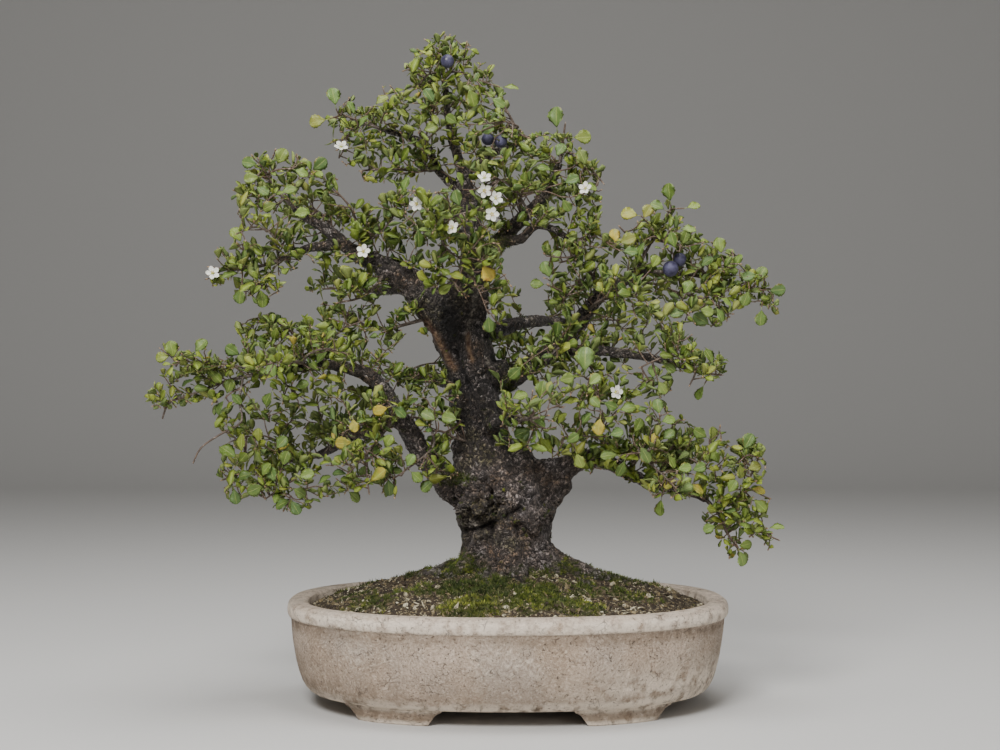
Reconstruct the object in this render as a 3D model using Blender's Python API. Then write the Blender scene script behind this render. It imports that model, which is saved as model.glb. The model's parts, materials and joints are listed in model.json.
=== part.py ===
"""A blackthorn bonsai in its oval pot, as closed solids.

Sizes are in millimetres and become Blender's metres when a mesh is made. While it is
modelled, x = 0, y = 0 is the middle of the pot, z = 0 is the plane that its feet stand
on, -Y is the front and +X is to the right. At the end everything is moved sideways, so
that the origin lies under the middle of the whole object.
"""

import math
import random

import bmesh
import bpy
import numpy as np
from mathutils import Vector, kdtree, noise
from mathutils.bvhtree import BVHTree

MM = 0.001
SEED = 1846
GAP = 0.3
SHORTEST_EDGE = 0.02
UP = Vector((0.0, 0.0, 1.0))
FRONT = Vector((0.0, -1.0, 0.0))

# Pot: outer size over the rim, and the squareness of its oval
POT_LENGTH = 350.0
POT_WIDTH = 270.0
OVAL_POWER = 2.3
OVAL_SIDES = 32
# Outer wall from the flat underside up to the rim and down the inside: (inset, height)
POT_UNDERSIDE = 11.5
POT_PROFILE = (
    (22.0, POT_UNDERSIDE),
    (17.0, 14.0),
    (12.0, 21.0),
    (7.0, 38.0),
    (3.0, 69.5),
    (0.2, 72.5),
    (0.6, 80.0),
    (3.5, 83.0),
    (14.0, 83.0),
    (17.0, 81.0),
    (17.0, 24.0),
    (22.0, 20.5),
)
WALL_INSET = 17.0
FLOOR_TOP = 20.5

# Feet: where each begins and ends along the pot, on the ground and under the floor
FOOT_GROUND = (58.0, 114.0)
FOOT_ROOT = (52.0, 121.0)
FOOT_INSET = 24.0
FOOT_DEPTH = 20.0
FOOT_SINK = 1.0
FOOT_STEPS = 3

# Drainage: two holes in the floor, each under a small screen
DRAIN_X = 80.0
DRAIN_RADIUS = 10.0
DRAIN_SIDES = 14
SCREEN_SIZE = 28.0
SCREEN_THICKNESS = 1.2
SCREEN_BAR = 2.4
SCREEN_SLOTS = 4

# Soil: a low dome, highest round the trunk, whose foot stands in a plain hole
SOIL_EDGE = 76.0
SOIL_TOP = 108.0
SOIL_DOME_POWER = 1.6
SOIL_BUMP = 1.5
SOIL_RINGS = (0.97, 0.76, 0.54, 0.34)
HOLE_RADIUS = 27.0
HOLE_BOTTOM = 60.0

# Trunk: (x, y, z, radius) up its middle. It is a little flatter from front to back
TRUNK_DEPTH = 0.87
TRUNK = (
    (0, 0, 52, 32),
    (0, 0, 76, 38),
    (0, 0, 95, 42),
    (-1, 0, 112, 38.5),
    (-2, 0, 130, 35.5),
    (-4, -2, 150, 37),
    (-6, -2, 168, 37),
    (-12, -1, 184, 33),
    (-20, 0, 200, 25),
    (-21, 1, 224, 19.5),
    (-27, 3, 242, 20),
    (-28, 4, 260, 20),
    (-31, 4, 276, 20.5),
    (-38, 4, 292, 22),
    (-40, 4, 306, 21),
    (-36, 6, 322, 17),
    (-28, 9, 340, 13),
    (-27, 11, 352, 11.5),
    (-28, 12, 370, 9.5),
    (-30, 12, 390, 7.5),
    (-31, 11, 404, 6.5),
)

# Limbs: (x, y, z, radius) from inside the wood that each one grows from, to its tip
LIMBS = {
    "left_low": (
        (-30, -6, 166, 14), (-43, -10, 168, 11), (-57, -14, 185, 9.5), (-69, -18, 199, 8.6),
        (-77, -21, 215, 8), (-87, -24, 229, 7.5), (-98, -27, 248, 6.6), (-110, -30, 260, 5.8),
        (-123, -32, 265, 5), (-139, -34, 268, 4.2), (-155, -36, 266, 3.6), (-180, -38, 263, 3),
    ),
    "left_low_back": (
        (-87, -24, 229, 6), (-106, -14, 216, 5.5), (-123, -4, 212, 5), (-139, 6, 202, 4),
        (-155, 14, 194, 3),
    ),
    "left_high": (
        (-40, 4, 302, 17), (-58, 1, 313, 15), (-71, -3, 328, 12.5), (-83, -6, 338, 10.5),
        (-96, -9, 345, 9), (-112, -12, 352, 7.6), (-125, -14, 360, 6), (-137, -16, 370, 5),
        (-146, -17, 377, 4.3), (-157, -18, 383, 3.6), (-169, -18, 392, 2.8),
    ),
    "left_high_low": (
        (-131, -15, 364, 4.5), (-144, -20, 362, 4), (-156, -24, 360, 3.3), (-170, -28, 354, 2.8),
    ),
    "right_mid": (
        (-24, 6, 256, 13), (-8, 6, 254, 10), (10, 8, 262, 8.6), (26, 10, 273, 8),
        (39, 12, 281, 7.5), (55, 14, 296, 6.8), (63, 15, 310, 6.3), (76, 16, 325, 5.6),
        (90, 16, 333, 4.8), (103, 16, 341, 4), (113, 15, 344, 3.4),
    ),
    "right_mid_low": (
        (30, 10, 276, 5.5), (50, 2, 279, 5), (70, -6, 280, 4.4), (91, -12, 277, 3.8),
        (116, -18, 273, 3), (133, -22, 268, 2.8),
    ),
    "right_low": (
        (-4, -2, 168, 24), (20, -4, 176, 17), (42, -8, 184, 11), (60, -12, 193, 7.5),
        (76, -15, 192, 6.2), (96, -19, 182, 5.2), (118, -23, 173, 4.2), (143, -27, 168, 3.4),
        (156, -29, 162, 2.8),
    ),
    "right_high": (
        (-27, 11, 350, 10), (-14, 9, 360, 7.5), (-2, 8, 372, 6.5), (11, 6, 385, 5.5),
        (22, 4, 396, 4.6), (32, 2, 407, 4), (42, 0, 430, 3),
    ),
    "right_high_low": (
        (-16, 8, 357, 5), (-4, 2, 366, 4.4), (11, -3, 369, 3.9), (22, -6, 379, 3.4),
        (34, -8, 377, 2.9), (49, -10, 368, 2.7),
    ),
    "apex": (
        (-31, 11, 404, 6.5), (-37, 9, 424, 5), (-44, 7, 450, 4), (-48, 6, 470, 3.2),
        (-50, 5, 492, 2.7),
    ),
    "apex_left": (
        (-34, 10, 408, 4.5), (-42, 8, 412, 4), (-56, 6, 425, 3.4), (-64, 4, 444, 2.9),
        (-76, 2, 450, 2.7), (-98, 0, 456, 2.6),
    ),
    "apex_right": (
        (-36, 9, 420, 4), (-26, 8, 428, 3.5), (-18, 7, 434, 3), (-4, 4, 441, 2.8),
        (10, 2, 446, 2.6),
    ),
    "back_low": (
        (-28, 12, 236, 10), (-36, 34, 246, 7.5), (-48, 58, 254, 6), (-66, 82, 258, 4.8),
        (-84, 102, 258, 3.6),
    ),
    "back_right": (
        (-30, 14, 286, 10), (-10, 36, 296, 7), (14, 60, 304, 5.6), (36, 84, 306, 4.4),
        (54, 104, 304, 3.4),
    ),
    "back_high": (
        (-28, 12, 352, 8), (-34, 34, 368, 6), (-42, 56, 378, 4.8), (-52, 76, 382, 3.6),
    ),
    "back_left": (
        (-58, 4, 314, 9), (-74, 30, 326, 6.5), (-92, 54, 332, 5), (-110, 76, 330, 3.8),
    ),
    "front_low": (
        (-20, -10, 214, 7), (-12, -32, 222, 5.2), (-2, -54, 226, 4.2), (10, -74, 226, 3.2),
    ),
    "front_high": (
        (-28, 4, 350, 6), (-32, -18, 362, 4.6), (-38, -40, 370, 3.6), (-46, -60, 374, 2.8),
    ),
}

# Surface roots: (direction in degrees, reach, radius at the trunk, radius at the end)
ROOTS = (
    (182, 80, 10, 4.0),
    (214, 64, 9, 3.6),
    (248, 58, 8, 3.4),
    (291, 62, 9, 3.6),
    (326, 82, 9, 3.6),
    (355, 112, 11, 4.0),
    (44, 82, 9, 3.6),
    (95, 60, 8, 3.4),
    (141, 72, 9, 3.6),
)

# Round swellings of the trunk: (x, y, z, radius)
KNOBS = (
    (-20, -17, 161, 20),
    (16, -19, 150, 15),
    (-34, -6, 262, 11),
    (-6, -10, 262, 10),
    (22, 12, 128, 17),
    (-48, 8, 288, 12),
)

# Hollows in the trunk's front: (x, z, half width, half height, depth)
HOLLOWS = (
    (-39, 293, 7.0, 26.0, 15.0),
    (-12, 267, 5.0, 5.5, 7.0),
    (-14, 142, 14.0, 3.0, 5.0),
)

VOXEL = 2.0
GNARL = 0.075
GNARL_LENGTH = 13.0
TREE_TRIANGLES = 2050

# Leafy sprays. The first route of each starts on a limb, and the others fork from it.
# A route whose last word is BARE ends in a twig with no leaves.
BARE = "bare"
SPRAYS = {
    "left_low_tip": (
        ((-180, -38, 263), (-216, -40, 256), (-245, -42, 245), (-262, -43, 240), (-275, -44, 240)),
        ((-205, -46, 266), (-232, -52, 270), (-254, -54, 270)),
        ((-208, -44, 240), (-206, -48, 224), (-222, -52, 214), (-236, -54, 204), (-242, -55, 192), BARE),
        ((-264, -46, 236), (-267, -47, 226), BARE),
    ),
    "left_low_crown": (
        ((-139, -34, 268), (-158, -30, 285), (-178, -28, 300), (-195, -26, 306)),
        ((-138, -8, 290), (-144, 16, 296), (-152, 40, 299)),
        ((-138, -34, 288), (-124, -32, 298), (-108, -28, 304)),
        ((-166, -46, 290), (-178, -58, 290)),
    ),
    "left_low_front": (
        ((-155, -36, 266), (-160, -58, 270), (-172, -80, 270), (-186, -98, 266)),
        ((-152, -62, 276), (-138, -70, 280), (-122, -72, 276)),
    ),
    "left_under_tip": (
        ((-155, 14, 194), (-178, 10, 190), (-205, 4, 184), (-228, -2, 176)),
        ((-166, -12, 186), (-174, -28, 174), (-188, -40, 164)),
        ((-178, -8, 204), (-190, -26, 212), (-204, -32, 212)),
        ((-186, 22, 182), (-202, 34, 172)),
    ),
    "left_under_back": (
        ((-123, -4, 212), (-130, 24, 214), (-144, 50, 212), (-160, 72, 206)),
    ),
    "left_under_front": (
        ((-87, -24, 229), (-96, -44, 216), (-108, -64, 200), (-120, -80, 186)),
        ((-112, -52, 222), (-126, -56, 216)),
        ((-108, -60, 184), (-106, -64, 170)),
    ),
    "trunk_left": (
        ((-34, 0, 250), (-58, -8, 258), (-74, -14, 262), (-88, -18, 262)),
    ),
    "trunk_left_low": (
        ((-20, -6, 205), (-40, -20, 210), (-52, -30, 216), (-64, -38, 216)),
        ((-58, -42, 204), (-74, -46, 190), (-88, -44, 180)),
    ),
    "left_between": (
        ((-62, -2, 306), (-82, -8, 300), (-100, -12, 296), (-118, -16, 302), (-130, -18, 312)),
    ),
    "left_high_under": (
        ((-96, -9, 345), (-104, -22, 330), (-116, -34, 320), (-132, -42, 316)),
    ),
    "left_high_tip": (
        ((-169, -18, 392), (-180, -20, 404), (-190, -22, 418), (-196, -24, 430)),
        ((-188, -28, 390), (-196, -32, 392), (-206, -36, 392)),
    ),
    "left_high_low": (
        ((-170, -28, 354), (-190, -32, 346), (-212, -36, 342), (-232, -38, 344)),
        ((-182, -44, 368), (-194, -52, 374), (-208, -60, 368)),
    ),
    "left_high_back": (
        ((-137, -16, 370), (-146, 8, 386), (-160, 32, 396), (-176, 52, 398)),
    ),
    "left_high_top": (
        ((-112, -12, 352), (-118, -16, 376), (-124, -20, 392), (-134, -24, 404)),
        ((-100, -24, 372), (-90, -30, 384), (-88, -36, 396)),
    ),
    "back_left": (
        ((-110, 76, 330), (-134, 92, 334), (-158, 104, 334)),
    ),
    "back_low": (
        ((-84, 102, 258), (-104, 120, 262), (-124, 134, 262)),
        ((-76, 122, 268), (-56, 132, 272)),
    ),
    "back_right": (
        ((54, 104, 304), (76, 120, 308), (98, 132, 308)),
        ((50, 124, 318), (36, 134, 324)),
    ),
    "back_high": (
        ((-52, 76, 382), (-62, 98, 390), (-72, 116, 392)),
        ((-38, 96, 396), (-16, 102, 400)),
    ),
    "apex": (
        ((-50, 5, 492), (-52, 4, 512), (-50, 3, 532)),
        ((-42, -4, 502), (-34, -8, 500), (-26, -10, 496)),
        ((-60, 20, 502), (-66, 36, 494)),
        ((-62, -6, 500), (-72, -10, 488)),
    ),
    "apex_left": (
        ((-98, 0, 456), (-116, -2, 462), (-132, -4, 468)),
        ((-120, -12, 456), (-130, -16, 446)),
    ),
    "apex_left_low": (
        ((-56, 6, 425), (-74, 0, 424), (-96, -8, 424), (-116, -12, 422)),
        ((-66, -10, 440), (-62, -18, 458), (-56, -20, 474)),
    ),
    "apex_right": (
        ((10, 2, 446), (4, -4, 462), (-4, -8, 476)),
        ((14, 20, 454), (16, 38, 456)),
        ((8, -22, 456), (-2, -34, 458)),
    ),
    "right_high_tip": (
        ((42, 0, 430), (44, -2, 446), (46, -4, 460)),
        ((54, -6, 434), (66, -10, 424), (76, -12, 412)),
    ),
    "right_high_under": (
        ((49, -10, 368), (60, -14, 366), (72, -16, 372)),
        ((58, -24, 358), (48, -34, 352), (34, -38, 352)),
    ),
    "right_high_back": (
        ((22, 4, 396), (30, 28, 408), (40, 50, 414)),
    ),
    "right_high_front": (
        ((11, 6, 385), (10, -18, 398), (12, -40, 404)),
        ((2, -32, 408), (-10, -40, 414)),
        ((16, -30, 388), (20, -40, 374)),
    ),
    "front_high": (
        ((-46, -60, 374), (-54, -76, 380), (-62, -90, 384)),
        ((-36, -72, 382), (-20, -74, 386)),
        ((-50, -66, 362), (-44, -60, 354), (-34, -54, 348)),
    ),
    "right_mid_tip": (
        ((113, 15, 344), (140, 12, 342), (170, 8, 336), (196, 4, 330), (218, 2, 328)),
        ((140, 0, 328), (152, -4, 322), (168, -10, 318)),
        ((162, -4, 344), (174, -10, 348), (184, -12, 348)),
    ),
    "right_mid_up": (
        ((103, 16, 341), (112, 10, 360), (122, 4, 378), (130, 0, 392)),
        ((100, 4, 368), (90, -2, 378)),
        ((122, -12, 366), (136, -22, 362)),
    ),
    "right_mid_left": (
        ((76, 16, 325), (66, 10, 344), (54, 4, 352), (42, 0, 350)),
        ((60, -6, 336), (50, -16, 326), (42, -20, 316)),
    ),
    "right_mid_back": (
        ((90, 16, 333), (104, 40, 336), (124, 62, 336), (144, 80, 330)),
    ),
    "right_mid_front": (
        ((63, 15, 310), (72, -10, 318), (86, -34, 322), (100, -54, 320)),
    ),
    "right_midlow": (
        ((133, -22, 268), (150, -24, 262), (168, -26, 260)),
        ((146, -38, 262), (140, -52, 252)),
        ((136, -44, 276), (120, -54, 274), (102, -58, 266)),
    ),
    "right_midlow_near": (
        ((50, 2, 279), (44, -24, 284), (36, -48, 284)),
        ((58, -36, 276), (66, -46, 262)),
        ((30, -28, 272), (16, -34, 262)),
    ),
    "right_low_tip": (
        ((156, -29, 162), (166, -31, 150), (172, -32, 136), (180, -33, 124)),
        ((180, -36, 146), (196, -40, 138), (210, -42, 132)),
        ((180, -38, 166), (190, -40, 184), (196, -40, 200)),
    ),
    "right_low_mid": (
        ((118, -23, 173), (122, -28, 192), (130, -34, 206)),
        ((126, -4, 190), (136, 30, 198), (150, 52, 200)),
        ((140, -42, 196), (154, -50, 188)),
    ),
    "right_low_front": (
        ((96, -19, 182), (100, -44, 196), (110, -68, 204)),
        ((86, -40, 202), (66, -40, 212), (44, -44, 212)),
        ((116, -56, 186), (128, -64, 174)),
    ),
    "front_low": (
        ((10, -74, 226), (22, -90, 228), (30, -102, 230)),
        ((-4, -88, 232), (-20, -94, 236)),
    ),
}
STEM_SIDES = 3
STEM_RADII = (2.2, 1.1)
FORK_RADII = (1.5, 1.0)
CARRIER_RADII = (1.3, 0.95)
ROOT_SHARE = 0.42
STEM_STEP = 28.0
STEM_TRIM = 11.0
STEM_TRIES = 60
STEM_SHIFT = 0.6
FORK_ROOT = 10.0
FORK_BACK = 6.0
SEAT_RADIUS = 1.3
SEAT_GAP = 0.4
SEAT_RISE = 4.0

# Leaves: each is a lobe of a cluster's one thin arched blade
BLADE = 0.95
NECK = 2.4
SHOOT_RADIUS = 1.1
LEAF_WIDTH = 0.32
LEAF_WIDEST = 0.62
LEAF_LENGTHS = (14.0, 18.5)
LARGE_LEAF = 22.0
CLUSTER_SPACING = 39.5
CLUSTER_CLEAR = 0.6
CLUSTER_TRIES = 36
LARGE_LEAF_TRIES = 108
SHORTEST_SHOOT = 7.0
FIRST_CLUSTER = 9.0
SIDE_LIFT = 1.12
TIP_LIFT = 0.9
# A side shoot leaves its stem at this cosine at most, a blade crosses its shoot at least
ALONG_LIMIT = 0.75
STEEPEST_BLADE = 0.35
CLUSTER_LEAVES = (3, 4, 4, 5)
LEAF_DISORDER = 0.09
LEAF_LIFTS = (0.05, 0.62)
TIP_REACH = (5.0, 8.0)
SIDE_REACH = (8.0, 13.0)
CROWN_MIDDLE = (-25.0, 8.0)

# The large single leaves that stand out of the crown: (x, y, z) of each one's middle
LARGE_LEAVES = (
    (-137, -10, 480), (-150, -8, 461), (2, 0, 490), (39, 0, 466), (60, -2, 450),
    (128, -5, 404), (146, -5, 394), (184, 0, 350), (154, -15, 303), (203, 0, 306),
    (216, -2, 328), (59, -50, 272), (-93, -40, 173), (-213, -40, 201), (-196, -40, 171),
    (183, -34, 117), (209, -42, 141), (119, -45, 157), (116, -50, 235), (88, -45, 188),
    (31, -45, 205), (11, -92, 217), (160, -35, 212), (187, -36, 208), (197, -40, 159),
    (150, -25, 247), (158, -25, 274), (-192, -45, 320), (-209, -42, 322), (-211, -40, 369),
    (-179, -18, 432), (-149, -18, 426), (-203, -24, 427), (-80, -35, 408), (-69, -35, 368),
    (-98, -50, 233), (-118, -50, 222), (-126, -55, 208), (-17, -35, 341), (-52, -58, 344),
    (70, -50, 221), (126, -50, 177), (146, -45, 173), (98, -5, 386), (82, -5, 370),
)
LARGE_LEAF_REACH = 42.0

# Flowers: name, middle (x, y, z)
BLOOMS = (
    ("apex_left", (-131, -24, 440)),
    ("left_high", (-112, -44, 356)),
    ("front_high", (-42, -84, 371)),
    ("centre_left", (-71, -40, 393)),
    ("left_tip", (-228, -48, 339)),
    ("centre_upper", (-18, -46, 413)),
    ("centre_middle", (-18, -52, 402)),
    ("centre_right", (-9, -56, 396)),
    ("centre_lower", (-12, -84, 381)),
    ("right_high", (61, -24, 407)),
    ("right_mid", (83, -60, 247)),
)
PETAL_LENGTH = 6.3
PETAL_HALF_TURN = 0.42
PETAL_LIFT = 0.25
BLOOM_NECK = 1.7
PEDICEL = 6.0

# Sloes: name, middle (x, y, z)
SLOES = (
    ("apex", (-47, -14, 508)),
    ("centre_left", (-17, -14, 446)),
    ("centre_right", (-6, -22, 444)),
    ("right_left", (129, -16, 344)),
    ("right_right", (139, -8, 351)),
)
SLOE_RADIUS = 6.0
SLOE_SIDES = 7
SLOE_RINGS = (35, 75, 115, 155)
STALK_RADIUS = 0.8
STALK = 4.0

# Twigs that carry them, from one of the nearest stems
CARRIER_REACH = 70.0
CARRIER_STEMS = 5
CARRIER_TRIES = 30
CARRIER_BACK = 12.0
CARRIER_ROOT = 3.0
CARRIER_STRAIGHT = 6.0
CARRIER_SHIFT = 0.2
PLACE_TRIES = 80
PLACE_SHIFT = 0.12


def principled(name, colour, roughness):
    """A plain material of one colour."""
    material = bpy.data.materials.new(name)
    material.use_nodes = True
    shader = material.node_tree.nodes["Principled BSDF"]
    shader.inputs["Base Color"].default_value = (*colour, 1.0)
    shader.inputs["Roughness"].default_value = roughness
    shader.inputs["Metallic"].default_value = 0.0
    material.diffuse_color = (*colour, 1.0)
    return material


def mesh_object(name, points, faces, material=None):
    """A mesh object from points in millimetres."""
    mesh = bpy.data.meshes.new(name)
    mesh.from_pydata([(p[0] * MM, p[1] * MM, p[2] * MM) for p in points], [], faces)
    if material is not None:
        mesh.materials.append(material)
    obj = bpy.data.objects.new(name, mesh)
    bpy.context.scene.collection.objects.link(obj)
    return obj


def remove(obj):
    """Takes an object and its mesh out of the file."""
    mesh = obj.data
    bpy.data.objects.remove(obj)
    bpy.data.meshes.remove(mesh)


def bake(obj):
    """Applies the object's modifiers to its mesh."""
    graph = bpy.context.evaluated_depsgraph_get()
    finished = bpy.data.meshes.new_from_object(obj.evaluated_get(graph))
    obj.modifiers.clear()
    former = obj.data
    obj.data = finished
    bpy.data.meshes.remove(former)


def keep_largest_body(obj):
    """Merges the shortest edges, and drops loose scraps and sealed hollows."""
    work = bmesh.new()
    work.from_mesh(obj.data)
    bmesh.ops.triangulate(work, faces=work.faces[:])
    bmesh.ops.dissolve_degenerate(work, edges=work.edges[:], dist=SHORTEST_EDGE * MM)
    bmesh.ops.triangulate(work, faces=work.faces[:])
    bodies = []
    seen = set()
    for start in work.verts:
        if start in seen:
            continue
        body = [start]
        seen.add(start)
        for vertex in body:
            for edge in vertex.link_edges:
                other = edge.other_vert(vertex)
                if other not in seen:
                    seen.add(other)
                    body.append(other)
        bodies.append(body)
    bodies.sort(key=len)
    for body in bodies[:-1]:
        bmesh.ops.delete(work, geom=body, context="VERTS")
    work.to_mesh(obj.data)
    work.free()


def shade_smooth(obj, angle=40.0):
    """Smooth shading, with edges sharper than the angle left crisp."""
    obj.data.shade_smooth()
    obj.data.set_sharp_from_angle(angle=math.radians(angle))


def mesh_in_mm(obj):
    """The points, in millimetres, and the faces of an object that lies at the origin."""
    points = [vertex.co / MM for vertex in obj.data.vertices]
    faces = [tuple(polygon.vertices) for polygon in obj.data.polygons]
    return points, faces


def join_by_union(obj, others, solver):
    """Joins other objects into this one by a Boolean union, and removes them."""
    if others:
        group = bpy.data.collections.new("joined")
        bpy.context.scene.collection.children.link(group)
        for other in others:
            bpy.context.scene.collection.objects.unlink(other)
            group.objects.link(other)
        union = obj.modifiers.new("union", "BOOLEAN")
        union.operation = "UNION"
        union.operand_type = "COLLECTION"
        union.collection = group
        union.solver = solver
        bake(obj)
        for other in others:
            remove(other)
        bpy.data.collections.remove(group)
    keep_largest_body(obj)


def loft(rings):
    """Points and triangles of a closed shape through rings of equally many points."""
    count = len(rings[0])
    points = [point for ring in rings for point in ring]
    faces = [(0, i + 1, i) for i in range(1, count - 1)]
    for k in range(len(rings) - 1):
        low = k * count
        high = low + count
        for i in range(count):
            j = (i + 1) % count
            faces.append((low + i, low + j, high + j))
            faces.append((low + i, high + j, high + i))
    last = (len(rings) - 1) * count
    faces += [(last, last + i, last + i + 1) for i in range(1, count - 1)]
    return points, faces


def smooth_route(route, step):
    """A smooth curve through the route's points, with a point about every step."""
    knots = np.array(route, dtype=float)
    knots = np.vstack([2 * knots[0] - knots[1], knots, 2 * knots[-1] - knots[-2]])
    curve = [knots[1]]
    for a, b, c, d in zip(knots, knots[1:], knots[2:], knots[3:]):
        pieces = max(1, round(float(np.linalg.norm((c - b)[:3])) / step))
        for i in range(1, pieces + 1):
            t = i / pieces
            curve.append(
                0.5 * (2 * b + (c - a) * t + (2 * a - 5 * b + 4 * c - d) * t**2
                       + (3 * b - a - 3 * c + d) * t**3)
            )
    return curve


def tube(route, sides, depth=1.0):
    """Points and triangles of a closed tube through (x, y, z, radius) points."""
    centres = [Vector(point[:3]) for point in route]
    last = len(centres) - 1
    side = None
    rings = []
    for i, centre in enumerate(centres):
        tangent = (centres[min(i + 1, last)] - centres[max(i - 1, 0)]).normalized()
        if side is None:
            side = tangent.orthogonal()
        side = (side - tangent * side.dot(tangent)).normalized()
        other = tangent.cross(side)
        ring = []
        for k in range(sides):
            turn = 2 * math.pi * k / sides
            offset = (side * math.cos(turn) + other * math.sin(turn)) * route[i][3]
            ring.append(centre + Vector((offset.x, offset.y * depth, offset.z)))
        rings.append(ring)
    return loft(rings)


def oval_ring(inset, height):
    """One ring of the pot's oval, the inset in from its rim."""
    ring = []
    for i in range(OVAL_SIDES):
        turn = 2 * math.pi * i / OVAL_SIDES
        c = math.cos(turn)
        s = math.sin(turn)
        x = (POT_LENGTH / 2 - inset) * math.copysign(abs(c) ** (2 / OVAL_POWER), c)
        y = (POT_WIDTH / 2 - inset) * math.copysign(abs(s) ** (2 / OVAL_POWER), s)
        ring.append((x, y, height))
    return ring


def oval_share(x, y, inset):
    """How far (x, y) is from the middle of the oval, as a share of the way to its edge."""
    along = abs(x / (POT_LENGTH / 2 - inset)) ** OVAL_POWER
    across = abs(y / (POT_WIDTH / 2 - inset)) ** OVAL_POWER
    return (along + across) ** (1 / OVAL_POWER)


def foot(side_x, side_y):
    """One foot: a low block that follows the oval, narrower on the ground."""
    rings = []
    for (start, end), height in ((FOOT_GROUND, 0.0), (FOOT_ROOT, POT_UNDERSIDE + FOOT_SINK)):
        outer = []
        for i in range(FOOT_STEPS + 1):
            x = start + (end - start) * i / FOOT_STEPS
            share = 1 - (x / (POT_LENGTH / 2 - FOOT_INSET)) ** OVAL_POWER
            outer.append((x, (POT_WIDTH / 2 - FOOT_INSET) * share ** (1 / OVAL_POWER)))
        inner = [(x, y - FOOT_DEPTH) for x, y in reversed(outer)]
        rings.append([(x * side_x, y * side_y, height) for x, y in outer + inner])
    points, faces = loft(rings)
    # A foot that is mirrored once is inside out, so its faces are turned round
    if side_x * side_y > 0:
        faces = [face[::-1] for face in faces]
    return points, faces


def cylinder(x, y, radius, sides, low, high):
    """Points and triangles of an upright cylinder."""
    rings = []
    for height in (low, high):
        ring = []
        for i in range(sides):
            turn = 2 * math.pi * i / sides
            ring.append((x + radius * math.cos(turn), y + radius * math.sin(turn), height))
        rings.append(ring)
    return loft(rings)


def cut_away(obj, cutters):
    """Cuts each of the closed shapes out of the object."""
    for i, (points, faces) in enumerate(cutters):
        cutter = mesh_object(f"cutter_{i}", points, faces)
        cut = obj.modifiers.new("cut", "BOOLEAN")
        cut.operation = "DIFFERENCE"
        cut.object = cutter
        cut.solver = "MANIFOLD"
        bake(obj)
        remove(cutter)


def build_pot(material):
    """The pot: its bowl, with four feet joined on and two drainage holes cut through."""
    points, faces = loft([oval_ring(inset, height) for inset, height in POT_PROFILE])
    pot = mesh_object("pot", points, faces, material)
    feet = []
    for side_x in (-1, 1):
        for side_y in (-1, 1):
            feet.append(mesh_object("foot", *foot(side_x, side_y)))
    join_by_union(pot, feet, "EXACT")
    holes = [
        cylinder(x, 0, DRAIN_RADIUS, DRAIN_SIDES, POT_UNDERSIDE - 5, FLOOR_TOP + 5)
        for x in (-DRAIN_X, DRAIN_X)
    ]
    cut_away(pot, holes)
    keep_largest_body(pot)
    shade_smooth(pot)
    return pot


def box(low, high):
    """Points and triangles of a box between two corners."""
    corners = ((low[0], low[1]), (high[0], low[1]), (high[0], high[1]), (low[0], high[1]))
    return loft([[(x, y, z) for x, y in corners] for z in (low[2], high[2])])


def build_screen(name, x, material):
    """The square plastic screen over a drainage hole, with narrow slots."""
    bottom = FLOOR_TOP + GAP
    half = SCREEN_SIZE / 2
    points, faces = box(
        (x - half, -half, bottom), (x + half, half, bottom + SCREEN_THICKNESS)
    )
    screen = mesh_object(name, points, faces, material)
    slot = (SCREEN_SIZE - SCREEN_BAR) / SCREEN_SLOTS - SCREEN_BAR
    cutters = []
    for i in range(SCREEN_SLOTS):
        left = x - half + SCREEN_BAR + i * (slot + SCREEN_BAR)
        cutters.append(
            box(
                (left, -half + SCREEN_BAR, bottom - 1),
                (left + slot, half - SCREEN_BAR, bottom + SCREEN_THICKNESS + 1),
            )
        )
    cut_away(screen, cutters)
    keep_largest_body(screen)
    return screen


def mound_height(x, y):
    """The soil's height at (x, y): a low dome with gentle bumps."""
    share = min(1.0, oval_share(x, y, WALL_INSET + GAP))
    dome = SOIL_EDGE + (SOIL_TOP - SOIL_EDGE) * (1 - share**SOIL_DOME_POWER)
    bump = SOIL_BUMP * math.sin(x / 15 + 1) * math.cos(y / 12 - 0.6)
    return dome + bump * (1 - share)


def soil_shape(lift):
    """The soil's closed shape, raised by lift and with its hole that much narrower."""
    side = WALL_INSET + GAP
    rings = [
        oval_ring(side + 5.1, FLOOR_TOP + GAP + lift),
        oval_ring(side, 24.2 + lift),
        oval_ring(side, SOIL_EDGE - 1.5 + lift),
    ]
    for share in SOIL_RINGS:
        ring = []
        for x, y, _ in oval_ring(side, 0):
            ring.append((x * share, y * share, mound_height(x * share, y * share) + lift))
        rings.append(ring)
    mouth = []
    bottom = []
    for i in range(OVAL_SIDES):
        turn = 2 * math.pi * i / OVAL_SIDES
        x = (HOLE_RADIUS - lift) * math.cos(turn)
        y = (HOLE_RADIUS - lift) * math.sin(turn)
        mouth.append((x, y, mound_height(x, y) + lift))
        bottom.append((x, y, HOLE_BOTTOM + lift))
    return loft(rings + [mouth, bottom])


def build_soil(material):
    """The soil, with a shallow square recess under it for each screen."""
    points, faces = soil_shape(0.0)
    soil = mesh_object("soil", points, faces, material)
    half = SCREEN_SIZE / 2 + GAP
    top = FLOOR_TOP + 2 * GAP + SCREEN_THICKNESS
    recesses = [
        box((x - half, -half, FLOOR_TOP - 1), (x + half, half, top))
        for x in (-DRAIN_X, DRAIN_X)
    ]
    cut_away(soil, recesses)
    keep_largest_body(soil)
    shade_smooth(soil, 60)
    return soil


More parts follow.
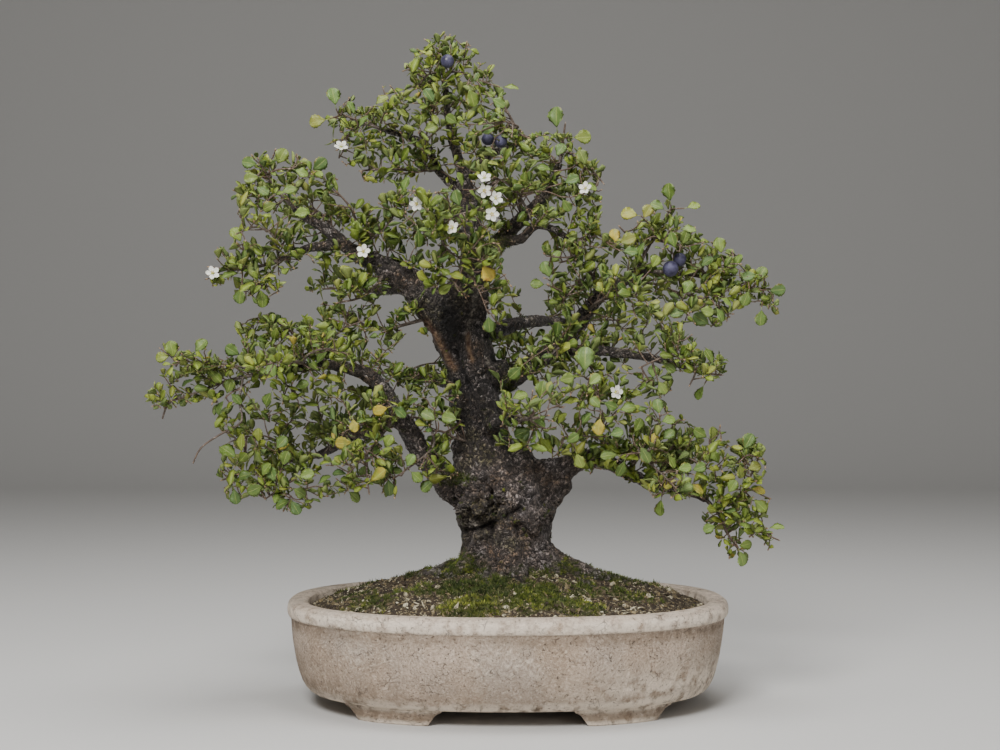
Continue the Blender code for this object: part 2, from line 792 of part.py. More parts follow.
def root_route(direction, reach, thick, thin):
    """A surface root's route: out of the trunk, then half sunk along the mound."""
    route = []
    steps = 6
    for i in range(steps + 1):
        share = i / steps
        distance = 16 + (reach - 16) * share
        turn = math.radians(direction + 9 * math.sin(4.2 * share + direction))
        x = distance * math.cos(turn)
        y = distance * math.sin(turn)
        radius = thick + (thin - thick) * share
        rise = 14 * (1 - share) ** 3
        route.append((x, y, mound_height(x, y) + rise + radius * (0.25 - 0.5 * share), radius))
    return route


def wood_routes():
    """Every tube of the tree's wood: the trunk, the limbs and the roots."""
    routes = [(smooth_route(TRUNK, 4.0), 20, TRUNK_DEPTH)]
    routes += [(smooth_route(route, 5.0), 10, 1.0) for route in LIMBS.values()]
    routes += [(smooth_route(root_route(*root), 5.0), 10, 1.0) for root in ROOTS]
    for x, y, z, radius in KNOBS:
        ball = []
        for i in range(9):
            turn = math.pi * (0.04 + 0.92 * i / 8)
            ball.append((x, y, z - radius * math.cos(turn), radius * math.sin(turn)))
        routes.append((ball, 12, 1.0))
    return routes


def hollow_depth(x, y, z, axis_y, radius):
    """How far the front of the trunk is pressed in at a point, by its hollows."""
    if y > axis_y - 0.2 * radius:
        return 0.0
    depth = 0.0
    for at_x, at_z, half_x, half_z, deepest in HOLLOWS:
        spread = ((x - at_x) / half_x) ** 2 + ((z - at_z) / half_z) ** 4
        depth += deepest * math.exp(-spread)
    return depth


def gnarl(obj, routes):
    """Roughens the wood by a formula: old bark's lumps, and the trunk's hollows."""
    samples = [point for route, _, _ in routes for point in route]
    tree = kdtree.KDTree(len(samples))
    for i, point in enumerate(samples):
        tree.insert(Vector(point[:3]), i)
    tree.balance()
    moved = []
    for vertex in obj.data.vertices:
        place = vertex.co / MM
        _, nearest, _ = tree.find(place)
        axis_y = samples[nearest][1]
        radius = samples[nearest][3]
        lump = noise.noise(place / GNARL_LENGTH) + 0.5 * noise.noise(place * 2.1 / GNARL_LENGTH)
        place += vertex.normal * (GNARL * radius * 2 * lump)
        place.y += hollow_depth(place.x, place.y, place.z, axis_y, radius)
        moved += [place.x * MM, place.y * MM, place.z * MM]
    obj.data.vertices.foreach_set("co", moved)


def build_tree(material):
    """The trunk, its roots and its limbs, grown together as one body."""
    routes = wood_routes()
    points = []
    faces = []
    for route, sides, depth in routes:
        start = len(points)
        more_points, more_faces = tube(route, sides, depth)
        points += more_points
        faces += [tuple(start + i for i in face) for face in more_faces]
    tree = mesh_object("tree", points, faces, material)
    remesh = tree.modifiers.new("fuse", "REMESH")
    remesh.mode = "VOXEL"
    remesh.voxel_size = VOXEL * MM
    bake(tree)
    keep_largest_body(tree)
    gnarl(tree, routes)
    smooth = tree.modifiers.new("smooth", "SMOOTH")
    smooth.factor = 0.5
    smooth.iterations = 2
    bake(tree)
    thin_out = tree.modifiers.new("thin_out", "DECIMATE")
    thin_out.ratio = TREE_TRIANGLES / len(tree.data.polygons)
    thin_out.use_collapse_triangulate = True
    bake(tree)
    cut_away(tree, [soil_shape(GAP)])
    keep_largest_body(tree)
    shade_smooth(tree, 60)
    return tree


def crosses_itself(shape):
    """Whether two triangles of the shape cross that share no corner."""
    points, faces = shape
    tree = BVHTree.FromPolygons(points, faces)
    return any(not set(faces[a]) & set(faces[b]) for a, b in tree.overlap(tree))


class Room:
    """Everything built so far, to test whether a new shape would cross it."""

    def __init__(self):
        self.taken = []

    def add(self, shape, tag):
        """Adds a shape's points and faces under a tag."""
        points, faces = shape
        spread = np.array([tuple(point) for point in points])
        tree = BVHTree.FromPolygons(points, faces)
        self.taken.append((tree, spread.min(axis=0), spread.max(axis=0), tag))

    def crosses(self, shape, ignored=()):
        """The tag of something that the shape crosses, other than the ignored tags."""
        points, faces = shape
        spread = np.array([tuple(point) for point in points])
        low = spread.min(axis=0)
        high = spread.max(axis=0)
        tree = None
        for other, other_low, other_high, tag in self.taken:
            if tag in ignored or (low > other_high).any() or (high < other_low).any():
                continue
            if tree is None:
                tree = BVHTree.FromPolygons(points, faces)
            if tree.overlap(other):
                return tag
        return None


class Stem:
    """A stem of a spray: its curve, the cluster at its tip and the ones along it."""

    def __init__(self, spray, route, bare=False):
        self.spray = spray
        self.route = route
        self.bare = bare
        self.tag = (spray, id(self))
        self.middle = [Vector(point[:3]) for point in route]
        self.tip = None
        self.clusters = []

    def shape(self):
        """The stem's points and triangles, with the cluster that it ends in."""
        points, faces = tube(self.route, STEM_SIDES)
        if self.tip is not None:
            # The cap at the stem's end gives way to the cluster's neck
            faces = faces[: 2 - STEM_SIDES]
            start = len(points)
            end = range(start - STEM_SIDES, start)
            blade_points, blades, neck = self.tip
            points += blade_points
            faces += [tuple(start + i for i in face) for face in blades]
            along = self.middle[-1] - self.middle[-2]
            faces += bridge(points, end, [start + i for i in neck], along)
        return points, faces

    def length(self):
        """The stem's length along its curve."""
        return sum((b - a).length for a, b in zip(self.middle, self.middle[1:]))

    def at(self, distance):
        """The point, the direction and the radius at a distance along the stem."""
        for i in range(len(self.middle) - 1):
            a = self.middle[i]
            b = self.middle[i + 1]
            step = (b - a).length
            if distance <= step or i == len(self.middle) - 2:
                share = min(1.0, distance / step)
                thick = self.route[i][3]
                thin = self.route[i + 1][3]
                return a.lerp(b, share), (b - a).normalized(), thick + (thin - thick) * share
            distance -= step

    def nearest(self, target):
        """The distance along the stem of its point nearest a target, and how far that is."""
        best = (0.0, (self.middle[0] - target).length)
        walked = 0.0
        for a, b in zip(self.middle, self.middle[1:]):
            step = (b - a).length
            share = max(0.0, min(1.0, (target - a).dot(b - a) / step**2))
            away = (a.lerp(b, share) - target).length
            if away < best[1]:
                best = (walked + share * step, away)
            walked += step
        return best


def tapered(points, radii):
    """The points with a radius each, from the first radius down to the second."""
    last = len(points) - 1
    return [
        (*point, radii[0] + (radii[1] - radii[0]) * i / last) for i, point in enumerate(points)
    ]


def seat_on_wood(points, wood):
    """The route's points with a first one just off the bark, and one straight out of it."""
    inside = Vector(points[0])
    beyond = Vector(points[1])
    towards = (inside - beyond).normalized()
    place, normal, _, _ = wood.ray_cast(beyond, towards)
    if place is None:
        place, normal, _, _ = wood.find_nearest(inside)
    out = (normal - towards).normalized()
    first = place + normal * SEAT_GAP
    second = first + out * SEAT_RISE
    rest = [Vector(point) for point in points[1:] if (Vector(point) - second).length > SEAT_RISE]
    return first, second, rest


def clear_stem(spray, points, root_radius, room, wood, ignored, rng, bare):
    """A stem along the points, bent clear of what is already there, or None.

    The first stem of a spray is seated just off the wood. A fork, which has a root
    radius, starts inside the stem that it grows from, so that one is ignored.
    """
    if not bare:
        last = Vector(points[-1]) - Vector(points[-2])
        shorter = Vector(points[-1]) - last * min(0.5, STEM_TRIM / last.length)
        points = list(points[:-1]) + [tuple(shorter)]
    for attempt in range(STEM_TRIES):
        spread = STEM_SHIFT * attempt
        moved = [Vector(points[0])]
        for point in points[1:]:
            shift = Vector([rng.uniform(-spread, spread) for _ in range(3)])
            moved.append(Vector(point) + shift)
        if root_radius:
            route = tapered(smooth_route([tuple(p) for p in moved], STEM_STEP), FORK_RADII)
            route[0] = (*route[0][:3], root_radius)
        else:
            first, second, rest = seat_on_wood(moved, wood)
            body = smooth_route([tuple(p) for p in [second] + rest], STEM_STEP)
            route = [(*first, SEAT_RADIUS)] + tapered(body, STEM_RADII)
        wide = [(x, y, z, r + CLUSTER_CLEAR) for x, y, z, r in route]
        wide[0] = route[0]
        if room.crosses(tube(wide, STEM_SIDES), ignored):
            continue
        stem = Stem(spray, route, bare)
        if not crosses_itself(stem.shape()):
            return stem
    return None


def build_stems(room, wood):
    """Every stem of every spray, each clear of the wood and of the other sprays."""
    stems = []
    for spray, routes in SPRAYS.items():
        rng = random.Random(f"{SEED} {spray} stems")
        own = []
        for points in routes:
            bare = points[-1] == BARE
            points = [point for point in points if point != BARE]
            root_radius = 0.0
            if own:
                distance, _ = own[0].nearest(Vector(points[0]))
                root, _, radius = own[0].at(max(FORK_ROOT, distance - FORK_BACK))
                root_radius = ROOT_SHARE * radius
                points = [tuple(root)] + points
            ignored = tuple(stem.tag for stem in own)
            stem = clear_stem(spray, points, root_radius, room, wood, ignored, rng, bare)
            if stem is None:
                raise ValueError(f"no room for stem {len(own)} of {spray}")
            own.append(stem)
            room.add(stem.shape(), stem.tag)
        stems += own
    return stems


def bridge(points, lower, upper, along):
    """Triangles between two rings of points that both run left about a direction."""
    along = along.normalized()
    first = points[lower[0]]
    angles = []
    for ring in (lower, upper):
        middle = sum((points[i] for i in ring), Vector()) / len(ring)
        across = first - middle if ring is lower else across
        across = (across - along * across.dot(along)).normalized()
        other = along.cross(across)
        spread = [points[i] - middle for i in ring]
        angles.append([math.atan2(p.dot(other), p.dot(across)) % (2 * math.pi) for p in spread])
    lower_angles, upper_angles = angles
    lower_angles[0] = 0.0
    start = upper_angles.index(min(upper_angles))
    lower = list(lower) + [lower[0]]
    upper = list(upper[start:]) + list(upper[:start]) + [upper[start]]
    lower_angles += [2 * math.pi]
    upper_angles = upper_angles[start:] + upper_angles[:start] + [upper_angles[start] + 2 * math.pi]
    faces = []
    i = 0
    j = 0
    while i < len(lower) - 1 or j < len(upper) - 1:
        at_end = j == len(upper) - 1
        if i < len(lower) - 1 and (at_end or lower_angles[i + 1] < upper_angles[j + 1]):
            faces.append((lower[i], lower[i + 1], upper[j]))
            i += 1
        else:
            faces.append((lower[i], upper[j + 1], upper[j]))
            j += 1
    return faces


def cluster_blade(centre, axis, leaves, grow=0.0):
    """The leaves of a cluster as one thin sheet, open below where its shoot joins it.

    leaves lists each leaf's turn about the axis, its length and its lift, as a slope.
    What is under the sheet is what is over it, moved down the axis by the blade's
    thickness. grow swells it all round, to test for room. The last value lists the
    points round the opening.
    """
    side = axis.orthogonal().normalized()
    other = axis.cross(side)
    outline = []
    notches = []
    for i, (turn, length, lift) in enumerate(leaves):
        before = leaves[i - 1][0] - (2 * math.pi if i == 0 else 0)
        wide = length * LEAF_WIDEST
        half = math.atan2(length * LEAF_WIDTH + grow, wide)
        far = math.hypot(wide, length * LEAF_WIDTH) + grow
        notches.append(len(outline))
        outline.append(((before + turn) / 2, NECK, 0.0))
        outline.append((turn - half, far, wide * lift * SIDE_LIFT))
        outline.append((turn, length + grow, (length + grow) * lift * TIP_LIFT))
        outline.append((turn + half, far, wide * lift * SIDE_LIFT))
    top = [
        centre + side * (r * math.cos(a)) + other * (r * math.sin(a)) + axis * (h + grow)
        for a, r, h in outline
    ]
    drop = axis * (BLADE + 2 * grow)
    size = len(top)
    lobes = []
    for i, a in enumerate(notches):
        b = notches[(i + 1) % len(notches)]
        lobes += [(a, a + 1, a + 2), (a, a + 2, b), (b, a + 2, a + 3)]
    faces = [(0, notches[i], notches[i + 1]) for i in range(1, len(notches) - 1)] + lobes
    faces += [(c + size, b + size, a + size) for a, b, c in lobes]
    for i in range(size):
        j = (i + 1) % size
        faces += [(i, i + size, j + size), (i, j + size, j)]
    return top + [point - drop for point in top], faces, [n + size for n in notches]


def shoot(points, neck, root, radius):
    """The triangles of a shoot from a ring of points at its root, added here, to the neck."""
    middle = sum((points[i] for i in neck), Vector()) / len(neck)
    along = (middle - root).normalized()
    start = len(points)
    for i in neck:
        out = points[i] - middle
        out = (out - along * out.dot(along)).normalized()
        points.append(root + out * radius)
    ring = range(start, len(points))
    cap = [(ring[0], ring[i + 1], ring[i]) for i in range(1, len(ring) - 1)]
    return bridge(points, ring, neck, along) + cap


def place_cluster(stem, distance, centre, axis, leaves, room):
    """Adds a cluster to the stem if nothing is in its way. Says whether it did.

    One at the stem's very end takes the place of the stem's cap.
    """
    root, _, radius = stem.at(distance)
    points, blades, neck = cluster_blade(centre, axis, leaves, CLUSTER_CLEAR)
    sides = shoot(points, neck, root, SHOOT_RADIUS + CLUSTER_CLEAR)
    if room.crosses((points, blades)) or room.crosses((points, sides), (stem.tag,)):
        return False
    points, blades, neck = cluster_blade(centre, axis, leaves)
    tip = (list(points), blades, neck)
    shape = (points, blades + shoot(points, neck, root, ROOT_SHARE * radius))
    if crosses_itself(shape):
        return False
    if distance >= stem.length() and stem.tip is None:
        stem.tip = tip
        if crosses_itself(stem.shape()):
            stem.tip = None
            return False
    else:
        stem.clusters.append(shape)
    room.add(shape, (stem.tag, "cluster"))
    return True


def random_leaves(rng, count, longest=None):
    """A cluster's leaves, evenly round it with a little disorder."""
    spin = rng.uniform(0, 2 * math.pi)
    leaves = []
    for i in range(count):
        turn = spin + 2 * math.pi * (i + rng.uniform(-LEAF_DISORDER, LEAF_DISORDER)) / count
        leaves.append((turn, rng.uniform(*LEAF_LENGTHS), rng.uniform(*LEAF_LIFTS)))
    if longest is not None:
        turn, _, lift = leaves[0]
        leaves[0] = (turn, longest, lift)
    return leaves


def turned_to(axis, leaves, aim):
    """The leaves turned about the axis so that the first one points along aim."""
    side = axis.orthogonal().normalized()
    other = axis.cross(side)
    wanted = math.atan2(aim.dot(other), aim.dot(side))
    shift = wanted - leaves[0][0]
    return [(turn + shift, length, lift) for turn, length, lift in leaves]


def outward(point):
    """The way out of the crown at a point, and a little up."""
    level = point - Vector((*CROWN_MIDDLE, point.z))
    return (level + 25.0 * UP).normalized()


def random_direction(rng):
    """A direction, evenly spread."""
    while True:
        way = Vector([rng.uniform(-1, 1) for _ in range(3)])
        if 0.2 < way.length < 1:
            return way.normalized()


def add_large_leaves(stems, room):
    """A cluster for each large leaf, one of whose leaves reaches to its place."""
    for target in (Vector(leaf) for leaf in LARGE_LEAVES):
        rng = random.Random(f"{SEED} leaf {tuple(target)}")
        near = sorted(((stem.nearest(target), stem) for stem in stems if not stem.bare),
                      key=lambda found: found[0][1])
        made = False
        for attempt in range(LARGE_LEAF_TRIES):
            (distance, away), stem = near[attempt % 2]
            if away > LARGE_LEAF_REACH:
                continue
            if attempt % 3 and stem.tip is None:
                distance = stem.length()
            root, _, _ = stem.at(distance)
            aim = ((target - root).normalized() + 0.25 * random_direction(rng)).normalized()
            centre = target - aim * (LARGE_LEAF / 2 + rng.uniform(0, 4))
            way = centre - root
            if way.length < SHORTEST_SHOOT:
                way = (way.normalized() if way.length > 1 else aim) * SHORTEST_SHOOT
                centre = root + way
            preferred = 0.7 * way.normalized() + 0.6 * random_direction(rng) + 0.3 * FRONT
            axis = (preferred - 0.8 * preferred.dot(aim) * aim).normalized()
            if axis.dot(way.normalized()) < STEEPEST_BLADE:
                continue
            leaves = random_leaves(rng, 4 if attempt < CLUSTER_TRIES else 3, LARGE_LEAF)
            leaves = turned_to(axis, leaves, aim)
            made = place_cluster(stem, distance, centre, axis, leaves, room)
            if made:
                break
        if not made:
            raise ValueError(f"no room for the large leaf at {tuple(target)}")


def add_clusters(stems, room):
    """The other clusters, along each stem and at its tip."""
    for number, stem in enumerate(stems):
        if stem.bare:
            continue
        rng = random.Random(f"{SEED} {stem.spray} {number}")
        length = stem.length()
        places = [] if stem.tip else [length]
        distance = length - CLUSTER_SPACING * 0.8
        while distance > FIRST_CLUSTER:
            places.append(distance)
            distance -= CLUSTER_SPACING * rng.uniform(0.85, 1.15)
        for distance in places:
            at_tip = distance == length
            root, along, _ = stem.at(distance)
            for attempt in range(CLUSTER_TRIES):
                if at_tip:
                    way = (along + 0.35 * random_direction(rng)).normalized()
                    reach = rng.uniform(*TIP_REACH)
                else:
                    way = random_direction(rng) + 0.4 * outward(root) + 0.25 * UP + 0.2 * along
                    way.normalize()
                    reach = rng.uniform(*SIDE_REACH)
                    if abs(way.dot(along)) > ALONG_LIMIT:
                        continue
                centre = root + way * reach
                axis = (way + 0.55 * random_direction(rng)).normalized()
                count = rng.choice(CLUSTER_LEAVES) - (1 if attempt > CLUSTER_TRIES / 2 else 0)
                leaves = random_leaves(rng, max(3, count))
                if place_cluster(stem, distance, centre, axis, leaves, room):
                    break


def carrier_for(stems, end, axis, room, rng):
    """A twig from the nearest stem that has room, which ends at end, pointing along axis."""
    near = sorted(((stem.nearest(end), stem) for stem in stems if not stem.bare),
                  key=lambda found: found[0][1])
    for (distance, away), stem in near[:CARRIER_STEMS]:
        if away > CARRIER_REACH:
            break
        for attempt in range(CARRIER_TRIES):
            back = distance - rng.uniform(0, CARRIER_BACK)
            root, _, radius = stem.at(max(CARRIER_ROOT, back))
            approach = end - axis * CARRIER_STRAIGHT
            middle = root.lerp(approach, 0.5) + random_direction(rng) * CARRIER_SHIFT * attempt
            points = smooth_route([tuple(root), tuple(middle), tuple(approach)], STEM_STEP)
            route = tapered(points, CARRIER_RADII) + [(*end, CARRIER_RADII[1])]
            route[0] = (*route[0][:3], ROOT_SHARE * radius)
            wide = [(x, y, z, r + CLUSTER_CLEAR) for x, y, z, r in route]
            if room.crosses(tube(wide, STEM_SIDES), (stem.tag,)):
                continue
            carrier = Stem(stem.spray, route, bare=True)
            if not crosses_itself(carrier.shape()):
                return carrier
    return None


def bloom_shape(centre, axis, spin):
    """A flower: five petals as one thin sheet, on its stalk."""
    side = axis.orthogonal().normalized()
    other = axis.cross(side)
    outline = []
    for i in range(5):
        turn = spin + 2 * math.pi * i / 5
        outline.append((turn - math.pi / 5, BLOOM_NECK, 0.0))
        outline.append((turn - PETAL_HALF_TURN, PETAL_LENGTH, PETAL_LENGTH * PETAL_LIFT))
        outline.append((turn + PETAL_HALF_TURN, PETAL_LENGTH, PETAL_LENGTH * PETAL_LIFT))
    top = [
        centre + side * (r * math.cos(a)) + other * (r * math.sin(a)) + axis * h
        for a, r, h in outline
    ]
    size = len(top)
    points = top + [point - axis * BLADE for point in top]
    notches = range(0, size, 3)
    faces = [(0, notches[i], notches[i + 1]) for i in range(1, 4)]
    petals = []
    for a in notches:
        petals += [(a, a + 1, a + 2), (a, a + 2, (a + 3) % size)]
    faces += petals
    faces += [(c + size, b + size, a + size) for a, b, c in petals]
    for i in range(size):
        j = (i + 1) % size
        faces.append((i, i + size, j + size))
        faces.append((i, j + size, j))
    upper = [n + size for n in notches]
    low = len(points)
    for n in notches:
        ring = side * math.cos(outline[n][0]) + other * math.sin(outline[n][0])
        points.append(centre - axis * (BLADE + PEDICEL) + ring * STALK_RADIUS)
    for i in range(5):
        j = (i + 1) % 5
        faces.append((upper[i], low + i, low + j))
        faces.append((upper[i], low + j, upper[j]))
    upper = [low + i for i in range(5)]
    faces += [(upper[0], upper[i + 1], upper[i]) for i in range(1, 4)]
    return points, faces


def sloe_shape(centre, axis):
    """A sloe: a round fruit on its stalk."""
    side = axis.orthogonal().normalized()
    other = axis.cross(side)
    stations = [(-SLOE_RADIUS - STALK, STALK_RADIUS), (-SLOE_RADIUS * 0.97, STALK_RADIUS)]
    for angle in SLOE_RINGS:
        turn = math.radians(angle)
        stations.append((-SLOE_RADIUS * math.cos(turn), SLOE_RADIUS * math.sin(turn)))
    rings = []
    for height, radius in stations:
        ring = []
        for i in range(SLOE_SIDES):
            turn = 2 * math.pi * i / SLOE_SIDES
            offset = (side * math.cos(turn) + other * math.sin(turn)) * radius
            ring.append(centre + axis * height + offset)
        rings.append(ring)
    return loft(rings)


def add_fruit_and_flowers(stems, room, petal, fruit):
    """Every flower and sloe, and the twigs that carry them."""
    carriers = []
    made = []
    wanted = [("bloom", name, place) for name, place in BLOOMS]
    wanted += [("sloe", name, place) for name, place in SLOES]
    for kind, name, place in wanted:
        rng = random.Random(f"{SEED} {kind} {name}")
        for attempt in range(PLACE_TRIES):
            centre = Vector(place) + random_direction(rng) * PLACE_SHIFT * attempt
            if kind == "bloom":
                axis = FRONT + 0.25 * UP + 0.5 * random_direction(rng)
            else:
                axis = 0.6 * FRONT - 0.6 * UP + 0.7 * random_direction(rng)
            axis.normalize()
            if kind == "bloom":
                shape = bloom_shape(centre, axis, rng.uniform(0, math.pi))
                end = centre - axis * (BLADE + PEDICEL + GAP)
            else:
                shape = sloe_shape(centre, axis)
                end = centre - axis * (SLOE_RADIUS + STALK + GAP)
            if room.crosses(shape):
                continue
            carrier = carrier_for(stems, end, axis, room, rng)
            if carrier:
                break
        else:
            raise ValueError(f"no room for {kind} {name}")
        carriers.append(carrier)
        room.add(carrier.shape(), carrier.tag)
        room.add(shape, (kind, name))
        obj = mesh_object(f"{kind}_{name}", *shape, petal if kind == "bloom" else fruit)
        shade_smooth(obj)
        made.append(obj)
    return carriers, made


def build_sprays(stems, leaf):
    """Joins each spray's stems and clusters into its one body."""
    made = []
    for spray in SPRAYS:
        shapes = []
        for stem in stems:
            if stem.spray == spray:
                shapes += [stem.shape()] + stem.clusters
        obj = mesh_object(f"spray_{spray}", *shapes[0], leaf)
        others = [mesh_object("piece", *shape) for shape in shapes[1:]]
        join_by_union(obj, others, "MANIFOLD")
        shade_smooth(obj, 30)
        made.append(obj)
    return made


def stand_over_origin(objects):
    """Moves everything sideways, so that the origin is under the middle of the object."""
    corners = []
    for obj in objects:
        spread = np.array([tuple(vertex.co) for vertex in obj.data.vertices])
        corners += [spread.min(axis=0), spread.max(axis=0)]
    corners = np.array(corners)
    middle = (corners.min(axis=0) + corners.max(axis=0)) / 2
    for obj in objects:
        for vertex in obj.data.vertices:
            vertex.co.x -= middle[0]
            vertex.co.y -= middle[1]


def main():
    """Builds the bonsai."""
    for obj in list(bpy.data.objects):
        bpy.data.objects.remove(obj)
    ceramic = principled("ceramic", (0.56, 0.49, 0.38), 0.6)
    earth = principled("earth", (0.07, 0.045, 0.03), 0.95)
    bark = principled("bark", (0.11, 0.085, 0.07), 0.9)
    leaf = principled("leaf", (0.24, 0.34, 0.08), 0.55)
    petal = principled("petal", (0.9, 0.9, 0.86), 0.6)
    fruit = principled("fruit", (0.13, 0.13, 0.26), 0.55)
    mesh = principled("screen", (0.03, 0.03, 0.03), 0.6)

    made = [build_pot(ceramic), build_soil(earth), build_tree(bark)]
    made.append(build_screen("drain_screen_left", -DRAIN_X, mesh))
    made.append(build_screen("drain_screen_right", DRAIN_X, mesh))

    tree_shape = mesh_in_mm(made[2])
    wood = BVHTree.FromPolygons(*tree_shape)
    room = Room()
    room.add(tree_shape, "tree")
    stems = build_stems(room, wood)
    carriers, fruit_and_flowers = add_fruit_and_flowers(stems, room, petal, fruit)
    add_large_leaves(stems, room)
    add_clusters(stems, room)
    made += build_sprays(stems + carriers, leaf)
    made += fruit_and_flowers
    stand_over_origin(made)


main()
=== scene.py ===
"""The looks of a blackthorn bonsai in its oval pot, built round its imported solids.

Routes and sizes are in millimetres, in the tree's own axes: x = 0, y = 0 is the middle of
the pot, z = 0 is the plane that its feet stand on, -Y is the front and +X is to the right.
`Place` moves them into the frame, which is in metres.
"""

import json
import logging
import math
import random
from dataclasses import dataclass, field
from enum import Enum
from typing import Any, Iterable, Sequence

import bmesh
import bpy
import numpy as np
from mathutils import Matrix, Vector, kdtree, noise
from mathutils.bvhtree import BVHTree

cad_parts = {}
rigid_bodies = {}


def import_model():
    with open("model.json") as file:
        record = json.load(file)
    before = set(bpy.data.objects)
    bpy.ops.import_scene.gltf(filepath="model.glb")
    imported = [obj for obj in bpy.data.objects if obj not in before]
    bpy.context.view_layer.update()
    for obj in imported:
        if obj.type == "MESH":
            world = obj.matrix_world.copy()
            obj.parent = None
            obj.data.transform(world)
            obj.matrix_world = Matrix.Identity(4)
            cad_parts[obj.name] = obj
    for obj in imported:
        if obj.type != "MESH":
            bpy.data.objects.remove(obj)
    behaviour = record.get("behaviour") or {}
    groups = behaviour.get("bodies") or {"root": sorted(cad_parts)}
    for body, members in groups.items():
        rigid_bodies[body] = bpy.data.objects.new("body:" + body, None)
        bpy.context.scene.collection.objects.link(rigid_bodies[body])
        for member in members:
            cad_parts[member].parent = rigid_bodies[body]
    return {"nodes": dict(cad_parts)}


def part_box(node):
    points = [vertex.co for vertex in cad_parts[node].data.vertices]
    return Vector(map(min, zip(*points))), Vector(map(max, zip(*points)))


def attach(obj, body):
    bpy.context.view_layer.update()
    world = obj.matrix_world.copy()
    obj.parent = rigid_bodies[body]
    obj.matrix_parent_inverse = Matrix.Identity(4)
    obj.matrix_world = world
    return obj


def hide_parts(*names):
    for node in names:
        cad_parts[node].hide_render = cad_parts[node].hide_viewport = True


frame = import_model()

Colour = tuple[float, float, float]
Point = tuple[float, ...]
Solid = tuple[list[Point], list[tuple[int, ...]]]
Piece = bpy.types.Object
Material = bpy.types.Material
Node = bpy.types.Node
NodeTree = bpy.types.NodeTree
Socket = bpy.types.NodeSocket

MM = 0.001
SEED = 1846
UP = Vector((0.0, 0.0, 1.0))
FRONT = Vector((0.0, -1.0, 0.0))
LOG = logging.getLogger("bonsai")

# Trunk: (x, y, z, radius) up its middle. It is a little flatter from front to back
TRUNK_DEPTH = 0.87
TRUNK = (
    (0, 0, 52, 32), (0, 0, 76, 38), (0, 0, 95, 42), (-1, 0, 112, 38.5), (-2, 0, 130, 35.5),
    (-4, -2, 150, 37), (-6, -2, 168, 37), (-12, -1, 184, 33), (-20, 0, 200, 25), (-21, 1, 224, 19.5),
    (-27, 3, 242, 20), (-28, 4, 260, 20), (-31, 4, 276, 20.5), (-38, 4, 292, 22), (-40, 4, 306, 21),
    (-36, 6, 322, 17), (-28, 9, 340, 13), (-27, 11, 352, 11.5), (-28, 12, 370, 9.5),
    (-30, 12, 390, 7.5), (-31, 11, 404, 6.5),
)

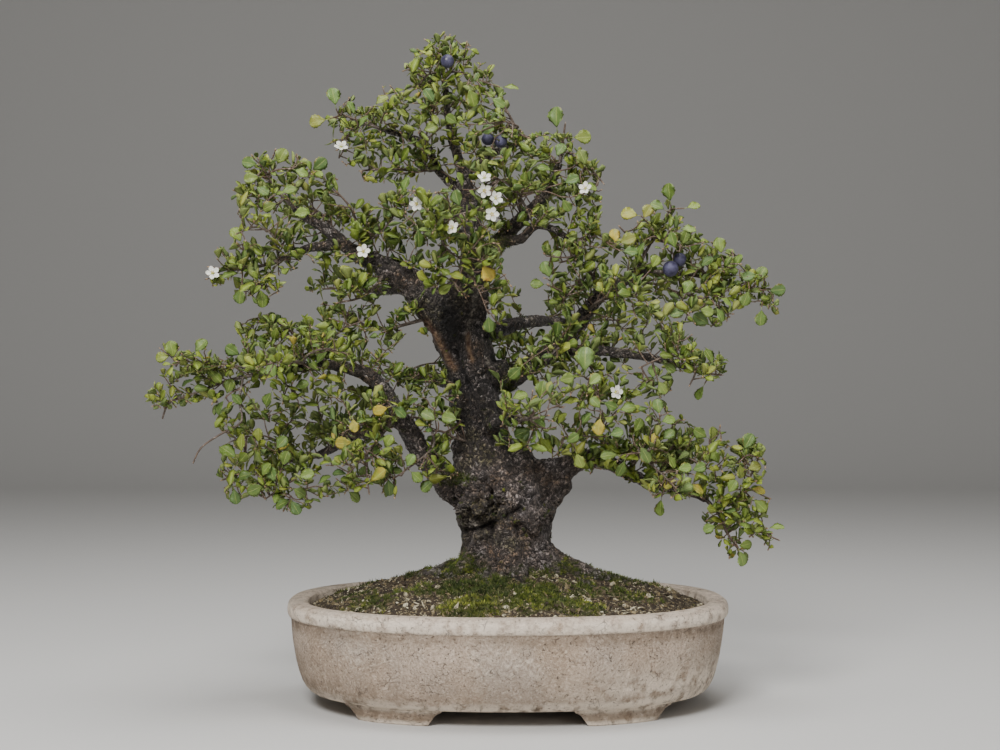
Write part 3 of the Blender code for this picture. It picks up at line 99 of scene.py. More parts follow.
# Limbs: (x, y, z, radius) from inside the wood that each one grows from, to its tip
LIMBS = {
    "left_low": (
        (-30, -6, 166, 14), (-43, -10, 168, 11), (-57, -14, 185, 9.5), (-69, -18, 199, 8.6),
        (-77, -21, 215, 8), (-87, -24, 229, 7.5), (-98, -27, 248, 6.6), (-110, -30, 260, 5.8),
        (-123, -32, 265, 5), (-139, -34, 268, 4.2), (-155, -36, 266, 3.6), (-180, -38, 263, 3),
    ),
    "left_low_back": (
        (-87, -24, 229, 6), (-106, -14, 216, 5.5), (-123, -4, 212, 5), (-139, 6, 202, 4),
        (-155, 14, 194, 3),
    ),
    "left_high": (
        (-40, 4, 302, 17), (-58, 1, 313, 15), (-71, -3, 328, 12.5), (-83, -6, 338, 10.5),
        (-96, -9, 345, 9), (-112, -12, 352, 7.6), (-125, -14, 360, 6), (-137, -16, 370, 5),
        (-146, -17, 377, 4.3), (-157, -18, 383, 3.6), (-169, -18, 392, 2.8),
    ),
    "left_high_low": (
        (-131, -15, 364, 4.5), (-144, -20, 362, 4), (-156, -24, 360, 3.3), (-170, -28, 354, 2.8),
    ),
    "right_mid": (
        (-24, 6, 256, 13), (-8, 6, 254, 10), (10, 8, 262, 8.6), (26, 10, 273, 8),
        (39, 12, 281, 7.5), (55, 14, 296, 6.8), (63, 15, 310, 6.3), (76, 16, 325, 5.6),
        (90, 16, 333, 4.8), (103, 16, 341, 4), (113, 15, 344, 3.4),
    ),
    "right_mid_low": (
        (30, 10, 276, 5.5), (50, 2, 279, 5), (70, -6, 280, 4.4), (91, -12, 277, 3.8),
        (116, -18, 273, 3), (133, -22, 268, 2.8),
    ),
    "right_low": (
        (-4, -2, 168, 24), (20, -4, 176, 17), (42, -8, 184, 11), (60, -12, 193, 7.5),
        (76, -15, 192, 6.2), (96, -19, 182, 5.2), (118, -23, 173, 4.2), (143, -27, 168, 3.4),
        (156, -29, 162, 2.8),
    ),
    "right_high": (
        (-27, 11, 350, 10), (-14, 9, 360, 7.5), (-2, 8, 372, 6.5), (11, 6, 385, 5.5),
        (22, 4, 396, 4.6), (32, 2, 407, 4), (42, 0, 430, 3),
    ),
    "right_high_low": (
        (-16, 8, 357, 5), (-4, 2, 366, 4.4), (11, -3, 369, 3.9), (22, -6, 379, 3.4),
        (34, -8, 377, 2.9), (49, -10, 368, 2.7),
    ),
    "apex": (
        (-31, 11, 404, 6.5), (-37, 9, 424, 5), (-44, 7, 450, 4), (-48, 6, 470, 3.2),
        (-50, 5, 492, 2.7),
    ),
    "apex_left": (
        (-34, 10, 408, 4.5), (-42, 8, 412, 4), (-56, 6, 425, 3.4), (-64, 4, 444, 2.9),
        (-76, 2, 450, 2.7), (-98, 0, 456, 2.6),
    ),
    "apex_right": (
        (-36, 9, 420, 4), (-26, 8, 428, 3.5), (-18, 7, 434, 3), (-4, 4, 441, 2.8),
        (10, 2, 446, 2.6),
    ),
    "back_low": (
        (-28, 12, 236, 10), (-36, 34, 246, 7.5), (-48, 58, 254, 6), (-66, 82, 258, 4.8),
        (-84, 102, 258, 3.6),
    ),
    "back_right": (
        (-30, 14, 286, 10), (-10, 36, 296, 7), (14, 60, 304, 5.6), (36, 84, 306, 4.4),
        (54, 104, 304, 3.4),
    ),
    "back_high": (
        (-28, 12, 352, 8), (-34, 34, 368, 6), (-42, 56, 378, 4.8), (-52, 76, 382, 3.6),
    ),
    "back_left": (
        (-58, 4, 314, 9), (-74, 30, 326, 6.5), (-92, 54, 332, 5), (-110, 76, 330, 3.8),
    ),
    "front_low": (
        (-20, -10, 214, 7), (-12, -32, 222, 5.2), (-2, -54, 226, 4.2), (10, -74, 226, 3.2),
    ),
    "front_high": (
        (-28, 4, 350, 6), (-32, -18, 362, 4.6), (-38, -40, 370, 3.6), (-46, -60, 374, 2.8),
    ),
}

# Surface roots: (direction in degrees, reach, radius at the trunk, radius at the end)
ROOTS = (
    (182, 80, 10, 4.0), (214, 64, 9, 3.6), (248, 58, 8, 3.4), (291, 62, 9, 3.6), (326, 82, 9, 3.6),
    (355, 112, 11, 4.0), (44, 82, 9, 3.6), (95, 60, 8, 3.4), (141, 72, 9, 3.6),
)

# Round swellings of the trunk: (x, y, z, radius)
KNOBS = (
    (-20, -17, 161, 20), (16, -19, 150, 15), (-34, -6, 262, 11), (-6, -10, 262, 10), (20, 12, 130, 15),
    (43, -2, 171, 8.5), (36, -4, 163, 9), (29, -4, 154, 10), (-48, 8, 288, 12),
)

# Hollows in the trunk's front: (x, z, half width, half height, depth)
HOLLOWS = (
    (-43, 296, 9.5, 27.0, 15.0), (-10, 273.6, 4.6, 4.2, 7.0), (-14, 142, 14.0, 3.0, 5.0),
)

# Leafy sprays. The first route of each starts on a limb, and the others fork from it.
# A route whose last word is BARE ends in a twig with no leaves.
BARE = "bare"
SPRAYS = {
    "left_low_tip": (
        ((-180, -38, 263), (-216, -40, 256), (-245, -42, 245), (-262, -43, 240), (-275, -44, 240)),
        ((-205, -46, 266), (-232, -52, 270), (-254, -54, 270)),
        ((-208, -44, 240), (-206, -48, 224), (-222, -52, 214), (-236, -54, 204), (-242, -55, 192), BARE),
        ((-264, -46, 236), (-267, -47, 226), BARE),
    ),
    "left_low_crown": (
        ((-139, -34, 268), (-158, -30, 285), (-178, -28, 300), (-195, -26, 306)),
        ((-138, -8, 290), (-144, 16, 296), (-152, 40, 299)),
        ((-138, -34, 288), (-124, -32, 298), (-108, -28, 304)),
        ((-166, -46, 290), (-178, -58, 290)),
    ),
    "left_low_front": (
        ((-155, -36, 266), (-160, -58, 270), (-172, -80, 270), (-186, -98, 266)),
        ((-152, -62, 276), (-138, -70, 280), (-122, -72, 276)),
    ),
    "left_under_tip": (
        ((-155, 14, 194), (-178, 10, 190), (-205, 4, 184), (-228, -2, 176)),
        ((-166, -12, 186), (-174, -28, 174), (-188, -40, 164)),
        ((-178, -8, 204), (-190, -26, 212), (-204, -32, 212)),
        ((-186, 22, 182), (-202, 34, 172)),
    ),
    "left_under_back": (
        ((-123, -4, 212), (-130, 24, 214), (-144, 50, 212), (-160, 72, 206)),
    ),
    "left_under_front": (
        ((-87, -24, 229), (-96, -44, 216), (-108, -64, 200), (-120, -80, 186)),
        ((-112, -52, 222), (-126, -56, 216)),
        ((-108, -60, 184), (-106, -64, 170)),
    ),
    "trunk_left": (
        ((-34, 0, 250), (-58, -8, 258), (-74, -14, 262), (-88, -18, 262)),
    ),
    "trunk_left_low": (
        ((-20, -6, 205), (-40, -20, 210), (-52, -30, 216), (-64, -38, 216)),
        ((-58, -42, 204), (-74, -46, 190), (-88, -44, 180)),
    ),
    "left_between": (
        ((-62, -2, 306), (-82, -8, 300), (-100, -12, 296), (-118, -16, 302), (-130, -18, 312)),
    ),
    "left_high_under": (
        ((-96, -9, 345), (-104, -22, 330), (-116, -34, 320), (-132, -42, 316)),
    ),
    "left_high_tip": (
        ((-169, -18, 392), (-180, -20, 404), (-190, -22, 418), (-196, -24, 430)),
        ((-188, -28, 390), (-196, -32, 392), (-206, -36, 392)),
    ),
    "left_high_low": (
        ((-170, -28, 354), (-190, -32, 346), (-212, -36, 342), (-232, -38, 344)),
        ((-182, -44, 368), (-194, -52, 374), (-208, -60, 368)),
    ),
    "left_high_back": (
        ((-137, -16, 370), (-146, 8, 386), (-160, 32, 396), (-176, 52, 398)),
    ),
    "left_high_top": (
        ((-112, -12, 352), (-118, -16, 376), (-124, -20, 392), (-134, -24, 404)),
        ((-100, -24, 372), (-90, -30, 384), (-88, -36, 396)),
    ),
    "back_left": (
        ((-110, 76, 330), (-134, 92, 334), (-158, 104, 334)),
    ),
    "back_low": (
        ((-84, 102, 258), (-104, 120, 262), (-124, 134, 262)),
        ((-76, 122, 268), (-56, 132, 272)),
    ),
    "back_right": (
        ((54, 104, 304), (76, 120, 308), (98, 132, 308)),
        ((50, 124, 318), (36, 134, 324)),
    ),
    "back_high": (
        ((-52, 76, 382), (-62, 98, 390), (-72, 116, 392)),
        ((-38, 96, 396), (-16, 102, 400)),
    ),
    "apex": (
        ((-50, 5, 492), (-52, 4, 512), (-50, 3, 532)),
        ((-42, -4, 502), (-34, -8, 500), (-26, -10, 496)),
        ((-60, 20, 502), (-66, 36, 494)),
        ((-62, -6, 500), (-72, -10, 488)),
    ),
    "apex_left": (
        ((-98, 0, 456), (-116, -2, 462), (-132, -4, 468)),
        ((-120, -12, 456), (-130, -16, 446)),
    ),
    "apex_left_low": (
        ((-56, 6, 425), (-74, 0, 424), (-96, -8, 424), (-116, -12, 422)),
        ((-66, -10, 440), (-62, -18, 458), (-56, -20, 474)),
    ),
    "apex_right": (
        ((10, 2, 446), (4, -4, 462), (-4, -8, 476)),
        ((14, 20, 454), (16, 38, 456)),
        ((8, -22, 456), (-2, -34, 458)),
    ),
    "right_high_tip": (
        ((42, 0, 430), (44, -2, 446), (46, -4, 460)),
        ((54, -6, 434), (66, -10, 424), (76, -12, 412)),
    ),
    "right_high_under": (
        ((49, -10, 368), (60, -14, 366), (72, -16, 372)),
        ((58, -24, 358), (48, -34, 352), (34, -38, 352)),
    ),
    "right_high_back": (
        ((22, 4, 396), (30, 28, 408), (40, 50, 414)),
    ),
    "right_high_front": (
        ((11, 6, 385), (10, -18, 398), (12, -40, 404)),
        ((2, -32, 408), (-10, -40, 414)),
        ((16, -30, 388), (20, -40, 374)),
    ),
    "front_high": (
        ((-46, -60, 374), (-54, -76, 380), (-62, -90, 384)),
        ((-36, -72, 382), (-20, -74, 386)),
        ((-50, -66, 362), (-44, -60, 354), (-34, -54, 348)),
    ),
    "right_mid_tip": (
        ((113, 15, 344), (140, 12, 342), (170, 8, 336), (196, 4, 330), (218, 2, 328)),
        ((140, 0, 328), (152, -4, 322), (168, -10, 318)),
        ((162, -4, 344), (174, -10, 348), (184, -12, 348)),
    ),
    "right_mid_up": (
        ((103, 16, 341), (112, 10, 360), (122, 4, 378), (130, 0, 392)),
        ((100, 4, 368), (90, -2, 378)),
        ((122, -12, 366), (136, -22, 362)),
    ),
    "right_mid_left": (
        ((76, 16, 325), (66, 10, 344), (54, 4, 352), (42, 0, 350)),
        ((60, -6, 336), (50, -16, 326), (42, -20, 316)),
    ),
    "right_mid_back": (
        ((90, 16, 333), (104, 40, 336), (124, 62, 336), (144, 80, 330)),
    ),
    "right_mid_front": (
        ((63, 15, 310), (72, -10, 318), (86, -34, 322), (100, -54, 320)),
    ),
    "right_midlow": (
        ((133, -22, 268), (150, -24, 262), (168, -26, 260)),
        ((146, -38, 262), (140, -52, 252)),
        ((136, -44, 276), (120, -54, 274), (102, -58, 266)),
    ),
    "right_midlow_near": (
        ((50, 2, 279), (44, -24, 284), (36, -48, 284)),
        ((58, -36, 276), (66, -46, 262)),
        ((30, -28, 272), (16, -34, 262)),
    ),
    "right_low_tip": (
        ((156, -29, 162), (166, -31, 150), (172, -32, 136), (180, -33, 124)),
        ((180, -36, 146), (196, -40, 138), (210, -42, 132)),
        ((180, -38, 166), (190, -40, 184), (196, -40, 200)),
    ),
    "right_low_mid": (
        ((118, -23, 173), (122, -28, 192), (130, -34, 206)),
        ((126, -4, 190), (136, 30, 198), (150, 52, 200)),
        ((140, -42, 196), (154, -50, 188)),
    ),
    "right_low_front": (
        ((96, -19, 182), (100, -44, 196), (110, -68, 204)),
        ((86, -40, 202), (66, -40, 212), (44, -44, 212)),
        ((116, -56, 186), (128, -64, 174)),
    ),
    "front_low": (
        ((10, -74, 226), (22, -90, 228), (30, -102, 230)),
        ((2, -86, 231), (-5, -92, 235)),
    ),
}

# The large single leaves that stand out of the crown: where each one's middle shows in the
# photograph (across, down, in pixels), its depth y, the way its tip points in the picture
# (degrees, 0 to the right, 90 up), its length and, if it has turned yellow, how far
LARGE_LEAVES = (
    (334, 97, -10, 100, 17), (318, 121, -8, 190, 16, 0.15), (510, 87, 0, 0, 15), (556, 118, 0, 95, 20),
    (582, 137, -2, 5, 17, 0.1), (669, 193, -5, 100, 17), (630, 214, -5, 170, 16, 0.35),
    (693, 206, -5, 15, 13), (737, 262, 0, 70, 15), (702, 320, -15, 150, 17), (761, 317, 0, 265, 15),
    (777, 290, -2, 0, 15), (720, 246, -10, 100, 15), (585, 360, -50, 88, 23), (389, 487, -40, 275, 15),
    (229, 452, -40, 140, 18), (241, 444, -44, 95, 17), (256, 489, -40, 205, 16),
    (235, 496, -38, 280, 14), (283, 503, -44, 200, 15), (295, 507, -46, 300, 14),
    (354, 496, -46, 320, 13), (394, 471, -30, 5, 14), (399, 411, -50, 325, 15),
    (428, 485, -34, 215, 15), (429, 416, -36, 150, 15), (450, 418, -40, 170, 15),
    (742, 558, -34, 290, 15), (776, 527, -42, 10, 14), (758, 490, -40, 350, 13, 0.55),
    (660, 507, -45, 260, 15), (658, 407, -50, 100, 14), (622, 468, -45, 250, 16),
    (548, 447, -45, 120, 16), (523, 432, -62, 200, 16), (542, 391, -60, 80, 17),
    (519, 396, -58, 20, 15), (516, 372, -56, 225, 15), (713, 436, -35, 80, 16), (748, 442, -36, 60, 16),
    (760, 505, -40, 320, 15, 0.1), (700, 392, -25, 240, 14), (710, 357, -25, 110, 15),
    (671, 483, -50, 200, 14, 0.5), (697, 488, -50, 330, 14, 0.45), (599, 426, -60, 260, 15, 0.7),
    (262, 298, -45, 280, 16), (240, 295, -42, 260, 15), (237, 235, -40, 120, 15),
    (281, 157, -18, 60, 16), (319, 165, -18, 35, 16), (250, 163, -24, 170, 14), (405, 185, -35, 80, 15),
    (419, 237, -35, 280, 17), (487, 272, -52, 300, 17, 0.95), (455, 275, -54, 350, 15, 0.3),
    (446, 288, -56, 210, 14, 0.1), (457, 199, -44, 110, 16), (381, 410, -56, 200, 14, 1.0),
    (354, 425, -60, 280, 12, 0.85), (344, 443, -62, 185, 15, 0.6), (547, 270, -20, 110, 16),
    (555, 257, -16, 60, 13), (538, 284, -22, 175, 13), (489, 324, -40, 275, 15),
    (583, 158, -20, 110, 15), (615, 236, -20, 100, 13, 0.75), (461, 180, -30, 100, 14),
    (430, 96, -26, 120, 15), (472, 97, -28, 290, 17), (498, 102, -18, 330, 14), (570, 401, -60, 20, 14),
    (585, 419, -62, 60, 14), (627, 408, -56, 15, 15), (638, 426, -54, 60, 14), (610, 405, -58, 340, 13),
    (572, 439, -62, 30, 13), (579, 460, -56, 290, 14), (610, 455, -56, 180, 16),
    (645, 454, -54, 300, 16), (701, 434, -42, 150, 14), (741, 471, -38, 280, 13, 0.15),
    (754, 467, -38, 20, 13, 0.2), (732, 487, -42, 60, 13), (710, 528, -38, 200, 12),
    (745, 545, -34, 10, 12), (668, 435, -50, 40, 13), (684, 468, -48, 10, 13), (672, 461, -50, 300, 13),
    (699, 468, -44, 20, 13), (668, 420, -50, 15, 13), (594, 380, -58, 45, 14), (566, 379, -58, 10, 14),
    (561, 419, -62, 60, 13), (539, 422, -62, 330, 13), (662, 387, -46, 300, 13, 0.1),
    (653, 372, -44, 90, 12), (669, 367, -42, 330, 13), (616, 433, -58, 20, 13),
    (596, 403, -60, 130, 13), (716, 458, -42, 120, 13), (658, 206, -10, 150, 14),
    (647, 212, -12, 60, 14, 0.3), (627, 240, -20, 20, 16, 0.2), (641, 248, -20, 240, 14),
    (673, 241, -16, 110, 15), (688, 229, -12, 5, 15), (685, 238, -14, 70, 14), (761, 274, -6, 60, 14),
    (750, 276, -10, 190, 13), (746, 298, -12, 250, 14), (726, 301, -18, 330, 13),
    (720, 314, -20, 300, 14), (706, 311, -22, 340, 13), (678, 313, -30, 180, 14),
    (687, 288, -24, 60, 14), (630, 251, -22, 0, 14), (655, 262, -22, 60, 13), (706, 262, -14, 40, 14),
    (172, 350, -30, 100, 16), (200, 346, -30, 50, 15), (233, 351, -34, 150, 15),
    (163, 357, -28, 190, 13), (188, 382, -32, 200, 13), (229, 387, -38, 70, 14),
    (220, 407, -38, 240, 14), (236, 398, -38, 320, 13), (271, 368, -42, 280, 15),
    (320, 358, -46, 60, 15), (268, 398, -44, 240, 13), (301, 385, -46, 20, 13), (265, 470, -42, 60, 14),
    (285, 459, -44, 70, 14), (306, 475, -44, 20, 14), (272, 475, -42, 110, 14),
    (299, 492, -44, 330, 13), (323, 480, -46, 40, 14), (258, 436, -42, 90, 13), (281, 443, -42, 50, 14),
    (246, 475, -40, 190, 13), (372, 452, -52, 20, 14), (388, 442, -52, 60, 13),
    (365, 470, -50, 250, 13), (410, 461, -40, 60, 13), (416, 476, -38, 320, 13),
    (340, 473, -50, 170, 13), (252, 178, -26, 190, 14), (262, 190, -28, 330, 13),
    (301, 172, -24, 340, 13), (288, 190, -26, 20, 14), (270, 206, -30, 200, 14),
    (300, 213, -32, 10, 13), (362, 122, -18, 60, 14), (352, 108, -14, 110, 13), (381, 100, -16, 40, 14),
    (402, 112, -20, 330, 13), (430, 128, -24, 20, 14), (452, 120, -26, 150, 13),
    (486, 130, -24, 20, 14), (560, 150, -10, 60, 14), (545, 168, -14, 160, 13), (571, 180, -14, 20, 14),
    (590, 186, -12, 340, 13), (566, 205, -18, 300, 13),
)

# The crown's outline in the photograph, in pixels across and down, clockwise from its top
CROWN_OUTLINE = (
    (445, 33), (458, 41), (468, 43), (478, 51), (470, 60), (482, 62), (492, 64), (491, 80), (502, 90),
    (506, 100), (505, 112), (503, 124), (516, 129), (526, 131), (522, 140), (538, 134), (556, 129),
    (570, 135), (576, 145), (584, 152), (585, 160), (599, 161), (602, 169), (597, 178), (601, 190),
    (600, 202), (601, 214), (599, 222), (602, 230), (598, 242), (612, 228), (622, 238), (636, 222),
    (645, 216), (652, 203), (662, 202), (672, 204), (682, 212), (683, 222), (698, 230), (704, 241),
    (722, 238), (724, 250), (742, 252), (743, 264), (752, 272), (766, 268), (770, 280), (772, 292),
    (778, 303), (776, 312), (764, 306), (752, 302), (738, 308), (724, 324), (706, 328), (690, 322),
    (676, 322), (688, 331), (702, 342), (692, 352), (702, 352), (712, 348), (726, 356), (728, 368),
    (722, 378), (714, 388), (703, 398), (696, 388), (700, 376), (685, 372), (668, 370), (672, 382),
    (670, 394), (652, 402), (662, 398), (668, 408), (684, 418), (692, 426), (704, 430), (722, 426),
    (722, 440), (734, 444), (748, 434), (764, 446), (766, 470), (762, 484), (770, 496), (768, 512),
    (762, 524), (774, 534), (770, 550), (758, 540), (744, 534), (738, 544), (752, 548), (746, 562),
    (732, 560), (722, 548), (712, 536), (702, 524), (704, 512), (712, 506), (698, 496), (680, 500),
    (668, 496), (655, 500), (648, 488), (630, 482), (614, 478), (610, 466), (590, 474), (576, 470),
    (566, 458), (530, 452), (498, 446), (488, 440), (478, 462), (466, 470), (452, 478), (432, 490),
    (420, 492), (424, 478), (412, 462), (404, 462), (400, 476), (396, 498), (384, 496), (378, 484),
    (362, 488), (358, 502), (350, 500), (344, 492), (322, 498), (314, 506), (298, 512), (276, 509),
    (270, 494), (256, 498), (246, 494), (240, 504), (230, 500), (222, 490), (230, 478), (216, 474),
    (218, 466), (234, 462), (220, 452), (222, 444), (234, 440), (226, 434), (216, 428), (216, 414),
    (210, 404), (214, 396), (196, 402), (180, 406), (164, 408), (150, 406), (147, 396), (152, 386),
    (160, 384), (160, 372), (164, 364), (156, 354), (164, 342), (172, 342), (180, 350), (194, 348),
    (204, 340), (208, 344), (204, 354), (216, 356), (226, 366), (228, 352), (240, 344), (246, 336),
    (234, 334), (234, 326), (246, 322), (254, 316), (268, 309), (276, 318), (290, 320), (290, 328),
    (300, 318), (308, 318), (314, 330), (322, 332), (318, 324), (322, 316), (312, 310), (322, 303),
    (334, 304), (340, 300), (330, 294), (310, 294), (306, 288), (308, 280), (322, 276), (312, 262),
    (310, 254), (300, 262), (296, 270), (284, 272), (282, 284), (280, 296), (272, 294), (266, 306),
    (258, 306), (252, 296), (244, 302), (236, 302), (236, 294), (240, 286), (228, 278), (218, 286),
    (210, 286), (206, 276), (212, 266), (222, 264), (214, 256), (216, 248), (228, 248), (234, 246),
    (232, 236), (232, 228), (244, 224), (238, 216), (238, 204), (232, 198), (230, 192), (240, 184),
    (246, 176), (243, 160), (254, 153), (268, 151), (282, 148), (292, 153), (300, 154), (300, 162),
    (310, 164), (318, 159), (328, 158), (325, 170), (334, 176), (342, 186), (332, 188), (332, 204),
    (346, 206), (360, 202), (374, 202), (384, 204), (381, 195), (394, 192), (396, 184), (386, 184),
    (378, 184), (364, 182), (360, 172), (372, 168), (358, 164), (346, 169), (342, 162), (352, 152),
    (338, 150), (326, 146), (332, 138), (344, 136), (338, 128), (316, 126), (320, 117), (334, 116),
    (342, 106), (349, 96), (357, 97), (356, 108), (366, 108), (380, 104), (386, 98), (379, 87),
    (390, 85), (398, 91), (408, 85), (414, 84), (408, 78), (403, 70), (407, 63), (416, 60), (409, 52),
    (414, 48), (424, 50), (424, 40), (434, 36),
)

# Ovals of the photograph, inside that outline, through which the dark behind shows, each with
# its middle across and down and its half width and half height
GAPS = (
    (523, 258, 21, 33), (533, 298, 13, 36), (418, 352, 24, 17), (412, 325, 14, 8), (430, 183, 17, 9),
    (318, 209, 10, 7), (256, 235, 12, 8), (518, 386, 16, 9), (549, 410, 8, 9), (570, 413, 7, 11),
    (328, 474, 9, 8), (316, 484, 6, 7), (262, 393, 13, 10), (262, 427, 11, 8), (642, 364, 11, 11),
    (632, 382, 7, 7), (462, 178, 9, 10), (615, 258, 9, 5), (561, 264, 8, 8), (575, 312, 8, 6),
    (222, 386, 10, 5), (394, 358, 9, 6), (372, 346, 9, 6), (378, 318, 8, 7), (352, 302, 12, 5),
    (640, 402, 6, 6), (438, 428, 8, 7), (300, 382, 8, 4), (690, 408, 10, 12), (228, 398, 8, 5),
    (390, 301, 12, 8), (540, 235, 11, 8), (541, 324, 9, 9), (655, 358, 11, 8), (236, 412, 8, 7),
    (703, 385, 8, 7),
)

# Ovals of the photograph in which bare wood shows, with no leaf in front of it
BARE_WOOD = (
    (453, 332, 22, 40), (477, 322, 14, 34), (462, 452, 12, 22), (480, 405, 22, 44), (414, 446, 13, 24),
    (366, 378, 22, 9), (394, 393, 10, 10), (330, 228, 10, 7), (348, 245, 11, 8), (386, 272, 14, 9),
    (410, 288, 14, 11), (512, 212, 9, 7), (530, 202, 9, 7), (506, 238, 13, 7), (598, 302, 9, 8),
    (584, 322, 7, 10), (330, 452, 14, 6), (400, 432, 8, 10), (450, 152, 10, 5), (296, 215, 8, 6),
)

# Flowers, by their places, and sloes with their radii, by the names of their nodes
BLOOMS = (
    "apex_left", "left_high", "front_high", "centre_left", "left_tip", "centre_upper", "centre_middle",
    "centre_right", "centre_lower", "right_high", "right_mid",
)
SLOES = {
    "sloe_apex": 5.4, "sloe_centre_left": 5.0, "sloe_centre_right": 5.2,
    "sloe_right_left": 6.3, "sloe_right_right": 5.4,
}


class Slot(Enum):
    """The record's material slots, one for each kind of new piece."""

    CERAMIC = "ceramic"
    EARTH = "earth"
    BARK = "bark"
    LEAF = "leaf"
    PETAL = "petal"
    FRUIT = "fruit"


@dataclass(frozen=True)
class Place:
    """Where the middle of the pot lies in the frame, in metres."""

    x: float
    y: float

    @classmethod
    def from_frame(cls) -> "Place":
        """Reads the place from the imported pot."""
        low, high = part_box("pot")
        return cls((low[0] + high[0]) / 2, (low[1] + high[1]) / 2)

    def metres(self, points: Iterable[Sequence[float]]) -> np.ndarray:
        """Points in the tree's own axes, in millimetres, as points of the frame."""
        return np.array([tuple(p)[:3] for p in points], dtype=float) * MM + (self.x, self.y, 0.0)

    def millimetres(self, points: np.ndarray) -> np.ndarray:
        """Points of the frame as points in the tree's own axes, in millimetres."""
        return (np.asarray(points, dtype=float) - (self.x, self.y, 0.0)) / MM


@dataclass(frozen=True)
class Viewpoint:
    """The photograph's camera, in the tree's own axes, looking straight along +Y."""

    x: float = -6.0
    y: float = -1400.0
    z: float = 260.0
    lens: float = 63.0
    sensor: float = 36.0
    width: float = 1000.0
    height: float = 750.0

    def pixel(self, point: Sequence[float]) -> tuple[float, float]:
        """The pixel of the photograph, across and down, where a point shows.

        Args:
            point: a point in the tree's own axes.

        Returns:
            The pixel.
        """
        scale = self.lens / self.sensor * self.width / (point[1] - self.y)
        across = self.width / 2 + (point[0] - self.x) * scale
        return across, self.height / 2 - (point[2] - self.z) * scale

    def point(self, pixel: tuple[float, float], depth: float) -> Vector:
        """The point that shows at a pixel, at a depth along Y.

        Args:
            pixel: the pixel, across and down.
            depth: the depth y.

        Returns:
            The point.
        """
        scale = (depth - self.y) * self.sensor / self.lens / self.width
        across = self.x + (pixel[0] - self.width / 2) * scale
        return Vector((across, depth, self.z - (pixel[1] - self.height / 2) * scale))

    def build(self, place: Place) -> Piece:
        """Makes the camera and gives it to the scene.

        Args:
            place: where the tree stands in the frame.

        Returns:
            The camera.
        """
        data = bpy.data.cameras.new("photo_camera")
        data.lens = self.lens
        data.sensor_width = self.sensor
        camera = bpy.data.objects.new("photo_camera", data)
        bpy.context.scene.collection.objects.link(camera)
        camera.location = place.metres([(self.x, self.y, self.z)])[0]
        camera.rotation_euler = (math.pi / 2, 0.0, 0.0)
        bpy.context.scene.camera = camera
        return camera


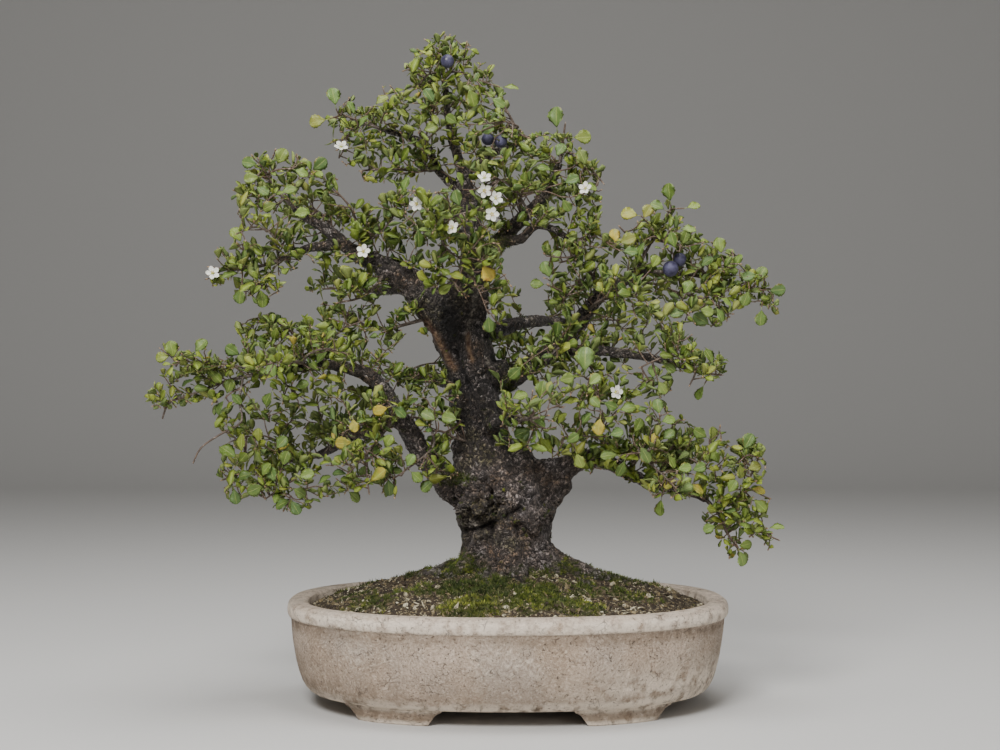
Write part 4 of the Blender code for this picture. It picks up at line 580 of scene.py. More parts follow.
class Graph:
    """A node tree while it is being written."""

    def __init__(self, tree: NodeTree) -> None:
        """Starts on a tree."""
        self.tree = tree

    def feed(self, socket: Socket, value: Any) -> None:
        """Links an input to an output or a node's first output, or sets its value.

        Args:
            socket: the input.
            value: what feeds it.
        """
        if isinstance(value, Node):
            value = value.outputs[0]
        if isinstance(value, Socket):
            self.tree.links.new(value, socket)
        else:
            socket.default_value = value

    def add(self, kind: str, inputs: dict[str | int, Any] | None = None, **settings: Any) -> Node:
        """Adds a node.

        Args:
            kind: the node's type, such as "ShaderNodeMath".
            inputs: what feeds each input, by the input's name or number.
            settings: the node's own properties.

        Returns:
            The new node.
        """
        node = self.tree.nodes.new(kind)
        for name, value in settings.items():
            setattr(node, name, value)
        for key, value in (inputs or {}).items():
            self.feed(node.inputs[key], value)
        return node

    def math(self, operation: str, *values: Any, clamp: bool = False) -> Socket:
        """The result of a sum on one to three numbers.

        Args:
            operation: the sum's name.
            clamp: whether the result is kept between 0 and 1.
            values: the numbers.

        Returns:
            The result.
        """
        node = self.add("ShaderNodeMath", dict(enumerate(values)), operation=operation)
        node.use_clamp = clamp
        return node.outputs[0]

    def times(self, first: Any, second: Any, clamp: bool = False) -> Socket:
        """One number times another."""
        return self.math("MULTIPLY", first, second, clamp=clamp)

    def plus(self, first: Any, second: Any, clamp: bool = False) -> Socket:
        """One number and another."""
        return self.math("ADD", first, second, clamp=clamp)

    def minus(self, first: Any, second: Any) -> Socket:
        """One number less another."""
        return self.math("SUBTRACT", first, second)

    def most(self, first: Any, second: Any) -> Socket:
        """The greater of two numbers."""
        return self.math("MAXIMUM", first, second)

    def vector(self, operation: str, *values: Any) -> Socket:
        """The vector that a sum on vectors gives."""
        node = self.add("ShaderNodeVectorMath", dict(enumerate(values)), operation=operation)
        return node.outputs[0]

    def scaled(self, vector: Any, by: float) -> Socket:
        """A vector made longer or shorter."""
        node = self.add("ShaderNodeVectorMath", {0: vector, "Scale": by}, operation="SCALE")
        return node.outputs[0]

    def spread(self, value: Any, low: Any, high: Any, out_low: Any = 0.0, out_high: Any = 1.0) -> Socket:
        """A number spread from one range to another, kept inside the second."""
        inputs = {0: value, 1: low, 2: high, 3: out_low, 4: out_high}
        return self.add("ShaderNodeMapRange", inputs).outputs[0]

    def mix(self, share: Any, first: Any, second: Any, blend: str = "MIX") -> Socket:
        """Two colours mixed: share 0 is the first, 1 the second.

        Args:
            share: how much there is of the second.
            first: the first colour.
            second: the second colour.
            blend: how they are mixed.

        Returns:
            The mixed colour.
        """
        inputs = {0: share, 6: opaque(first), 7: opaque(second)}
        node = self.add("ShaderNodeMix", inputs, data_type="RGBA", blend_type=blend)
        return node.outputs[2]

    def noise(self, vector: Any, scale: Any, detail: float = 2.0, roughness: float = 0.5) -> Node:
        """A noise texture."""
        inputs = {"Vector": vector, "Scale": scale, "Detail": detail, "Roughness": roughness}
        return self.add("ShaderNodeTexNoise", inputs)

    def cells(self, vector: Any, scale: Any, feature: str = "F1", randomness: float = 1.0) -> Node:
        """A Voronoi texture."""
        inputs = {"Vector": vector, "Scale": scale, "Randomness": randomness}
        return self.add("ShaderNodeTexVoronoi", inputs, feature=feature)

    def attribute(self, name: str) -> Socket:
        """The number that an attribute of the mesh holds."""
        node = self.add("ShaderNodeAttribute", attribute_name=name, attribute_type="GEOMETRY")
        return node.outputs["Fac"]

    def named(self, name: Any, kind: str = "FLOAT") -> Socket:
        """The value of an attribute, in Geometry Nodes."""
        node = self.add("GeometryNodeInputNamedAttribute", {"Name": name}, data_type=kind)
        return node.outputs["Attribute"]

    def collection(self, group: Any) -> Node:
        """The objects of a collection as instances, in Geometry Nodes."""
        inputs = {"Collection": group, "Separate Children": True, "Reset Children": True}
        return self.add("GeometryNodeCollectionInfo", inputs)

    def place(self, points: Any, shapes: Any, pick: Any, turn: Any, size: Any) -> Node:
        """One of the shapes at each point, turned and sized, in Geometry Nodes."""
        inputs = {"Points": points, "Instance": shapes, "Pick Instance": True, "Instance Index": pick}
        return self.add("GeometryNodeInstanceOnPoints", {**inputs, "Rotation": turn, "Scale": size})

    def realized(self, instances: Any, material: Any) -> Node:
        """Instances as a real mesh of one material, in Geometry Nodes."""
        real = self.add("GeometryNodeRealizeInstances", {"Geometry": instances})
        return self.add("GeometryNodeSetMaterial", {"Geometry": real, "Material": material})

    def draw(self, low: float, high: float, seed: int) -> Socket:
        """A random number for each point or instance, in Geometry Nodes."""
        inputs = {2: low, 3: high, "Seed": seed}
        return self.add("FunctionNodeRandomValue", inputs, data_type="FLOAT").outputs[1]

    def group(self, tree: NodeTree, inputs: dict[str, Any]) -> Node:
        """Places a node group.

        Args:
            tree: the group.
            inputs: what feeds its inputs, by name.

        Returns:
            The group's node.
        """
        node = self.add("ShaderNodeGroup", node_tree=tree)
        for name, value in inputs.items():
            self.feed(node.inputs[name], value)
        return node


def opaque(colour: Any) -> Any:
    """A colour of three numbers with its alpha, and anything else as it is."""
    return (*colour, 1.0) if isinstance(colour, tuple) else colour


def group_tree(
    name: str, kind: str, inputs: dict[str, str], outputs: dict[str, str]
) -> tuple[Graph, Node, Node]:
    """Starts a node group.

    Args:
        name: the group's name.
        kind: "ShaderNodeTree" or "GeometryNodeTree".
        inputs: the type of each input's socket, by name.
        outputs: the type of each output's socket, by name.

    Returns:
        The graph, and its input and output nodes.
    """
    tree = bpy.data.node_groups.new(name, kind)
    for socket, kind_of in inputs.items():
        tree.interface.new_socket(socket, in_out="INPUT", socket_type=f"NodeSocket{kind_of}")
    for socket, kind_of in outputs.items():
        tree.interface.new_socket(socket, in_out="OUTPUT", socket_type=f"NodeSocket{kind_of}")
    graph = Graph(tree)
    return graph, graph.add("NodeGroupInput"), graph.add("NodeGroupOutput")


class Effects:
    """The shader node groups that several finishes share, built once."""

    def __init__(self) -> None:
        """Builds the groups."""
        self.speckle = self._speckle()
        self.warp = self._warp()

    @staticmethod
    def _speckle() -> NodeTree:
        """Spots with a soft edge, where a noise rises over a level.

        Returns:
            The group.
        """
        inputs = {"Vector": "Vector", "Scale": "Float", "Detail": "Float"}
        inputs |= {"Level": "Float", "Softness": "Float"}
        graph, start, end = group_tree("speckle", "ShaderNodeTree", inputs, {"Mask": "Float"})
        out = start.outputs
        spots = graph.noise(out["Vector"], out["Scale"], out["Detail"], 0.6)
        low = graph.math("SUBTRACT", out["Level"], out["Softness"])
        high = graph.math("ADD", out["Level"], out["Softness"])
        graph.feed(end.inputs["Mask"], graph.spread(spots, low, high))
        return graph.tree

    @staticmethod
    def _warp() -> NodeTree:
        """A place pushed about by a noise, so that a pattern on it loses its straight lines.

        Returns:
            The group.
        """
        inputs = {"Vector": "Vector", "Scale": "Float", "Reach": "Float"}
        graph, start, end = group_tree("warp", "ShaderNodeTree", inputs, {"Vector": "Vector"})
        out = start.outputs
        shift = graph.noise(out["Vector"], out["Scale"]).outputs["Color"]
        shift = graph.vector("SUBTRACT", shift, (0.5, 0.5, 0.5))
        push = graph.scaled(shift, out["Reach"])
        graph.feed(end.inputs["Vector"], graph.vector("ADD", out["Vector"], push))
        return graph.tree


class Finish:
    """A material while it is being made: its shader, its colour and its object coordinates."""

    colour: Socket | Colour

    def __init__(self, name: str, effects: Effects) -> None:
        """Starts a material with a Principled shader.

        Args:
            name: its name.
            effects: the shared node groups.
        """
        self.material = bpy.data.materials.new(name)
        self.material.use_nodes = True
        self.effects = effects
        self.graph = Graph(self.material.node_tree)
        self.shader = self.material.node_tree.nodes["Principled BSDF"]
        self.place = self.graph.add("ShaderNodeTexCoord").outputs["Object"]

    def speckle(
        self, scale: float, level: float, softness: float = 0.05, detail: float = 3.0, at: Any = None
    ) -> Socket:
        """A mask of spots.

        Args:
            scale: spots in a metre, about.
            level: how high the noise must rise, so how rare the spots are.
            softness: how gently a spot ends.
            detail: how ragged it is.
            at: where the pattern is read, if not at the object coordinates.

        Returns:
            The mask.
        """
        inputs = {"Scale": scale, "Detail": detail, "Level": level, "Softness": softness}
        inputs["Vector"] = self.place if at is None else at
        return self.graph.group(self.effects.speckle, inputs).outputs["Mask"]

    def warped(self, scale: float, reach: float) -> Socket:
        """The object coordinates, pushed about."""
        inputs = {"Vector": self.place, "Scale": scale, "Reach": reach}
        return self.graph.group(self.effects.warp, inputs).outputs["Vector"]

    def paint(self, share: Any, colour: Any) -> None:
        """Lays a colour over what is there, by a share from 0 to 1."""
        self.colour = self.graph.mix(share, self.colour, colour)

    def bump(self, height: Any, distance: float, strength: float = 1.0) -> None:
        """Gives the surface a relief from a height."""
        inputs = {"Height": height, "Distance": distance, "Strength": strength}
        self.graph.feed(self.shader.inputs["Normal"], self.graph.add("ShaderNodeBump", inputs))

    def set(self, **values: Any) -> Material:
        """Feeds the shader its colour and the named sockets.

        Args:
            values: what feeds each socket, by its name in lower case.

        Returns:
            The material.
        """
        self.graph.feed(self.shader.inputs["Base Color"], self.colour)
        for name, value in values.items():
            self.graph.feed(self.shader.inputs[name.capitalize()], value)
        return self.material


@dataclass(frozen=True)
class BarkFinish:
    """Old blackthorn bark: dark in its cracks, grey-violet on its flakes, brown in places, with painted
    highlights on the flakes' upper sides and painted shade in the furrows, the hollow and under the crown.
    """

    dark: Colour = (0.082, 0.066, 0.060)
    flake: Colour = (0.680, 0.590, 0.565)
    brown: Colour = (0.440, 0.300, 0.200)
    olive: Colour = (0.340, 0.305, 0.140)
    crack_and_shade: Colour = (0.007, 0.005, 0.004)
    painted_glint: Colour = (0.40, 0.36, 0.33)
    lichen: Colour = (0.34, 0.30, 0.25)
    moss: Colour = (0.085, 0.095, 0.018)
    hollow_shade: Colour = (0.007, 0.005, 0.004)
    raw: Colour = (0.30, 0.19, 0.105)
    rust: Colour = (0.10, 0.045, 0.026)
    relief: float = 0.0034
    flakes: float = 460.0
    curl: float = 0.0011

    def build(self, effects: Effects) -> Material:
        """Makes the material.

        Args:
            effects: the shared node groups.

        Returns:
            The material.
        """
        finish = Finish("bark", effects)
        graph = finish.graph
        at = graph.vector("MULTIPLY", finish.warped(300.0, 0.007), (1.0, 1.0, 0.55))
        cells = graph.cells(at, self.flakes)
        own = graph.add("ShaderNodeSeparateColor", {0: cells.outputs["Color"]}).outputs[0]
        inside = graph.cells(at, self.flakes, "DISTANCE_TO_EDGE").outputs["Distance"]
        aside = graph.vector("SUBTRACT", at, cells.outputs["Position"])
        rise = graph.add("ShaderNodeSeparateXYZ", {0: aside}).outputs[2]
        grain = graph.noise(at, 620.0, 5.0, 0.75)
        lit = graph.spread(own, 0.1, 1.0, 0.15, 1.0)
        # Painted highlight: each flake is lighter on its upper side and darker on its lower side, as if lit
        # from above.
        lit = graph.times(lit, graph.spread(rise, -self.curl, self.curl, 0.15, 1.5))
        lit = graph.times(lit, graph.spread(grain, 0.38, 0.62, 0.15, 1.3))
        brown = graph.mix(finish.speckle(45.0, 0.50, 0.12), self.flake, self.brown)
        olive = graph.most(graph.attribute("olive"), finish.speckle(25.0, 0.60, 0.06))
        flake = graph.mix(graph.times(olive, 0.8), brown, self.olive)
        # Painted shade: under the crown the gaps between the flakes go almost black and the flakes darken;
        # elsewhere the flakes are lightened.
        dark = graph.mix(graph.attribute("shade"), self.dark, self.crack_and_shade)
        lit = graph.math("POWER", lit, 1.5)
        lit = graph.times(lit, graph.spread(graph.attribute("shade"), 0.0, 1.0, 1.75, 0.62))
        finish.colour = graph.mix(graph.math("MINIMUM", lit, 1.0), dark, flake)
        # Dark cracks between the flakes, with painted shadow along the flakes' edges.
        finish.paint(graph.spread(inside, 0.0, 0.08, 0.75, 0.0), self.crack_and_shade)
        finish.paint(graph.times(finish.speckle(150.0, 0.58, 0.08), 0.7), self.dark)
        # Painted shade in the deeper furrows.
        finish.paint(graph.spread(graph.attribute("relief"), -1.0, -0.1, 0.9, 0.0), self.crack_and_shade)
        # Painted highlight: sparse glints on the upper sides of the brightest flakes.
        glint = graph.times(graph.spread(own, 0.90, 0.93), graph.spread(rise, 0.0, self.curl))
        finish.paint(graph.times(glint, 0.85), self.painted_glint)
        lichen = graph.times(graph.attribute("lichen"), graph.spread(lit, 0.0, 0.35))
        finish.paint(lichen, self.lichen)
        moss = graph.times(graph.attribute("moss"), finish.speckle(160.0, 0.50, 0.12))
        finish.paint(moss, self.moss)
        # Painted shade: the hollow, the knot hole and the creases are painted almost black.
        finish.paint(graph.times(graph.attribute("hollows"), 0.93), self.hollow_shade)
        raw = graph.mix(finish.speckle(240.0, 0.5, 0.12), self.raw, self.rust)
        finish.paint(graph.attribute("raw"), raw)
        height = graph.times(graph.spread(inside, 0.0, 0.22), graph.spread(own, 0.0, 1.0, 0.3, 1.0))
        height = graph.plus(height, graph.times(rise, 180.0))
        finish.bump(graph.plus(height, graph.times(grain, 0.7)), self.relief)
        return finish.set(roughness=graph.spread(grain, 0.3, 0.7, 0.7, 0.42))


@dataclass(frozen=True)
class Layer:
    """A colour laid over a finish: where an attribute of the mesh rises, or else in spots."""

    colour: Colour
    attribute: str = ""
    low: float = 0.0
    high: float = 1.0
    scale: float = 0.0
    level: float = 0.5
    softness: float = 0.1
    strength: float = 1.0

    def mask(self, finish: Finish) -> Socket:
        """How much of the layer shows.

        Args:
            finish: the material being made.

        Returns:
            The share, from 0 to 1.
        """
        if self.attribute:
            value = finish.graph.attribute(self.attribute)
            share = finish.graph.spread(value, self.low, self.high)
        else:
            share = finish.speckle(self.scale, self.level, self.softness)
        return share if self.strength == 1.0 else finish.graph.times(share, self.strength)


@dataclass(frozen=True)
class LayeredFinish:
    """Colours laid one over another on a surface with an even grain."""

    name: str
    base: Colour
    layers: tuple[Layer, ...]
    roughness: float = 0.9
    relief: float = 0.0
    grain: float = 900.0
    grain_detail: float = 2.0
    grain_roughness: float = 0.5

    def build(self, effects: Effects) -> Material:
        """Makes the material.

        Args:
            effects: the shared node groups.

        Returns:
            The material.
        """
        finish = Finish(self.name, effects)
        finish.colour = self.base
        for layer in self.layers:
            finish.paint(layer.mask(finish), layer.colour)
        if self.relief:
            grain = finish.graph.noise(finish.place, self.grain, self.grain_detail, self.grain_roughness)
            finish.bump(grain, self.relief)
        return finish.set(roughness=self.roughness)


@dataclass(frozen=True)
class TwigFinish(LayeredFinish):
    """Twig bark: red-brown where it is young, grey where it is old, tan on the buds."""

    name: str = "twig"
    base: Colour = (0.160, 0.092, 0.055)
    layers: tuple[Layer, ...] = (
        Layer((0.130, 0.105, 0.088), "age", 0.0, 1.0),
        Layer((0.42, 0.27, 0.15), "age", 1.0, 2.0),
        Layer((0.38, 0.32, 0.26), scale=700.0, level=0.6, softness=0.05),
        Layer((0.0, 0.0, 0.0), scale=260.0, softness=0.2, strength=0.6),
    )
    roughness: float = 0.75
    relief: float = 0.0004
    grain_detail: float = 3.0


@dataclass(frozen=True)
class LeafFinish:
    """A leaf's face, which takes its tint and its autumn colour from its attributes."""

    name: str
    deep: Colour
    fresh: Colour
    rib: Colour
    autumn: Colour = (0.56, 0.42, 0.05)
    blush: Colour = (0.35, 0.13, 0.04)
    yellow: Colour = (0.42, 0.40, 0.06)
    blue: Colour = (0.150, 0.275, 0.075)
    shadow: Colour = (0.050, 0.115, 0.034)
    roughness: float = 0.38
    veins: float = 7.0
    vein_slope: float = 1.1
    rib_width: float = 0.016

    def build(self, effects: Effects) -> Material:
        """Makes the material.

        Args:
            effects: the shared node groups.

        Returns:
            The material.
        """
        finish = Finish(self.name, effects)
        graph = finish.graph
        layout = graph.add("ShaderNodeUVMap", uv_map="leaf").outputs["UV"]
        axes = graph.add("ShaderNodeSeparateXYZ", {0: layout})
        aside = graph.math("ABSOLUTE", graph.minus(axes.outputs[0], 0.5))
        along = axes.outputs[1]
        rib = graph.spread(aside, self.rib_width, self.rib_width * 2.2, 1.0, 0.0)
        climb = graph.minus(along, graph.times(aside, self.vein_slope))
        wave = graph.math("SINE", graph.times(climb, self.veins * 2 * math.pi))
        vein = graph.spread(wave, 0.75, 1.0)
        tint = graph.attribute("tint")
        mottle = graph.times(graph.minus(graph.noise(finish.place, 260.0, 3.0), 0.5), 0.7)
        finish.colour = graph.mix(graph.plus(tint, mottle, clamp=True), self.deep, self.fresh)
        hue = graph.add("ShaderNodeTexWhiteNoise", {"W": tint}, noise_dimensions="1D").outputs["Value"]
        finish.paint(graph.spread(hue, 0.68, 1.0, 0.0, 0.5), self.yellow)
        blue = graph.most(graph.spread(hue, 0.0, 0.3, 0.6, 0.0), graph.attribute("large"))
        finish.paint(blue, graph.mix(tint, self.shadow, self.blue))
        finish.paint(graph.times(vein, 0.18), self.rib)
        turned = graph.times(graph.attribute("autumn"), finish.speckle(120.0, 0.40, 0.14))
        finish.paint(turned, self.autumn)
        burnt = graph.times(graph.attribute("autumn"), finish.speckle(170.0, 0.60, 0.05))
        finish.paint(graph.times(burnt, 0.6), self.blush)
        edge = graph.times(graph.spread(aside, 0.36, 0.5), finish.speckle(90.0, 0.60, 0.06))
        finish.paint(graph.times(edge, 0.7), self.blush)
        pale = graph.most(rib, graph.spread(aside, 0.42, 0.5))
        finish.paint(graph.times(pale, 0.42), self.rib)
        height = graph.minus(1.0, graph.most(rib, graph.times(vein, 0.5)))
        finish.bump(height, 0.0003, 0.7)
        grain = graph.noise(finish.place, 500.0)
        rough = graph.spread(grain, 0.3, 0.7, self.roughness, self.roughness + 0.2)
        return finish.set(roughness=rough)


@dataclass(frozen=True)
class PetalFinish(LayeredFinish):
    """A flower: its attribute part is 0 on a petal, 1 in the middle, 2 on an anther, 3 on green."""

    name: str = "petal"
    base: Colour = (0.86, 0.85, 0.80)
    layers: tuple[Layer, ...] = (
        Layer((0.72, 0.72, 0.62), scale=900.0, softness=0.2),
        Layer((0.42, 0.46, 0.10), "part", 0.0, 1.0),
        Layer((0.70, 0.42, 0.08), "part", 1.0, 2.0),
        Layer((0.14, 0.20, 0.05), "part", 2.0, 3.0),
    )
    roughness: float = 0.6
    relief: float = 0.0002
    grain: float = 1500.0


@dataclass(frozen=True)
class SloeFinish:
    """A sloe: blue-black skin under a pale waxy bloom that is rubbed off in places."""

    skin: Colour = (0.022, 0.018, 0.045)
    wax: Colour = (0.105, 0.100, 0.185)
    stalk: Colour = (0.14, 0.16, 0.05)

    def build(self, effects: Effects) -> Material:
        """Makes the material. The attribute part is 0 on the fruit, 1 on the stalk.

        Args:
            effects: the shared node groups.

        Returns:
            The material.
        """
        finish = Finish("sloe", effects)
        graph = finish.graph
        at = finish.warped(150.0, 0.006)
        wax = graph.times(finish.speckle(140.0, 0.50, 0.20, at=at), 0.95)
        finish.colour = graph.mix(wax, self.skin, self.wax)
        finish.paint(graph.attribute("part"), self.stalk)
        finish.bump(graph.noise(finish.place, 800.0, 3.0), 0.0003)
        return finish.set(roughness=graph.spread(wax, 0.0, 1.0, 0.28, 0.8))


@dataclass(frozen=True)
class CeramicFinish:
    """Aged cream-grey stoneware: pitted, specked, stained brown and crusted with white, with a painted
    highlight on the rim and painted shade low on the wall and on the feet.
    """

    body: Colour = (0.63, 0.495, 0.390)
    warm: Colour = (0.50, 0.375, 0.275)
    grey: Colour = (0.50, 0.410, 0.335)
    speck: Colour = (0.060, 0.042, 0.030)
    crust: Colour = (0.95, 0.82, 0.67)
    stain_and_shade: Colour = (0.23, 0.165, 0.110)
    relief: float = 0.0019

    def build(self, effects: Effects) -> Material:
        """Makes the material. One attribute marks wear and a painted highlight on the rim, the other stains,
        darker creases and painted shade low on the wall, at its ends and on the feet.

        Args:
            effects: the shared node groups.

        Returns:
            The material.
        """
        finish = Finish("ceramic", effects)
        graph = finish.graph
        at = finish.warped(30.0, 0.02)
        finish.colour = graph.mix(finish.speckle(14.0, 0.5, 0.12, at=at), self.body, self.warm)
        finish.paint(finish.speckle(21.0, 0.55, 0.12), self.grey)
        fine = graph.noise(at, 560.0, 6.0, 0.75)
        finish.paint(graph.spread(fine, 0.32, 0.52, 0.85, 0.0), self.stain_and_shade)
        finish.paint(graph.spread(fine, 0.54, 0.70, 0.0, 0.85), self.crust)
        flat = graph.vector("MULTIPLY", finish.warped(120.0, 0.010), (1.0, 1.0, 1.7))
        lines = graph.cells(flat, 105.0, "DISTANCE_TO_EDGE").outputs["Distance"]
        lines = graph.times(graph.spread(lines, 0.0, 0.03, 0.55, 0.0), finish.speckle(80.0, 0.57, 0.05))
        finish.paint(lines, self.speck)
        pits = finish.speckle(520.0, 0.655, 0.02)
        finish.paint(graph.times(pits, 0.7), self.speck)
        crust = graph.times(finish.speckle(260.0, 0.54, 0.06), finish.speckle(18.0, 0.60, 0.06))
        crust = graph.times(crust, 0.55)
        finish.paint(crust, self.crust)
        # Stains, and painted shade low on the wall, at its ends and on the feet, in a mottled brown.
        grime_and_shade = graph.spread(graph.noise(finish.place, 130.0, 6.0, 0.75), 0.40, 0.60, 0.25, 0.85)
        finish.paint(graph.times(graph.attribute("stained"), grime_and_shade), self.stain_and_shade)
        # Wear, and a painted highlight on the rim's band and top edge, in the pale crust colour.
        worn = graph.times(graph.attribute("worn"), finish.speckle(110.0, 0.44, 0.10))
        finish.paint(graph.times(worn, 0.9), self.crust)
        finish.paint(graph.times(graph.most(lines, pits), 0.5), self.speck)
        height = graph.plus(fine, graph.times(crust, 0.5))
        height = graph.minus(height, graph.times(pits, 0.6))
        finish.bump(graph.minus(height, lines), self.relief)
        return finish.set(roughness=graph.spread(fine, 0.3, 0.7, 0.9, 0.7))


@dataclass(frozen=True)
class SoilFinish(LayeredFinish):
    """Bonsai soil: dark grit and humus, with paler grains and a film of moss."""

    name: str = "soil"
    base: Colour = (0.014, 0.010, 0.006)
    layers: tuple[Layer, ...] = (
        Layer((0.070, 0.046, 0.026), scale=240.0, softness=0.15),
        Layer((0.30, 0.25, 0.15), scale=420.0, level=0.59, softness=0.03),
        Layer((0.075, 0.095, 0.014), "moss", strength=0.85),
    )
    roughness: float = 0.95
    relief: float = 0.002
    grain: float = 500.0
    grain_detail: float = 6.0
    grain_roughness: float = 0.7


@dataclass(frozen=True)
class GritFinish(LayeredFinish):
    """Grains and litter, each of its own colour, from the attribute tint."""

    name: str = "grit"
    base: Colour = (0.035, 0.024, 0.015)
    layers: tuple[Layer, ...] = (
        Layer((0.25, 0.19, 0.095), "tint", 0.15, 0.6),
        Layer((0.62, 0.56, 0.40), "tint", 0.62, 0.85),
        Layer((0.035, 0.024, 0.015), scale=700.0, level=0.55, softness=0.1),
    )
    relief: float = 0.0006
    grain_detail: float = 4.0


@dataclass(frozen=True)
class MossFinish(LayeredFinish):
    """Moss, each tuft of its own green, from the attribute tint."""

    name: str = "moss"
    base: Colour = (0.028, 0.044, 0.007)
    layers: tuple[Layer, ...] = (
        Layer((0.130, 0.180, 0.016), "tint", 0.0, 0.6),
        Layer((0.33, 0.35, 0.045), "tint", 0.6, 1.0),
        Layer((0.028, 0.044, 0.007), scale=60.0, level=0.52, softness=0.12),
        Layer((0.028, 0.044, 0.007), scale=190.0, level=0.54, softness=0.08),
        Layer((0.34, 0.26, 0.14), scale=330.0, level=0.64, softness=0.03),
    )
    roughness: float = 0.8


def plain_finish(name: str, base: Colour, mottled: Colour, roughness: float) -> LayeredFinish:
    """The finish of something plain with a faint mottle: a drainage screen or the floor."""
    spots = (Layer(mottled, scale=180.0, softness=0.2),)
    return LayeredFinish(name, base, spots, roughness, relief=0.0001)


@dataclass(frozen=True)
class Finishes:
    """Every material of the object, in the order in which they are made."""

    bark: Material
    twig: Material
    leaf: Material
    leaf_under: Material
    petal: Material
    sloe: Material
    ceramic: Material
    soil: Material
    grit: Material
    moss: Material
    screen: Material
    floor: Material

    @classmethod
    def build(cls) -> "Finishes":
        """Makes them all.

        Returns:
            The materials.
        """
        effects = Effects()
        upper = LeafFinish("leaf", (0.040, 0.086, 0.006), (0.270, 0.350, 0.030), (0.46, 0.52, 0.15))
        under = LeafFinish(
            "leaf_under", (0.10, 0.15, 0.035), (0.28, 0.34, 0.09), (0.42, 0.47, 0.17), roughness=0.62
        )
        screen = plain_finish("screen", (0.02, 0.022, 0.02), (0.035, 0.035, 0.03), 0.6)
        floor = plain_finish("floor", (0.57, 0.56, 0.54), (0.58, 0.57, 0.55), 0.9)
        every = (
            BarkFinish(), TwigFinish(), upper, under, PetalFinish(), SloeFinish(), CeramicFinish(),
            SoilFinish(), GritFinish(), MossFinish(), screen, floor,
        )
        return cls(*(finish.build(effects) for finish in every))


def new_object(
    name: str,
    points: np.ndarray,
    faces: Sequence[Sequence[int]],
    materials: Sequence[Material] = (),
    edges: Sequence[Sequence[int]] = (),
) -> Piece:
    """A mesh object at the origin, from points of the frame in metres.

    Args:
        name: its name.
        points: its points, in metres.
        faces: its faces.
        materials: its materials.
        edges: its loose edges.

    Returns:
        The object.
    """
    mesh = bpy.data.meshes.new(name)
    mesh.from_pydata([tuple(p) for p in points], edges, faces)
    for material in materials:
        mesh.materials.append(material)
    obj = bpy.data.objects.new(name, mesh)
    bpy.context.scene.collection.objects.link(obj)
    return obj


def remove(obj: Piece) -> None:
    """Takes an object and its mesh out of the file.

    Args:
        obj: the object.
    """
    mesh = obj.data
    bpy.data.objects.remove(obj)
    bpy.data.meshes.remove(mesh)


def bake(obj: Piece) -> None:
    """Turns the object, as its modifiers make it, into a plain mesh.

    Args:
        obj: the object.
    """
    graph = bpy.context.evaluated_depsgraph_get()
    finished = bpy.data.meshes.new_from_object(obj.evaluated_get(graph))
    obj.modifiers.clear()
    former = obj.data
    obj.data = finished
    bpy.data.meshes.remove(former)
    finished.name = obj.name


def run_nodes(obj: Piece, tree: NodeTree, inputs: dict[str, Any]) -> None:
    """Runs a Geometry Nodes tree on an object and keeps its result as a plain mesh.

    Args:
        obj: the object, whose mesh is replaced.
        tree: the tree.
        inputs: the tree's inputs, by name.
    """
    modifier = obj.modifiers.new(tree.name, "NODES")
    modifier.node_group = tree
    for item in tree.interface.items_tree:
        if item.item_type == "SOCKET" and item.in_out == "INPUT" and item.name in inputs:
            modifier[item.identifier] = inputs[item.name]
    bake(obj)


def store(obj: Piece, name: str, values: Iterable[float], kind: str = "FLOAT") -> None:
    """Stores a value for each point of the object's mesh.

    Args:
        obj: the object.
        name: the attribute's name.
        values: a value for each point.
        kind: the attribute's type.
    """
    attribute = obj.data.attributes.new(name, kind, "POINT")
    flat = np.asarray(list(values), dtype=np.int32 if kind == "INT" else float)
    attribute.data.foreach_set("vector" if kind == "FLOAT_VECTOR" else "value", flat.ravel())


def turn_out(obj: Piece) -> None:
    """Merges doubles and turns every face outwards.

    Args:
        obj: the object.
    """
    work = bmesh.new()
    work.from_mesh(obj.data)
    bmesh.ops.remove_doubles(work, verts=work.verts[:], dist=1e-6)
    bmesh.ops.recalc_face_normals(work, faces=work.faces[:])
    work.to_mesh(obj.data)
    work.free()


def shade_smooth(obj: Piece, angle: float = 50.0) -> None:
    """Smooth shading, with edges sharper than the angle left crisp."""
    obj.data.shade_smooth()
    obj.data.set_sharp_from_angle(angle=math.radians(angle))


def finish_piece(obj: Piece, slot: Slot, *nodes: str) -> Piece:
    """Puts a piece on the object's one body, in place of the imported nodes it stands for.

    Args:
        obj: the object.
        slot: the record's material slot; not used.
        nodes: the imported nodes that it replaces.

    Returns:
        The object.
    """
    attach(obj, "root")
    if nodes:
        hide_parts(*nodes)
    triangles = sum(len(polygon.vertices) - 2 for polygon in obj.data.polygons)
    LOG.info("%s: %d triangles", obj.name, triangles)
    return obj


def smooth_route(route: Sequence[Point], step: float) -> np.ndarray:
    """A smooth curve through a route's points, with a point about every step.

    Args:
        route: the points that it passes.
        step: the distance between two points, in millimetres.

    Returns:
        The curve's points.
    """
    knots = np.array(route, dtype=float)
    knots = np.vstack([2 * knots[0] - knots[1], knots, 2 * knots[-1] - knots[-2]])
    curve = [knots[1]]
    for a, b, c, d in zip(knots, knots[1:], knots[2:], knots[3:]):
        pieces = max(1, round(float(np.linalg.norm((c - b)[:3])) / step))
        for i in range(1, pieces + 1):
            t = i / pieces
            curve.append(
                0.5 * (2 * b + (c - a) * t + (2 * a - 5 * b + 4 * c - d) * t**2
                       + (3 * b - a - 3 * c + d) * t**3)
            )
    return np.array(curve)


